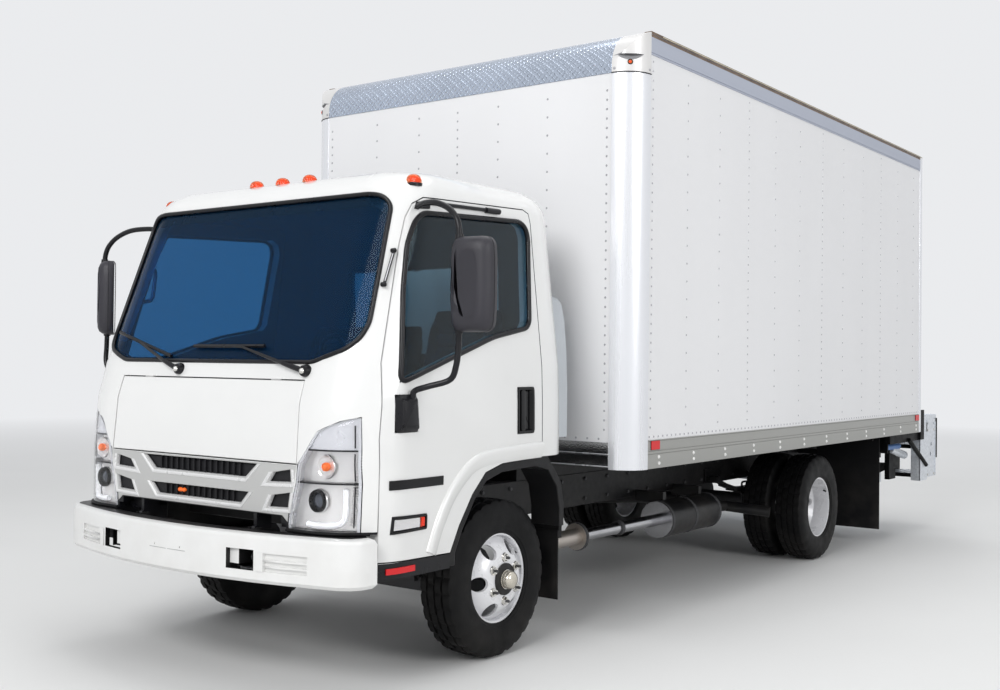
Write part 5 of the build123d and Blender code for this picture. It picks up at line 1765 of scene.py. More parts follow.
@dataclass
class Bumper:
    """The white front bumper with its tow pockets, sloped reliefs and rubber lip."""

    nose: float = -1.262
    corner_x: float = 0.850
    corner_y: float = -1.140
    tow: Flat = (0.375, 0.525)
    tow_heights: Flat = (0.540, 0.628)
    fog: Flat = (0.571, 0.788)
    relief_depth: float = 0.036

    def surface(self, x: float, out: float = 0.0) -> float:
        """Y of the bumper's face at a distance from the middle."""
        share = min(1.0, abs(x) / self.corner_x)
        return aft(self.nose + (self.corner_y - self.nose) * share**2 - out)

    def relief(self) -> Draft:
        """Wedges to be cut beside the tow openings and the ridged recesses.

        Returns:
            The wedges.
        """
        wedges = Draft("bumper_relief")
        low, high = self.tow_heights
        near, far = self.tow
        for side in Side:
            for bottom, top, spots in (
                (low, high + 0.004, (
                    (near - 0.058, 0.004), (near - 0.054, -0.001), (near, -self.relief_depth), (near, None),
                    (far, None), (far, -self.relief_depth), (far + 0.030, -0.001), (far + 0.034, 0.004),
                )),
                (low, high - 0.008, (
                    (self.fog[0] - 0.032, 0.004), (self.fog[0] - 0.030, -0.001),
                    (self.fog[0] + 0.004, -0.012), (self.fog[0] + 0.004, 0.004),
                )),
            ):
                outline = [
                    (side * x, aft(-1.09) if out is None else self.surface(x, out))
                    for x, out in spots
                ]
                wedges.loops([[(x, y, z) for x, y in outline] for z in (bottom, top)])
        return wedges

    def finish(self, spot: Vector, normal: Vector) -> int:
        """Picks a face's finish.

        Args:
            spot: The face's centre.
            normal: The face's normal.

        Returns:
            0 for paint, 1 for the black back and brackets.
        """
        behind = spot.y - FRONT_AXLE_Y
        back = (behind > -1.2 and abs(spot.x) < 0.44) or (
            spot.y > self.surface(spot.x, -0.022) and abs(spot.x) < 0.60
        )
        low, high = self.tow_heights
        across = self.tow[0] - 0.01 < abs(spot.x) < self.tow[1] + 0.01
        opening = across and low - 0.006 < spot.z < high + 0.006
        walls = opening and spot.y > self.surface(spot.x, -0.006) and (
            abs(normal.x) > 0.96 or abs(normal.z) > 0.9
        )
        return int(back or walls or (normal.y > 0.5 and spot.y > self.surface(spot.x, -0.02)))

    def pockets(self) -> None:
        """Closes the tow openings with dark pockets that hold an eye."""
        draft = Draft("tow_pockets", FRAME_BLACK, CAST_IRON)
        low, high = self.tow_heights
        for side in Side:
            near, far = (side * part for part in self.tow)
            back = aft(-1.105)
            front = self.surface(self.tow[1], -0.042)
            draft.box((near, back, low - 0.01), (far, back + 0.004, high + 0.01))
            for x, way in ((near, side), (far, -side)):
                draft.box((x + way * 0.0005, front, low - 0.004), (x + way * 0.0025, back, high + 0.004))
            for z, way in ((low, 1), (high, -1)):
                draft.box((near, front, z + way * 0.0005), (far, back, z + way * 0.0025))
            middle = (near + far) / 2
            turns = [math.pi * step / 10 for step in range(11)]
            eye = [
                (middle, back - 0.004 - 0.045 * math.sin(t), (low + high) / 2 + 0.024 * math.cos(t))
                for t in turns
            ]
            draft.tube(eye, 0.007, 8, 1)
        draft.piece("root", 0.001)

    def trim(self) -> None:
        """Adds the centre slit and the rubber lip along the top edge."""
        slit = Draft("bumper_slit", SHADOW_GREY)
        steps = [-0.125 + 0.025 * step for step in range(11)]
        section = ((-0.0001, 0.5850), (-0.0001, 0.5875), (-0.004, 0.5875), (-0.004, 0.5850))
        slit.loops([[(x, self.surface(x, out), z) for out, z in section] for x in steps])
        slit.piece("root", smooth=20)
        lip = Draft("bumper_lip", FLAP_RUBBER)
        for side in Side:
            path = [(side * (0.60 + 0.036 * step)) for step in range(11)]
            lip.tube([CAB.front(x, 0.7085, 0.006) for x in path], 0.0072, 8)
        lip.piece("root", smooth=60)

    def build(self) -> None:
        """Builds and dresses the bumper."""
        node_copy(
            "front_bumper", "root", BUMPER_WHITE, FRAME_BLACK, bevel=0.0035, smooth=30,
            cutter=self.relief(), choose=self.finish,
        )
        self.pockets()
        self.trim()


@dataclass
class DoorFittings:
    """Mirrors, handle and side lamp of both doors."""

    mirror_x: float = 1.280
    mirror_y: float = -0.695
    mirror_heights: Flat = (1.565, 1.975)
    half_width: float = 0.104
    depth: float = 0.090
    turns: Flat = (0.12, 0.66)
    lower_arm: tuple = (
        (1.018, -0.780, 1.210), (1.030, -0.776, 1.284), (1.040, -0.774, 1.312), (1.100, -0.758, 1.332),
        (1.180, -0.709, 1.361), (1.210, -0.705, 1.418), (1.216, -0.697, 1.500), (1.216, -0.695, 1.590),
    )
    upper_arm: tuple = (
        (0.921, -0.632, 2.130), (0.970, -0.650, 2.140), (1.060, -0.675, 2.135), (1.140, -0.684, 2.105),
        (1.190, -0.690, 2.060), (1.210, -0.694, 2.010), (1.214, -0.695, 1.955),
    )

    def head_ring(self, side: Side, offset: float, inset: float, corner: float = 0.045) -> list[Point]:
        """One section of the mirror head.

        Args:
            side: The truck's side.
            offset: Where it stands along the truck, from the head's middle.
            inset: How far it stands in from the head's outline.
            corner: Radius of its corners.

        Returns:
            Points round the section.
        """
        low, high = self.mirror_heights
        half, rise = self.half_width - inset, (high - low) / 2 - inset
        turn = self.turns[0 if side > 0 else 1]
        box = [(-half, -rise), (half, -rise), (half, rise), (-half, rise)]
        ring = []
        for x, z in divided(rounded(box, corner, 5), 0.05):
            wide = x * (1 - 0.12 * (z / rise) ** 4)
            ahead = offset + (0.35 if offset < 0 else 0.0) * wide * wide
            ring.append((
                side * (self.mirror_x + turn * 0.0276 + wide * math.cos(turn) - ahead * math.sin(turn)),
                aft(self.mirror_y) + wide * math.sin(turn) + ahead * math.cos(turn),
                (low + high) / 2 + z,
            ))
        return ring

    def mirrors(self, side: Side) -> None:
        """Builds one mirror with its arms and brackets.

        Args:
            side: The truck's side.
        """
        half = self.depth / 2
        head = Draft(f"mirror_head_{side.label}", MIRROR_BLACK, TRIM_BLACK, MIRROR_GLASS)
        sections = (
            (half - 0.004, 0.010), (half, 0.006), (half - 0.006, 0.001), (half - 0.030, 0.001), (0.0, 0.002),
        )
        sections += ((-half + 0.030, 0.006), (-half + 0.012, 0.018), (-half + 0.003, 0.038), (-half, 0.062))
        head.loops([self.head_ring(side, offset, inset) for offset, inset in sections])
        glass = [self.head_ring(side, half - 0.0035, 0.014), self.head_ring(side, half - 0.002, 0.014)]
        head.loops(glass, 2)
        seam = [self.head_ring(side, half - 0.031, 0.0), self.head_ring(side, half - 0.028, 0.0)]
        head.loops(seam, 1)
        head.piece(f"door_{side.label}", smooth=45)
        arms = Draft(f"mirror_arms_{side.label}", TRIM_BLACK)
        stretch = 1.0 if side > 0 else 1.35
        for line in (self.lower_arm, self.upper_arm):
            root_x = line[0][0]
            spots = [(side * (root_x + (x - root_x) * stretch), aft(y), z) for x, y, z in line]
            arms.tube(eased(spots, 30), 0.0135, 10)
            rise = 0.03 if spots[-1][2] > 1.7 else -0.03
            arms.turned(spots[-1], Axis.Z, [(-rise, 0.020), (0.0, 0.021), (rise, 0.018)], 14)
        arms.piece(f"door_{side.label}", smooth=50)

    def plate(self, draft: Draft, side: Side, outline: list, outs: tuple, slot: int = 0) -> None:
        """Adds a plate that follows the door's skin.

        Args:
            draft: The draft to add to.
            side: The truck's side.
            outline: Its outline as (distance behind the front axle, height).
            outs: (how far proud, how far in from the outline) of each layer.
            slot: Number of the finish.
        """
        count = divided(outline, 0.03)
        draft.loops(
            [[CAB.side(y, z, out, side) for y, z in shrunk(count, inset)] for out, inset in outs], slot,
        )

    def fittings(self, side: Side) -> None:
        """Builds one door's handle, side lamp and mirror brackets.

        Args:
            side: The truck's side.
        """
        body = f"door_{side.label}"
        trim = Draft(
            f"door_hardware_{side.label}", TRIM_BLACK, GLOSS_BLACK, CLEAR_LENS, AMBER_LENS, LAMP_BOWL,
            AMBER_PAINTED_GLOW,
        )
        handle = rounded([(0.015, 1.090), (0.155, 1.090), (0.155, 1.318), (0.015, 1.318)], 0.018, 3)
        self.plate(
            trim, side, handle,
            ((-0.018, 0.0), (0.0045, 0.0), (0.006, 0.003), (0.004, 0.014), (-0.012, 0.022)), 1,
        )
        grip = rounded([(0.040, 1.104), (0.078, 1.104), (0.078, 1.304), (0.040, 1.304)], 0.014, 3)
        self.plate(trim, side, grip, ((-0.010, 0.0), (0.0055, 0.001), (0.006, 0.004)), 1)
        lamp = rounded([(-0.878, 0.699), (-0.653, 0.703), (-0.653, 0.772), (-0.870, 0.776)], 0.012, 3)
        self.plate(
            trim, side, lamp,
            ((-0.018, 0.0), (0.005, 0.001), (0.006, 0.004), (0.0055, 0.011), (-0.004, 0.013)), 1,
        )
        inner = [(-0.862, 0.716), (-0.700, 0.718), (-0.700, 0.758), (-0.858, 0.761)]
        self.plate(trim, side, inner, ((-0.0038, 0.0), (-0.0015, 0.0), (-0.0030, 0.010)), 4)
        self.plate(trim, side, inner, ((0.0005, 0.0), (0.003, 0.0), (0.0045, 0.003)), 2)
        amber = [(-0.696, 0.718), (-0.668, 0.719), (-0.668, 0.758), (-0.696, 0.758)]
        self.plate(trim, side, amber, ((-0.0038, 0.0), (-0.0015, 0.0)), 5)
        self.plate(trim, side, amber, ((0.0005, 0.0), (0.003, 0.0), (0.0045, 0.003)), 3)
        lower = rounded([(-0.862, 1.132), (-0.721, 1.132), (-0.735, 1.296), (-0.855, 1.296)], 0.025, 4)
        self.plate(
            trim, side, lower, ((-0.018, 0.0), (0.004, 0.0), (0.006, 0.004), (0.022, 0.016), (0.026, 0.030)),
        )
        upper = rounded([(-0.640, 2.122), (-0.560, 2.128), (-0.560, 2.160), (-0.625, 2.156)], 0.008, 3)
        self.plate(trim, side, upper, ((-0.018, 0.0), (0.006, 0.0), (0.010, 0.004)))
        piece = trim.piece(body, smooth=40)
        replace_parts(piece, f"door_fittings_{side.label}")

    def build(self) -> None:
        """Builds both doors' fittings."""
        for side in Side:
            self.mirrors(side)
            self.fittings(side)


@dataclass
class RoofAndWipers:
    """Amber roof lamps and the windscreen wipers."""

    lamps: tuple = ((-0.860, 2.235), (-0.190, 2.290), (0.0, 2.290), (0.190, 2.290), (0.860, 2.235))
    # height over the roof, radius
    dome: tuple = (
        (0.008, 0.037), (0.026, 0.036), (0.038, 0.031), (0.046, 0.024), (0.051, 0.013), (0.053, 0.002),
    )
    dome_foot: tuple = ((-0.004, 0.040), (0.010, 0.040), (0.012, 0.036))
    dome_bulb: tuple = ((0.010, 0.024), (0.030, 0.021), (0.038, 0.008))
    # distance behind the cowl, radius
    wiper_boss: tuple = ((0.004, 0.028), (-0.012, 0.027), (-0.024, 0.024), (-0.028, 0.014))
    wiper_nut: tuple = ((-0.026, 0.013), (-0.036, 0.012), (-0.040, 0.006))
    wiper_rows: tuple = (
        # pivot x, z; arm's end x, z; blade's ends x, z
        ((-0.216, 1.391), (-0.560, 1.515), ((-0.768, 1.570), (-0.300, 1.452))),
        ((0.640, 1.393), (0.200, 1.496), ((-0.148, 1.500), (0.341, 1.501))),
    )

    def roof_lamps(self) -> None:
        """Builds the domes, each on a black foot."""
        domes = Draft("roof_lamp_domes", AMBER_LENS, TRIM_BLACK, AMBER_PAINTED_GLOW)
        for x, base in self.lamps:
            spot = (x, aft(-0.590), base)
            domes.turned(spot, Axis.Z, self.dome, 24, 0)
            domes.turned(spot, Axis.Z, self.dome_foot, 24, 1)
            domes.turned(spot, Axis.Z, self.dome_bulb, 12, 2)
        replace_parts(domes.piece("cab", smooth=50), "roof_lamps")

    def wipers(self) -> None:
        """Builds both arms and blades on the cowl and glass."""
        draft = Draft("wiper_arms", TRIM_BLACK, NUT_CHROME)
        for (x, z), (end_x, end_z), blade in self.wiper_rows:
            pivot = Vector(CAB.front(x, z, 0.020))
            draft.turned(CAB.front(x, z, 0.0), Axis.Y, self.wiper_boss, 16)
            draft.turned(CAB.front(x, z, 0.0), Axis.Y, self.wiper_nut, 8, 1)
            bend = Vector(CAB.front(x + (end_x - x) * 0.28, z + (end_z - z) * 0.30, 0.034))
            tip = Vector(CAB.front(end_x, end_z, 0.018))
            draft.tube([pivot, pivot.lerp(bend, 0.6), bend], 0.014, 8, end=0.010)
            draft.tube([bend, bend.lerp(tip, 0.5), tip], 0.009, 8, end=0.006)
            (from_x, from_z), (to_x, to_z) = blade
            spots = [
                CAB.front(
                    from_x + (to_x - from_x) * t, from_z + (to_z - from_z) * t,
                    0.010 + 0.004 * math.sin(math.pi * t),
                )
                for t in (step / 12 for step in range(13))
            ]
            draft.tube(spots, 0.009, 6)
            edge = [(px, py + 0.006, pz - 0.002) for px, py, pz in spots]
            draft.tube(edge, 0.003, 4)
            draft.tube([tip, Vector(spots[6])], 0.006, 6)
        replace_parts(draft.piece("cab", smooth=50), "wipers")

    def build(self) -> None:
        """Builds the roof lamps and the wipers."""
        self.roof_lamps()
        self.wipers()


@dataclass
class CargoBody:
    """The riveted load box with its rails, posts, caps, roll-up door and lamps."""

    wall_x: float = 1.214
    rail_x: float = 1.219
    door_foot: float = 1.0106
    door_panel: float = 0.3492
    # distance behind the lamp's place, radius
    tail_ring: tuple = (
        (0.0006, 0.051), (0.012, 0.051), (0.016, 0.0475), (0.016, 0.0435), (0.008, 0.043), (0.0006, 0.043),
    )
    tail_plate: tuple = ((0.0008, 0.0425), (0.004, 0.0425))
    tail_lens: tuple = ((0.006, 0.0425), (0.014, 0.0415), (0.019, 0.030), (0.0212, 0.012))
    # distance from the casting, radius
    cap_housing: tuple = (
        (-0.012, 0.0150), (0.0010, 0.0150), (0.0025, 0.0135), (0.0025, 0.0110), (-0.002, 0.0105),
    )
    cap_bulb: tuple = ((-0.006, 0.0090), (-0.001, 0.0080), (0.001, 0.0040))
    cap_lens: tuple = ((-0.004, 0.0108), (0.0015, 0.0106), (0.0045, 0.0080), (0.0060, 0.0030))
    # lowest and highest edge of each groove along the rails
    grooves: tuple = (
        (0.9460, 0.9495), (0.9630, 0.9665), (1.0165, 1.0185), (3.1170, 3.1215), (3.2190, 3.2215),
    )
    wall_front: float = -1.678
    wall_rear: float = 3.137
    post_y: float = -1.528
    post_x: float = 1.064
    post_radius: float = 0.155
    foot: float = 1.024
    head: float = 3.110
    column_pitch: float = 0.406
    edge_foot: float = 3.2050
    lid_height: float = 3.097
    lid_turn: float = math.radians(38)
    lid_depth: float = 0.028
    lid_rise: float = 0.034
    rivet_close: float = 0.0508
    rivet_wide: float = 0.1016
    lamp_height: float = 3.052

    def rivets(self) -> None:
        """Sets the rivets of the side walls and the front wall."""
        places = []
        for side in Side:
            spot_x, facing = side * self.wall_x, (side, 0, 0)
            columns = [self.post_y + 0.030 + index * self.column_pitch for index in range(12)]
            for index, y in enumerate(columns):
                pitch = self.rivet_wide if index % 3 else self.rivet_close
                count = int((self.head - self.foot - 0.09) / pitch)
                places += [
                    ((spot_x, y, self.foot + 0.07 + step * pitch), facing)
                    for step in range(count + 1)
                ]
            count = int((self.wall_rear - self.post_y) / 0.050)
            places += [
                ((spot_x, self.post_y + 0.02 + step * 0.050, self.foot + 0.018), facing)
                for step in range(count)
            ]
        for side in Side:
            x = side * (self.post_x - 0.030)
            places += [
                ((x, self.wall_front, 1.08 + step * self.rivet_close), (0, -1, 0))
                for step in range(37)
            ]
        for x in (-0.645, -0.300, 0.0, 0.300, 0.645):
            pitch = self.rivet_wide if x else self.rivet_close
            count = int(1.86 / pitch)
            places += [((x, self.wall_front, 1.08 + step * pitch), (0, -1, 0)) for step in range(count + 1)]
        places += [((-1.03 + step * 0.0725, self.wall_front, 1.030), (0, -1, 0)) for step in range(29)]
        studs().piece("wall_rivets", "root", places, 0.0070, 0.0028, RIVET_GREY, 6, 0.55)

    def rail_cutter(self) -> Draft:
        """The long grooves of the rails' extrusions.

        Returns:
            The bars that cut them.
        """
        cutter = Draft("rail_grooves")
        for side in Side:
            inner, outer = side * (self.rail_x - 0.004), side * (self.rail_x + 0.02)
            for low, high in self.grooves:
                cutter.box((inner, -1.75, low), (outer, 3.2, high))
        cutter.box((-1.2, self.wall_front - 0.02, 0.9430), (1.2, self.wall_front - 0.002, 0.9475))
        return cutter

    def rail_finish(self, spot: Vector, normal: Vector) -> int:
        """Picks a rail face's finish.

        Args:
            spot: The face's centre.
            normal: The face's normal.

        Returns:
            0 for the bottom rail, 1 for the top rail, 2 for the front sill, 3 for the roof edge, brown as
            sealant with painted shade.
        """
        if spot.z > 2:
            return 3 if spot.z > self.edge_foot and abs(normal.z) < 0.7 else 1
        return 2 if spot.y < self.post_y - 0.01 and abs(spot.x) < self.post_x + 0.001 else 0

    def rails(self) -> None:
        """Dresses the rails with their grooves, bolts and reflectors."""
        node_copy(
            "box_side_rails", "root", SATIN_RAIL, TOP_RAIL, POLISHED_SILL, SEALANT_AND_SHADE_BROWN, bevel=0.0015,
            smooth=20, cutter=self.rail_cutter(), cuts=(((0, 0, self.edge_foot), (0, 0, 1)),),
            choose=self.rail_finish,
        )
        bolts = []
        for side in Side:
            for index in range(12):
                y = self.post_y + 0.12 + index * self.column_pitch
                bolts += [
                    ((side * self.rail_x, y + shift, z), (side, 0, 0))
                    for shift, z in ((0.0, 0.930), (0.004, 0.895))
                ]
        studs().piece("rail_bolts", "root", bolts, 0.0105, 0.0055, BOLT_PALE, 10, 0.7)
        # the red reflectors carry a painted glow
        marks = Draft("rail_reflectors", RED_PAINTED_GLOW, TRIM_BLACK)
        for side in Side:
            for y in (self.post_y + 0.030, 3.035):
                x = side * self.rail_x
                marks.box((x - side * 0.001, y, 0.970), (x + side * 0.003, y + 0.096, 1.021), 1)
                marks.box((x + side * 0.002, y + 0.002, 0.972), (x + side * 0.0055, y + 0.094, 1.019), 0)
        marks.piece("root", 0.0012)
        lines = Draft("sill_lines", SATIN_POST)
        lines.box(
            (-self.post_x, self.wall_front - 0.007, 0.880), (self.post_x, self.wall_front - 0.003, 0.8865),
        )
        lines.box(
            (-self.post_x, self.wall_front - 0.007, 0.9475), (self.post_x, self.wall_front - 0.004, 0.9520),
        )
        lines.piece("root", 0.001)
        edge = Draft("roof_edge_line", GOLD_LINE)
        for side in Side:
            x = side * self.rail_x
            edge.box((x - side * 0.001, -1.40, 3.2255), (x + side * 0.0028, 3.185, 3.2318))
        edge.piece("root", 0.0008)

    def corner(self, side: Side, z: float, out: float, reach: Flat, steps: int = 32) -> list[Point]:
        """A ring round the corner lamp's axis.

        Args:
            side: The truck's side.
            z: Height of its middle.
            out: How far it stands from the post's skin.
            reach: Its half width and half height.
            steps: Number of points.

        Returns:
            Its points.
        """
        ahead = Vector((side * math.sin(self.lid_turn), -math.cos(self.lid_turn), 0))
        across = Vector((-ahead.y, ahead.x, 0))
        centre = Vector((side * self.post_x, self.post_y, z)) + ahead * (self.post_radius + out)
        ring = []
        for step in range(steps):
            turn = 2 * math.pi * step / steps
            ring.append(
                tuple(centre + across * reach[0] * math.cos(turn) + Vector((0, 0, reach[1] * math.sin(turn))))
            )
        return ring

    def round_post(self, side: Side, turn: float, out: float, z: float) -> Point:
        """A point round a corner post.

        Args:
            side: The truck's side.
            turn: Angle from straight ahead towards that side.
            out: How far the point stands from the post's skin.
            z: Its height.

        Returns:
            The point.
        """
        reach = self.post_radius + out
        return (side * (self.post_x + reach * math.sin(turn)), self.post_y - reach * math.cos(turn), z)

    def in_lid(self, spot: Vector, normal: Vector) -> int:
        """Picks a cap face's finish.

        Args:
            spot: The face's centre.
            normal: The face's normal.

        Returns:
            1 for the eyelid's recess, painted in shade, 0 for the casting.
        """
        reach = math.hypot(abs(spot.x) - self.post_x, spot.y - self.post_y) - self.post_radius
        level = self.lid_height - 0.045 < spot.z < self.lid_height + 0.001
        return int(
            -0.035 < reach < -0.0022 and level and spot.y < self.post_y and normal.x * spot.x >= -0.001
        )

    def caps(self) -> None:
        """Casts the corner caps with their eyelid recess, lamp, gap line and screws."""
        cutter = Draft("eyelids")
        for side in Side:
            rings = []
            for step in range(17):
                share = -0.985 + 1.97 * step / 16
                swell = 1 - share * share
                turn = self.lid_turn + 0.52 * share
                foot = self.lid_height - 0.0004 - self.lid_rise * swell
                corners = (
                    (0.02, self.lid_height), (-0.0004 - self.lid_depth * swell, self.lid_height),
                    (-0.0003, foot), (0.02, foot),
                )
                rings.append([self.round_post(side, turn, out, z) for out, z in corners])
            cutter.loops(rings)
        node_copy(
            "box_corner_caps", "root", CAST_SILVER, LID_SHADE, bevel=0.002, smooth=35, cutter=cutter,
            choose=self.in_lid,
        )
        lamps = Draft("corner_lamps", TRIM_BLACK, AMBER_LENS, AMBER_PAINTED_GLOW)
        for side in Side:
            z = self.lamp_height
            for slot, rows in ((0, self.cap_housing), (2, self.cap_bulb), (1, self.cap_lens)):
                lamps.loops([self.corner(side, z, out, (size, size), 24) for out, size in rows], slot)
        lamps.piece("root", smooth=50)
        gap = Draft("cap_gaps", TRIM_BLACK)
        screws = []
        for side in Side:
            arc = [self.round_post(side, math.pi / 2 * step / 24, 0.0006, 2.9995) for step in range(25)]
            gap.tube(arc, 0.0032, 6)
            for turn in (0.10, math.pi / 2 - 0.10):
                facing = (side * math.sin(turn), -math.cos(turn), 0)
                screws.append((self.round_post(side, turn, 0.0, 3.022), facing))
        gap.piece("root", smooth=60)
        studs().piece("cap_screws", "root", screws, 0.0085, 0.004, RIVET_GREY, 8, 0.6)

    def shell(self) -> None:
        """Dresses the walls, posts, nose, roof and floor."""
        for name in ("box_front_wall", "box_wall_left", "box_wall_right"):
            node_copy(name, "root", WALL_WHITE, HARDWOOD, bevel=0.001, choose=self.lining)
        node_copy("box_corner_posts", "root", SATIN_POST, bevel=0.0015, smooth=35)
        node_copy("box_front_radius", "root", TREAD_ALUMINIUM, bevel=0.0015, smooth=35)
        node_copy("box_roof", "root", MILL_ROOF, bevel=0.002)
        node_copy(
            "box_floor", "root", FRAME_BLACK, HARDWOOD, bevel=0.0015, smooth=20,
            choose=lambda spot, normal: int(normal.z > 0.5 and spot.z > 0.99),
        )

    def lining(self, spot: Vector, normal: Vector) -> int:
        """Number of a wall face's finish: 1 for the wood lining inside, 0 for the skin."""
        inward = normal.x * spot.x < -0.5 or (normal.y > 0.5 and spot.y < self.post_y)
        return int(inward)

    def rear(self) -> None:
        """Dresses the rear frame and the roll-up door."""
        node_copy("rear_door_frame", "root", SATIN_POST, bevel=0.003, smooth=20)
        node_copy("roll_up_door", "root", DOOR_WHITE, bevel=0.003, smooth=20)
        rivets = []
        for index in range(1, 6):
            z = self.door_foot + index * self.door_panel
            for x in (-0.95, -0.48, 0.0, 0.48, 0.95):
                for shift in (-0.028, 0.028):
                    rivets += [((x + shift, 3.1370, z + rise_z), (0, 1, 0)) for rise_z in (-0.030, 0.030)]
        studs().piece("door_rivets", "root", rivets, 0.0085, 0.0035, NUT_CHROME, 8, 0.6)
        latch = Draft("door_latch", ZINC, TRIM_BLACK)
        latch.box((-0.075, 3.137, 1.075), (0.075, 3.1405, 1.245))
        latch.box((-0.014, 3.140, 1.020), (0.014, 3.150, 1.110))
        latch.tube([(-0.055, 3.146, 1.215), (0.0, 3.152, 1.215), (0.055, 3.146, 1.215)], 0.008, 8)
        latch.turned((0.0, 3.148, 1.120), Axis.Y, [(-0.008, 0.026), (0.010, 0.026), (0.014, 0.020)], 20)
        latch.box((0.52, 3.137, 1.025), (0.56, 3.141, 1.30), 1)
        latch.piece("root", 0.0015)

    def tail_lamps(self) -> None:
        """Builds the round lamps beside the door and the small ones over it."""
        rows = Draft("tail_lamp_units", TRIM_BLACK, RED_LENS, RED_PAINTED_GLOW, CLEAR_LENS, LAMP_BOWL)
        for side in Side:
            for index, z in enumerate((1.130, 1.260, 1.390)):
                spot = (side * 1.153, 3.194, z)
                rows.turned(spot, Axis.Y, self.tail_ring, 32, 0, closed=True)
                inner, outer = (4, 3) if index == 0 else (2, 1)
                rows.turned(spot, Axis.Y, self.tail_plate, 32, inner)
                rows.turned(spot, Axis.Y, self.tail_lens, 32, outer)
        for x in (-1.120, -0.160, 0.0, 0.160, 1.120):
            rows.box((x - 0.0445, 3.1947, 3.1265), (x + 0.0445, 3.2050, 3.1605), 0)
            rows.box((x - 0.036, 3.2040, 3.1330), (x + 0.036, 3.2062, 3.1550), 2)
            rings = []
            for y, inset in ((3.2045, 0.0), (3.2100, 0.001), (3.2135, 0.005)):
                left, right = x - 0.0385 + inset, x + 0.0385 - inset
                low, high = 3.1300 + inset, 3.1575 - inset
                rings.append([(left, y, low), (right, y, low), (right, y, high), (left, y, high)])
            rows.loops(rings, 1)
        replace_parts(rows.piece("root", 0.0008, smooth=40), "tail_lamps")

    def build(self) -> None:
        """Builds and dresses the load box."""
        self.shell()
        self.rails()
        self.rivets()
        self.caps()
        self.rear()
        self.tail_lamps()


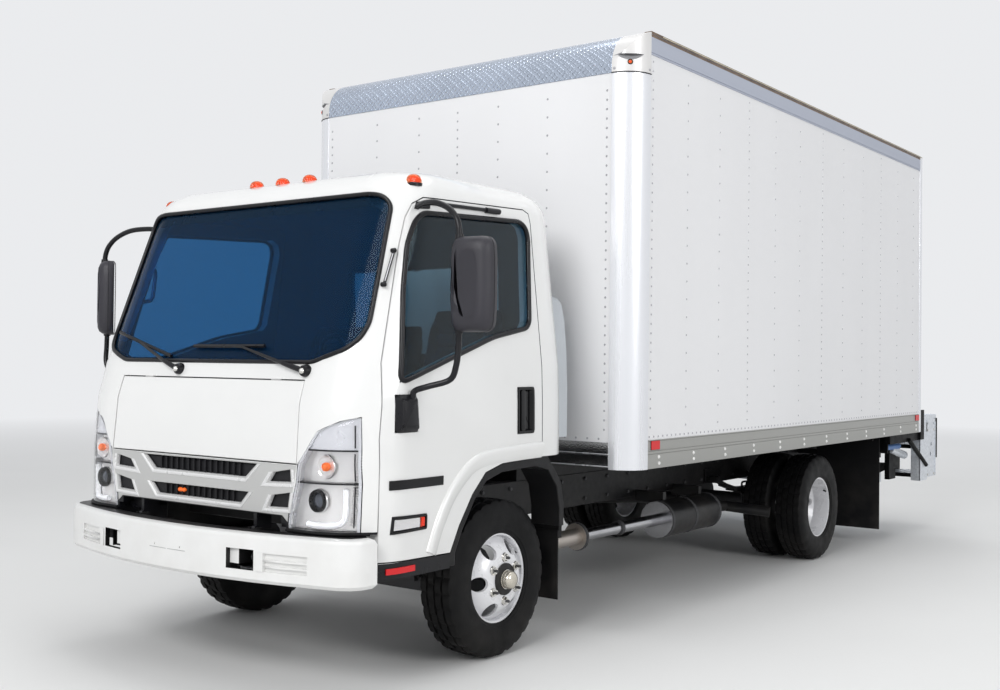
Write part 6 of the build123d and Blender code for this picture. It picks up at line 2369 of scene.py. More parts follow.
@dataclass
class Wheels:
    """Tyres with tread, pressed steel rims, nuts and hubs."""

    steps: int = 120
    front_x: float = 0.832
    rear_seat: float = 0.825
    disc_offset: float = 0.127
    # distance across the tyre, radius, what cross grooves do to it
    tread: tuple = (
        (-0.082, 0.2155, Ring.PLAIN), (-0.094, 0.2200, Ring.PLAIN), (-0.099, 0.2330, Ring.PLAIN),
        (-0.1015, 0.2345, Ring.PLAIN), (-0.1045, 0.2570, Ring.PLAIN), (-0.1075, 0.2900, Ring.PLAIN),
        (-0.1075, 0.3180, Ring.PLAIN), (-0.1045, 0.3400, Ring.PLAIN), (-0.0995, 0.3560, Ring.SHOULDER),
        (-0.0925, 0.3700, Ring.SHOULDER), (-0.0850, 0.3792, Ring.SHOULDER), (-0.0500, 0.3825, Ring.SHOULDER),
        (-0.0480, 0.3730, Ring.PLAIN), (-0.0400, 0.3730, Ring.PLAIN), (-0.0380, 0.3838, Ring.RIB),
        (-0.0055, 0.384273, Ring.RIB), (-0.0040, 0.3740, Ring.PLAIN),
    )
    disc: tuple = (
        (-0.084, 0.2190), (-0.0805, 0.2208), (0.0790, 0.2208), (0.0838, 0.2195), (0.0838, 0.2140),
        (0.0790, 0.2085), (0.0500, 0.2060), (0.0580, 0.2000), (0.0760, 0.1880), (0.0960, 0.1690),
        (0.1130, 0.1470), (0.1235, 0.1280), (0.1268, 0.1120), (0.1268, 0.0620), (0.1155, 0.0620),
        (0.1155, 0.1080), (0.1110, 0.1240), (0.1000, 0.1420), (0.0830, 0.1620), (0.0640, 0.1800),
        (0.0450, 0.1960), (0.0330, 0.2055), (-0.0838, 0.2075),
    )

    def tyre(self, draft: Draft, x: float, y: float) -> None:
        """Adds a tyre whose shoulder and ribs are cut by cross grooves.

        Args:
            draft: The draft to add to.
            x: Its middle's place across the truck.
            y: Its axle's place along the truck.
        """
        half = list(self.tread)
        profile = half + [(-across, radius, kind) for across, radius, kind in reversed(half)]
        rings = []
        for across, radius, kind in profile:
            ring = []
            for step in range(self.steps):
                turn = 2 * math.pi * (step + 0.5) / self.steps
                shift = 2 if across > 0 else 0
                shoulder = kind is Ring.SHOULDER and step % 4 == 3
                cut = shoulder or (kind is Ring.RIB and (step + shift) % 4 == 1)
                reach = radius - (0.0085 if cut else 0.0)
                ring.append((x + across, y + reach * math.sin(turn), AXLE_Z - reach * math.cos(turn)))
            rings.append(ring)
        draft.loops(rings, closed=True)

    def disc_mesh(self, name: str, parts: tuple, y: float) -> bpy.types.Mesh:
        """Rims with their hand holes cut, as one mesh.

        Args:
            name: The mesh's name.
            parts: (middle's place across the truck, way its disc stands off) of each rim.
            y: The axle's place along the truck.

        Returns:
            The mesh.
        """
        rims, holes = Draft(name), Draft(f"{name}_holes")
        for x, way in parts:
            rims.turned((x, y, AXLE_Z), Axis.X, self.disc, 96, closed=True, way=way)
        middle, way = parts[0]
        low, high = middle + way * 0.02, middle + way * 0.20
        if len(parts) > 1:
            low, high = parts[0][0] + 0.02, parts[1][0] - 0.02
        for index in range(6):
            turn = math.radians(3 + 60 * index)
            spot = (0.0, y + 0.162 * math.cos(turn), AXLE_Z + 0.162 * math.sin(turn))
            holes.turned(spot, Axis.X, [(low, 0.0355), (high, 0.0355)], 28)
        return carved(outward(rims.mesh()), holes)

    def nuts(self, name: str, body: str, x: float, side: Side, y: float) -> None:
        """Sets the wheel nuts and their studs.

        Args:
            name: The piece's name.
            body: Name of the body that carries them.
            x: Place of the wheel's face across the truck.
            side: The truck's side, which they face.
            y: The axle's place along the truck.
        """
        spots = []
        for index in range(6):
            turn = math.radians(90 + 60 * index)
            spots.append(((x, y + 0.105 * math.cos(turn), AXLE_Z + 0.105 * math.sin(turn)), (side, 0, 0)))
        studs().piece(f"{name}_nuts_{side.label}", body, spots, 0.0185, 0.018, NUT_CHROME, 6, 0.88)
        studs().piece(f"{name}_washers_{side.label}", body, spots, 0.0235, 0.005, NUT_CHROME, 20, 0.92)
        studs().piece(f"{name}_studs_{side.label}", body, spots, 0.0085, 0.030, CAST_IRON, 10, 0.8)

    def front(self, side: Side) -> None:
        """Builds one front wheel.

        Args:
            side: The truck's side.
        """
        body = f"front_wheel_{side.label}"
        x = side * self.front_x
        tyre = Draft(f"front_tread_{side.label}", TYRE_RUBBER)
        self.tyre(tyre, x, FRONT_AXLE_Y)
        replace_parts(tyre.piece(body, smooth=32), f"front_tyre_{side.label}")
        rim = dress(
            self.disc_mesh(f"front_wheel_disc_{side.label}", ((x, side),), FRONT_AXLE_Y),
            f"front_wheel_disc_{side.label}", body, (WHEEL_SILVER,), 0.0018, 30,
        )
        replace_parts(rim, f"front_rim_{side.label}")
        hub = Draft(f"front_hub_{side.label}", HUB_BLACK, HUB_CREAM, NUT_CHROME)
        centre = (x, FRONT_AXLE_Y, AXLE_Z)
        steps = ((0.058, 0.0775), (0.1345, 0.0775), (0.1368, 0.0740), (0.1368, 0.0480), (0.1300, 0.0465))
        hub.turned(centre, Axis.X, steps, 40, 0, way=side)
        steps = (
            (0.130, 0.0445), (0.160, 0.0440), (0.172, 0.0420), (0.182, 0.0350), (0.187, 0.0220),
            (0.1885, 0.006),
        )
        hub.turned(centre, Axis.X, steps, 36, 1, way=side)
        steps = ((0.1350, 0.0470), (0.1420, 0.0470), (0.1420, 0.0440), (0.1350, 0.0440))
        hub.turned(centre, Axis.X, steps, 36, 2, closed=True, way=side)
        hub.piece(body, smooth=40)
        self.lip(f"front_wheel_lip_{side.label}", body, x, side, FRONT_AXLE_Y)
        self.nuts("front_wheel", body, x + side * self.disc_offset, side, FRONT_AXLE_Y)

    def lip(self, name: str, body: str, x: float, side: Side, y: float) -> None:
        """Adds the bright rolled edge of a rim and its valve.

        Args:
            name: The piece's name.
            body: Name of the body that carries it.
            x: The rim's middle across the truck.
            side: The way that the edge faces.
            y: The axle's place along the truck.
        """
        draft = Draft(name, WHEEL_SILVER, FLAP_RUBBER, BRIGHT_CHROME)
        rows = ((0.0790, 0.2212), (0.0848, 0.2216), (0.0862, 0.2180), (0.0852, 0.2110), (0.0800, 0.2075))
        draft.turned((x, y, AXLE_Z), Axis.X, rows, 96, 0, closed=True, way=side)
        turn = math.radians(33)
        base = Vector((x + side * 0.060, y + 0.196 * math.cos(turn), AXLE_Z + 0.196 * math.sin(turn)))
        tip = Vector((x + side * 0.100, y + 0.180 * math.cos(turn), AXLE_Z + 0.180 * math.sin(turn)))
        draft.tube([base, base.lerp(tip, 0.6)], 0.006, 8, 1)
        draft.tube([base.lerp(tip, 0.6), tip], 0.0035, 8, 2)
        draft.piece(body, smooth=40)

    def rear(self, side: Side) -> None:
        """Builds one pair of rear wheels.

        Args:
            side: The truck's side.
        """
        body = f"rear_wheels_{side.label}"
        inner, outer = side * (self.rear_seat - self.disc_offset), side * (self.rear_seat + self.disc_offset)
        tyres = Draft(f"rear_treads_{side.label}", TYRE_RUBBER)
        for x in (inner, outer):
            self.tyre(tyres, x, REAR_AXLE_Y)
        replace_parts(tyres.piece(body, smooth=32), f"rear_tyres_{side.label}")
        name = f"rear_wheel_discs_{side.label}"
        parts = ((inner, side), (outer, -side))
        if side < 0:
            parts = ((outer, -side), (inner, side))
        rims = dress(self.disc_mesh(name, parts, REAR_AXLE_Y), name, body, (WHEEL_SILVER,), 0.0018, 30)
        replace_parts(rims, f"rear_rims_{side.label}")
        hub = Draft(f"rear_hub_{side.label}", HUB_BLACK, CAST_IRON)
        centre = (side * self.rear_seat, REAR_AXLE_Y, AXLE_Z)
        steps = ((-0.060, 0.0860), (0.0300, 0.0860), (0.0340, 0.0780), (0.0700, 0.0740), (0.0760, 0.0660))
        hub.turned(centre, Axis.X, steps, 40, 0, way=side)
        steps = (
            (0.070, 0.0680), (0.088, 0.0680), (0.091, 0.0640), (0.092, 0.0360), (0.112, 0.0330),
            (0.1195, 0.0240), (0.1198, 0.004),
        )
        hub.turned(centre, Axis.X, steps, 40, 1, way=side)
        hub.piece(body, smooth=40)
        bolts = []
        for index in range(8):
            turn = math.radians(22.5 + 45 * index)
            spot = (
                side * (self.rear_seat + 0.091), REAR_AXLE_Y + 0.052 * math.cos(turn),
                AXLE_Z + 0.052 * math.sin(turn),
            )
            bolts.append((spot, (side, 0, 0)))
        studs().piece(f"rear_hub_bolts_{side.label}", body, bolts, 0.0085, 0.008, CAST_IRON, 6, 0.9)
        self.lip(f"rear_wheel_lip_{side.label}", body, outer, side, REAR_AXLE_Y)
        self.nuts("rear_wheel", body, side * (self.rear_seat + 0.0125), side, REAR_AXLE_Y)

    def build(self) -> None:
        """Builds all six wheels."""
        for side in Side:
            self.front(side)
            self.rear(side)


@dataclass
class Chassis:
    """Frame, axles, springs, tank, exhaust and mud flaps."""

    rail_x: float = 0.432
    tank: tuple = ((-0.900, -0.470), (-1.413, -0.513), (0.400, 0.740))
    # distance behind the front axle, radius, width
    exhaust_bands: tuple = (
        (1.135, 0.082, 0.020), (2.10, 0.1205, 0.030), (2.42, 0.1205, 0.030), (2.76, 0.1205, 0.030),
        (1.60, 0.046, 0.030),
    )
    exhaust_x: float = 0.640
    exhaust_z: float = 0.430

    def frame(self) -> None:
        """Paints the frame and the running gear, and bolts it together."""
        for name, finish, bevel, smooth in (
            ("frame_rails", FRAME_BLACK, 0.003, 20),
            ("engine_block", CAST_IRON, 0.012, 25),
            ("drive_shaft", FRAME_BLACK, 0.003, 35),
            ("front_axle", CAST_IRON, 0.004, 35),
            ("rear_axle", CAST_IRON, 0.004, 35),
        ):
            node_copy(name, "root", finish, bevel=bevel, smooth=smooth)
        node_copy("tie_rod", "tie_rod", CAST_IRON, bevel=0.001, smooth=50)
        for side in Side:
            name = f"knuckle_{side.label}"
            node_copy(name, name, CAST_IRON, bevel=0.002, smooth=35)
        bolts = []
        for side in Side:
            for index in range(24):
                y = aft(-0.80 + index * 0.26)
                bolts += [((side * self.rail_x, y, z), (side, 0, 0)) for z in (0.600, 0.720)]
        studs().piece("frame_bolts", "root", bolts, 0.013, 0.010, CAST_IRON, 6, 0.85)

    def springs(self) -> None:
        """Draws the leaves apart and binds each pack."""
        node_copy("leaf_springs", "root", FRAME_BLACK, bevel=0.0025, smooth=30)
        binds = Draft("spring_binds", CAST_IRON)
        for x, middle, height in ((0.397, FRONT_AXLE_Y, 0.441), (0.500, REAR_AXLE_Y, 0.470)):
            for side in Side:
                for shift in (-0.075, 0.075):
                    span = (side * x - 0.043, side * x + 0.043)
                    turns = [math.pi * step / 8 for step in range(9)]
                    arch = [
                        (side * x - 0.043 * math.cos(t), middle + shift, height + 0.055 + 0.016 * math.sin(t))
                        for t in turns
                    ]
                    path = [
                        (span[0], middle + shift, height - 0.10), *arch,
                        (span[1], middle + shift, height - 0.10),
                    ]
                    binds.tube(path, 0.008, 8)
        binds.piece("root", smooth=50)

    def fuel_tank(self) -> None:
        """Rounds the tank and adds its straps and cap."""
        node_copy("fuel_tank", "root", TANK_BLACK, bevel=0.006, smooth=30)
        (low_x, high_x), (low_y, high_y), (low_z, high_z) = self.tank
        trim = Draft("tank_trim", FRAME_BLACK, CAST_IRON)
        for share in (0.22, 0.78):
            y = low_y + (high_y - low_y) * share
            outline = rounded([(low_x, low_z), (high_x, low_z), (high_x, high_z), (low_x, high_z)], 0.05, 5)
            rings = []
            for out, shift in ((0.0004, -0.022), (0.0035, -0.020), (0.0035, 0.020), (0.0004, 0.022)):
                rings.append([(x, y + shift, z) for x, z in shrunk(outline, -out)])
            trim.loops(rings, caps=False)
        cap = (low_x + 0.10, (low_y + high_y) / 2, high_z)
        trim.turned(cap, Axis.Z, [(-0.004, 0.040), (0.012, 0.040), (0.016, 0.036), (0.018, 0.012)], 20, 1)
        trim.piece("root", smooth=40)

    def exhaust(self) -> None:
        """Gives the exhaust its converter, bands, flanges and hangers."""
        node_copy(
            "exhaust", "root", EXHAUST_STEEL, CAST_IRON, PIPE_BRIGHT, TANK_BLACK, bevel=0.004, smooth=40,
            choose=lambda spot, normal: sum(spot.y > aft(limit) for limit in (1.118, 1.152, 2.079)),
        )
        bands = Draft("exhaust_bands", CAST_IRON, EXHAUST_STEEL)
        centre = (self.exhaust_x, 0.0, self.exhaust_z)
        for y, radius, width in self.exhaust_bands:
            at = aft(y)
            rows = (
                (at - width / 2, radius - 0.004), (at - width / 2 + 0.003, radius),
                (at + width / 2 - 0.003, radius), (at + width / 2, radius - 0.004),
            )
            bands.turned(centre, Axis.Y, rows, 32, 0)
        cone = aft(0.80)
        rows = ((cone - 0.02, 0.040), (cone, 0.050), (cone + 0.03, 0.0475), (cone + 0.32, 0.0475))
        bands.turned(centre, Axis.Y, rows, 28, 1)
        bands.piece("root", smooth=45)

    def flaps(self) -> None:
        """Hangs the mud flaps with their stiff edges and bolts."""
        node_copy("mud_flaps", "root", FLAP_RUBBER, bevel=0.002, smooth=25)
        bolts = []
        for side in Side:
            for step in range(5):
                bolts.append(((side * (0.66 + step * 0.105), aft(4.870), 0.830), (0, -1, 0)))
                bolts.append(((side * (0.66 + step * 0.105), aft(4.878), 0.830), (0, 1, 0)))
            for step in range(3):
                bolts.append(((side * (0.78 + step * 0.06), aft(0.513), 0.530), (0, 1, 0)))
        studs().piece("flap_bolts", "root", bolts, 0.010, 0.006, NUT_CHROME, 6, 0.85)

    def build(self) -> None:
        """Builds and dresses everything below the body."""
        self.frame()
        self.springs()
        self.fuel_tank()
        self.exhaust()
        self.flaps()


@dataclass
class Liftgate:
    """The tail lift: deck, galvanised step frames, arms and folded platform."""

    step_front: float = 3.367
    outer_x: float = 1.190
    cylinder_x: float = 0.520
    pin_x: float = 0.8234
    # across from the step's outer plate, along, height: low corner, high corner, finish
    bars: tuple = (
        # front upright: an angle over the plate's edge, and the folded edges of the plate
        ((-0.004, 3.258, 0.442), (0.008, 3.446, 0.862), 0),
        ((-0.075, 3.258, 0.442), (0.004, 3.268, 0.862), 0),
        ((-0.001, 3.452, 0.462), (0.003, 3.462, 0.958), 1),
        ((-0.001, 3.682, 0.462), (0.006, 3.700, 0.962), 0),
        ((-0.001, 3.450, 0.940), (0.006, 3.700, 0.966), 0),
        # black strip along the rear edge, and the black bar that stands at the body's corner
        ((-0.004, 3.703, 0.620), (0.010, 3.7249, 0.972), 1),
        ((-0.004, 3.236, 0.800), (0.016, 3.328, 1.055), 1),
        # beam under the body's rear end, hanger, and the bracket below it
        ((-0.050, 2.500, 0.795), (-0.004, 3.400, 0.8695), 1),
        ((-0.120, 2.560, 0.715), (-0.045, 2.580, 0.8695), 1),
        ((-0.150, 2.800, 0.480), (-0.110, 2.960, 0.735), 1),
    )
    # ends in the same places, radius, sides, finish: strut, blue cylinder, silver motor
    rods: tuple = (
        ((0.004, 2.950, 0.812), (0.012, 3.400, 0.572), 0.019, 8, 1),
        ((-0.090, 2.575, 0.758), (-0.090, 2.960, 0.756), 0.026, 14, 2),
        ((-0.110, 2.820, 0.735), (-0.110, 3.180, 0.665), 0.034, 14, 0),
    )

    def finish(self, spot: Vector, normal: Vector) -> int:
        """Picks a face's finish.

        Args:
            spot: The face's centre.
            normal: The face's normal.

        Returns:
            0 for tread plate, 1 for galvanised steel, 2 for black paint.
        """
        if spot.z > 0.9645:
            return 0
        steps = abs(spot.x) > 0.85 and spot.y > self.step_front - 0.01
        return 1 if steps and (abs(spot.x) > 1.13 or abs(normal.z) > 0.5) else 2

    def holes(self) -> Draft:
        """The holes through the outer plates of the step frames.

        Returns:
            The round bars that cut them.
        """
        cutter = Draft("step_holes")
        for side in Side:
            for y, z, radius in (
                (3.587, 0.746, 0.018), (3.568, 0.659, 0.018), (3.488, 0.931, 0.010), (3.648, 0.925, 0.010),
            ):
                cutter.turned((side * self.outer_x, y, z), Axis.X, [(-0.03, radius), (0.03, radius)], 20)
        return cutter

    def outside(self, side: Side, place: Point) -> Point:
        """A place given across from the outer plate of one step."""
        across, y, z = place
        return (side * (self.outer_x + across), y, z)

    def structure(self) -> None:
        """Dresses the lift's frame and adds its posts, strips and struts."""
        node_copy(
            "liftgate_frame", "root", TREAD_ALUMINIUM, ZINC, LIFT_BLACK, bevel=0.0025, smooth=25,
            cutter=self.holes(), choose=self.finish,
        )
        extra = Draft("liftgate_trim", ZINC, LIFT_BLACK, HYDRAULIC_BLUE, BRIGHT_CHROME)
        for side in Side:
            for low, high, slot in self.bars:
                extra.box(self.outside(side, low), self.outside(side, high), slot)
            for near, far, radius, sides, slot in self.rods:
                extra.tube([self.outside(side, near), self.outside(side, far)], radius, sides, slot)
            # Cylinder from the hanger to the arm, with its rod
            foot = Vector((side * self.cylinder_x, 2.880, 0.700))
            eye = Vector((side * self.cylinder_x, 3.360, 0.560))
            extra.tube([foot, foot.lerp(eye, 0.58)], 0.034, 16, 2)
            extra.tube([foot.lerp(eye, 0.56), foot.lerp(eye, 0.66)], 0.037, 16, 3)
            extra.tube([foot.lerp(eye, 0.64), eye], 0.017, 12, 3)
        extra.piece("root", 0.0012, smooth=35)
        bolts = []
        for side in Side:
            x = side * (self.outer_x + 0.0002)
            bolts += [((x, y, z), (side, 0, 0)) for y in (3.480, 3.660) for z in (0.480, 0.870)]
        studs().piece("step_bolts", "root", bolts, 0.011, 0.007, NUT_CHROME, 6, 0.85)

    def step_grips(self) -> None:
        """Grips the treads of the steps with raised teeth."""
        places = []
        for side in Side:
            for z in (0.495, 0.745):
                for row in range(6):
                    for column in range(5):
                        y = self.step_front + 0.03 + row * 0.057
                        places.append(((side * (0.91 + column * 0.055), y, z), (0, 0, 1)))
        studs().piece("step_teeth", "root", places, 0.012, 0.005, ZINC, 8, 0.55)

    def moving(self) -> None:
        """Dresses the arms and the folded platform."""
        node_copy("liftgate_arms", "liftgate_arms", LIFT_BLACK, bevel=0.003, smooth=30)
        node_copy(
            "liftgate_platform", "liftgate_platform", TREAD_ALUMINIUM, ZINC, bevel=0.002, smooth=25,
            choose=lambda spot, normal: int(abs(normal.z) < 0.5),
        )
        pins = Draft("arm_pins", ZINC)
        for side in Side:
            centre = (side * self.pin_x, 2.837, 0.500)
            pins.turned(centre, Axis.X, [(0.0, 0.030), (0.006, 0.030), (0.008, 0.026)], 18, way=side)
        pins.piece("liftgate_arms", smooth=40)

    def build(self) -> None:
        """Builds and dresses the tail lift."""
        self.structure()
        self.step_grips()
        self.moving()


@dataclass
class Interior:
    """Padded seats, dashboard and steering wheel."""

    # middle across, width, top of the back, whether it has a headrest
    seats: tuple = ((0.430, 0.470, 1.715, True), (-0.300, 0.810, 1.635, False))
    seat_low: float = 1.034
    wheel_tilt: float = 38.0

    def pad(
        self, draft: Draft, centre: Vector, across: Vector, along: Vector, size: Point, channels: tuple,
        slot: int = 0
    ) -> None:
        """Adds a crowned cushion, drawn in at its sewn channels.

        Args:
            draft: The draft to add to.
            centre: Its middle.
            across: Direction of its first size.
            along: Direction of its second size; the third is at right angles to both.
            size: Its three sizes.
            channels: Where seams run over it, as shares of the second size from -1 to 1.
            slot: Number of the finish.
        """
        up = across.cross(along).normalized()
        rings = []
        for row in range(41):
            place = -1 + row / 20
            edge = (1 - abs(place) ** 5) ** 0.42 if abs(place) < 1 else 0.0
            edge = max(edge, 0.30)
            sewn = max((math.exp(-((place - channel) / 0.035) ** 2) for channel in channels), default=0.0)
            reach = math.copysign(1 - (1 - abs(place)) * 0.995, place)
            ring = []
            for step in range(40):
                turn = 2 * math.pi * step / 40
                cos, sin = math.cos(turn), math.sin(turn)
                x = math.copysign(abs(cos) ** 0.42, cos)
                z = math.copysign(abs(sin) ** 0.55, sin)
                crown = 1 + 0.10 * (1 - x * x) * (1 - place * place) if z > 0 else 1.0
                side_swell = 1 - 0.05 * sewn
                ring.append(
                    centre
                    + across * size[0] / 2 * x * (0.955 + 0.045 * edge) * side_swell
                    + along * size[1] / 2 * reach
                    + up * size[2] / 2 * z * edge * crown * 0.92 * (1 - 0.16 * sewn)
                )
            rings.append(ring)
        draft.loops(rings, slot)

    def upholstery(self) -> None:
        """Upholsters the driver's seat and the double seat."""
        soft = Draft("seat_pads", SEAT_CLOTH, SEAT_PANEL)
        frames = Draft("seat_frames", CABIN_GREY, TRIM_BLACK)
        wide, deep, high = Vector((1, 0, 0)), Vector((0, 1, 0)), Vector((0, 0, 1))
        for x, width, top, rest in self.seats:
            bays = [(x, width)]
            if width > 0.6:
                bays = [(x - width / 4, width / 2 - 0.004), (x + width / 4, width / 2 - 0.004)]
            for middle, bay in bays:
                base = Vector((middle, aft(-0.022), 1.150))
                self.pad(soft, base, wide, deep, (bay * 0.985, 0.545, 0.150), (-0.34, 0.0, 0.34))
                for side in Side:
                    bolster = base + Vector((side * bay * 0.405, 0.010, 0.012))
                    self.pad(soft, bolster, wide, deep, (bay * 0.17, 0.520, 0.145), (), 1)
                lean = Vector((0, 0.105, top - 1.220)).normalized()
                length = top - 1.225
                back = Vector((middle, aft(0.314), (1.225 + top) / 2))
                self.pad(soft, back, wide, lean, (bay * 0.960, length, 0.112), (-0.45, -0.15, 0.15, 0.45))
                for side in Side:
                    wing = back + Vector((side * bay * 0.395, -0.006, -0.015))
                    self.pad(soft, wing, wide, lean, (bay * 0.165, length * 0.86, 0.118), (), 1)
            frames.box(
                (x - width / 2 + 0.03, aft(-0.27), self.seat_low), (x + width / 2 - 0.03, aft(0.23), 1.085),
                0,
            )
            if rest:
                head = Vector((x, aft(0.376), top + 0.098))
                self.pad(soft, head, wide, high, (0.258, 0.165, 0.088), (0.0,))
                for shift in (-0.06, 0.06):
                    frames.tube(
                        [(x + shift, aft(0.372), top - 0.03), (x + shift, aft(0.378), top + 0.05)], 0.006, 8,
                        1,
                    )
        frames.piece("cab", 0.006, smooth=30)
        seats = soft.piece("cab", smooth=60)
        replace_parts(seats, "seats")

    def panel(self) -> None:
        """Dresses the dashboard with its cluster hood, vents, radio place and shift lever."""
        node_copy("dashboard", "cab", CABIN_GREY, bevel=0.012, smooth=30)
        trim = Draft("dash_trim", TRIM_BLACK, CABIN_GREY, BRIGHT_CHROME, CABIN_PALE)
        face = aft(-0.641)
        hood = [
            (0.250, 1.330), (0.610, 1.330), (0.590, 1.400), (0.540, 1.425), (0.320, 1.425), (0.270, 1.400),
        ]
        hood = rounded(hood, 0.03, 3)
        layers = (
            (-0.110, 0.010, 0.012), (-0.020, 0.0, 0.0), (0.006, 0.004, 0.0), (0.004, 0.014, 0.002),
            (-0.030, 0.018, 0.004),
        )
        trim.loops(
            [[(x, face + y, z - lift) for x, z in shrunk(hood, inset)] for y, inset, lift in layers], 1
        )
        for x, z, width, height in (
            (-0.62, 1.285, 0.15, 0.07), (-0.17, 1.285, 0.11, 0.07), (0.16, 1.285, 0.11, 0.07),
            (0.745, 1.285, 0.12, 0.07),
        ):
            trim.box(
                (x - width / 2, face - 0.006, z - height / 2), (x + width / 2, face + 0.004, z + height / 2),
                0,
            )
            for rib in range(5):
                rib_z = z - height / 2 + height * (rib + 0.5) / 5
                trim.box(
                    (x - width / 2 + 0.006, face + 0.003, rib_z - 0.002),
                    (x + width / 2 - 0.006, face + 0.008, rib_z + 0.002), 1,
                )
        trim.box((-0.100, face - 0.004, 1.185), (0.095, face + 0.004, 1.240), 0)
        for knob in (-0.07, 0.0, 0.07):
            trim.turned((knob, face, 1.145), Axis.Y, [(-0.004, 0.018), (0.014, 0.017), (0.018, 0.013)], 18, 0)
        trim.tube([(0.0, aft(-0.70), 1.08), (0.0, aft(-0.66), 1.16)], 0.010, 10, 2)
        trim.piece("cab", 0.001, smooth=40)

    def steering(self) -> None:
        """Turns the steering wheel's rim, spokes and hub."""
        centre = Vector((0.430, aft(-0.520), 1.400))
        tilt = math.radians(90 - self.wheel_tilt)
        axis = Vector((0, math.sin(tilt), math.cos(tilt)))
        across, up = Vector((1, 0, 0)), axis.cross(Vector((1, 0, 0)))
        wheel = Draft("steering_rim", TRIM_BLACK, CABIN_GREY, BRIGHT_CHROME)
        middle = centre + axis * 0.012
        turns = [2 * math.pi * step / 48 for step in range(48)]
        rim = [middle + across * 0.190 * math.cos(t) + up * 0.190 * math.sin(t) for t in turns]
        wheel.tube(rim, 0.0118, 12, 0, closed=True)
        for turn in (math.radians(5), math.radians(175), math.radians(90), math.radians(270)):
            out = across * math.cos(turn) + up * math.sin(turn)
            spoke = [middle + out * 0.045 - axis * 0.004, middle + out * 0.120, middle + out * 0.183]
            wheel.tube(spoke, 0.0105, 8, 0)
        rows = ((-0.036, 0.050), (0.004, 0.057), (0.016, 0.054), (0.022, 0.038), (0.0235, 0.008))
        rings = []
        for along, radius in rows:
            spot = centre + axis * along
            rings.append(
                [spot + across * radius * math.cos(t) + up * radius * math.sin(t) for t in turns[::2]]
            )
        wheel.loops(rings, 1)
        column = [centre - axis * 0.225, centre - axis * 0.05]
        wheel.tube(column, 0.025, 12, 1)
        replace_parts(wheel.piece("cab", smooth=50), "steering_wheel")

    def grab_handle(self) -> None:
        """Fixes the grab handle on the passenger's pillar."""
        bar = Draft("grab_handle", CAST_SILVER)
        path = [
            (-0.915, aft(-0.712), 1.913), (-0.835, aft(-0.718), 1.902), (-0.816, aft(-0.728), 1.880),
            (-0.800, aft(-0.755), 1.762), (-0.815, aft(-0.758), 1.742), (-0.905, aft(-0.745), 1.735),
        ]
        bar.tube(path, 0.011, 8)
        bar.piece("cab", smooth=60)

    def build(self) -> None:
        """Builds the inside of the cab."""
        self.upholstery()
        self.panel()
        self.steering()
        self.grab_handle()


# The studio


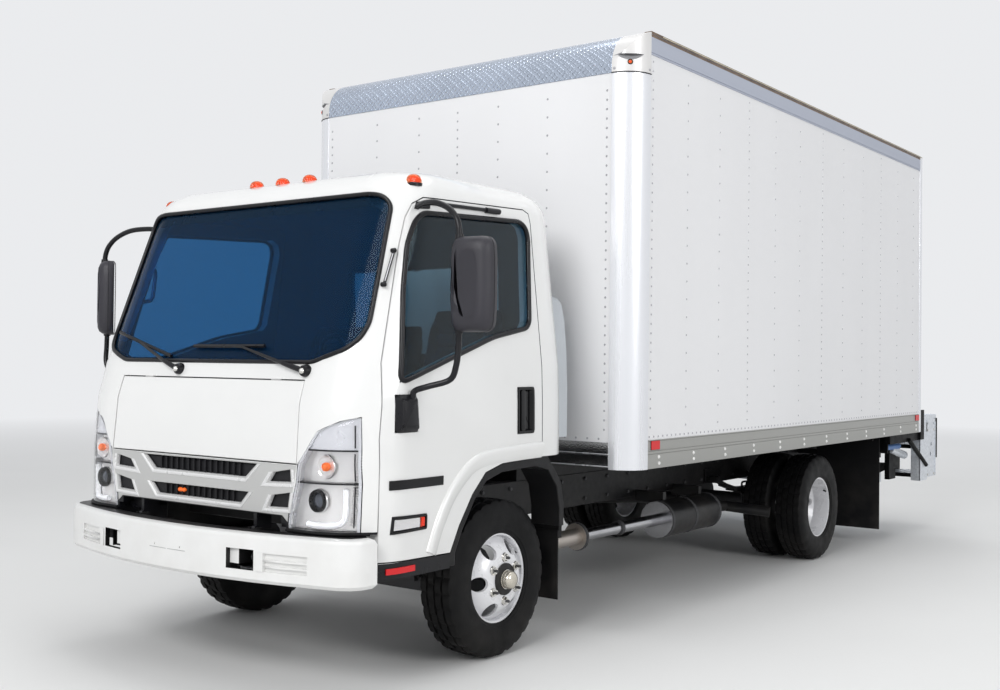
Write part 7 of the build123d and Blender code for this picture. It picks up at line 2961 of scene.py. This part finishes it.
@dataclass
class Studio:
    """Pale floor, soft lamps and the camera at the photograph's viewing angle."""

    lens: float = 1173.4051 / 1000 * 36
    eye: Point = (4.3569, -7.0687, 1.4488)
    azimuth: float = -0.6415
    elevation: float = 0.0128
    roll: float = 0.0107
    backdrop: Colour = (0.87, 0.88, 0.90)
    lamps: tuple = (
        # name, place, size, power
        ("key", (2.5, -13.0, 8.0), 6.0, 800.0),
        ("side", (13.0, -4.0, 6.0), 6.0, 440.0),
        ("top", (0.0, 1.0, 12.0), 9.0, 380.0),
        ("rear", (-6.0, 13.0, 7.0), 6.0, 260.0),
    )

    def camera(self) -> None:
        """Sets the camera where the photograph was taken."""
        flat = math.cos(self.elevation)
        ahead = Vector(
            (math.sin(self.azimuth) * flat, math.cos(self.azimuth) * flat, math.sin(self.elevation))
        )
        right = Vector((math.cos(self.azimuth), -math.sin(self.azimuth), 0))
        up = right.cross(ahead)
        turned = right * math.cos(self.roll) + up * math.sin(self.roll)
        upright = up * math.cos(self.roll) - right * math.sin(self.roll)
        lens = bpy.data.cameras.new("camera")
        lens.lens = self.lens
        lens.sensor_width = 36
        lens.sensor_fit = "HORIZONTAL"
        lens.clip_end = 300
        holder = bpy.data.objects.new("camera", lens)
        rows = Matrix((turned, upright, -ahead)).transposed().to_4x4()
        holder.matrix_world = Matrix.Translation(self.eye) @ rows
        bpy.context.scene.collection.objects.link(holder)
        bpy.context.scene.camera = holder

    def floor(self) -> None:
        """Lays a wide pale floor."""
        mesh = bpy.data.meshes.new("floor")
        corners = [(x, y, -0.002) for x, y in ((-90, -90), (90, -90), (90, 90), (-90, 90))]
        mesh.from_pydata(corners, [], [(0, 1, 2, 3)])
        mesh.materials.append(
            PaleFloor("floor_pale", (0.80, 0.80, 0.79), (0.84, 0.84, 0.83), self.backdrop).material()
        )
        slab = bpy.data.objects.new("floor", mesh)
        bpy.context.scene.collection.objects.link(slab)
        slab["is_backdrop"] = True

    def lights(self) -> None:
        """Hangs the soft lamps and sets the surroundings."""
        for name, spot, size, power in self.lamps:
            lamp = bpy.data.lights.new(name, "AREA")
            lamp.shape = "DISK"
            lamp.size = size
            lamp.energy = power
            holder = bpy.data.objects.new(name, lamp)
            holder.location = spot
            aim = Vector((0, -0.5, 1.2)) - Vector(spot)
            holder.rotation_euler = aim.to_track_quat("-Z", "Y").to_euler()
            bpy.context.scene.collection.objects.link(holder)
        self.surroundings()

    def surroundings(self) -> None:
        """Lights the truck softly from all round, before a plain backdrop."""
        world = bpy.data.worlds.new("surroundings")
        world.use_nodes = True
        bpy.context.scene.world = world
        graph = Graph(world.node_tree)
        rays = graph.node("ShaderNodeLightPath").outputs
        mirrored = graph.maths("MAXIMUM", rays["Is Glossy Ray"], rays["Is Transmission Ray"])
        seen = graph.maths("MAXIMUM", rays["Is Camera Ray"], mirrored)
        soft = graph.node("ShaderNodeBackground", {0: (0.95, 0.97, 1.0, 1), 1: 0.48})
        plain = graph.node("ShaderNodeBackground", {0: (*self.backdrop, 1), 1: 0.95})
        mix = graph.node("ShaderNodeMixShader", {0: seen, 1: soft.outputs[0], 2: plain.outputs[0]})
        graph.node("ShaderNodeOutputWorld", {0: mix.outputs[0]})

    def build(self) -> None:
        """Builds the whole studio."""
        self.camera()
        self.floor()
        self.lights()
        bpy.context.scene.view_settings.view_transform = "Standard"


def plain_bounds() -> dict:
    """Returns:
        The bounds, ready to be written as JSON.
    """

    def plain(value: object) -> object:
        """A value made of plain lists, dicts and numbers alone.

        Args:
            value: The value, with vectors in it.

        Returns:
            The same value with its vectors as lists.
        """
        if isinstance(value, dict):
            return {key: plain(part) for key, part in value.items()}
        if isinstance(value, (str, int, float, bool)) or value is None:
            return value
        return [plain(part) for part in value]

    return plain(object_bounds())


def main() -> None:
    """Builds the truck, sub-assembly by sub-assembly, and its studio."""
    logging.basicConfig(level=logging.INFO, format="%(message)s")
    FRAME.update(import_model())
    sizes = {"before": plain_bounds()}
    assemblies = (
        CabShell(), Grille(), Headlamps(), Bumper(), DoorFittings(), RoofAndWipers(), Interior(),
        CargoBody(), Wheels(), Chassis(), Liftgate(), Studio(),
    )
    for assembly in assemblies:
        before = len(bpy.data.objects)
        assembly.build()
        LOG.info("%s: %d pieces", type(assembly).__name__, len(bpy.data.objects) - before)
    sizes["after"] = plain_bounds()


if __name__ == "__main__":
    main()
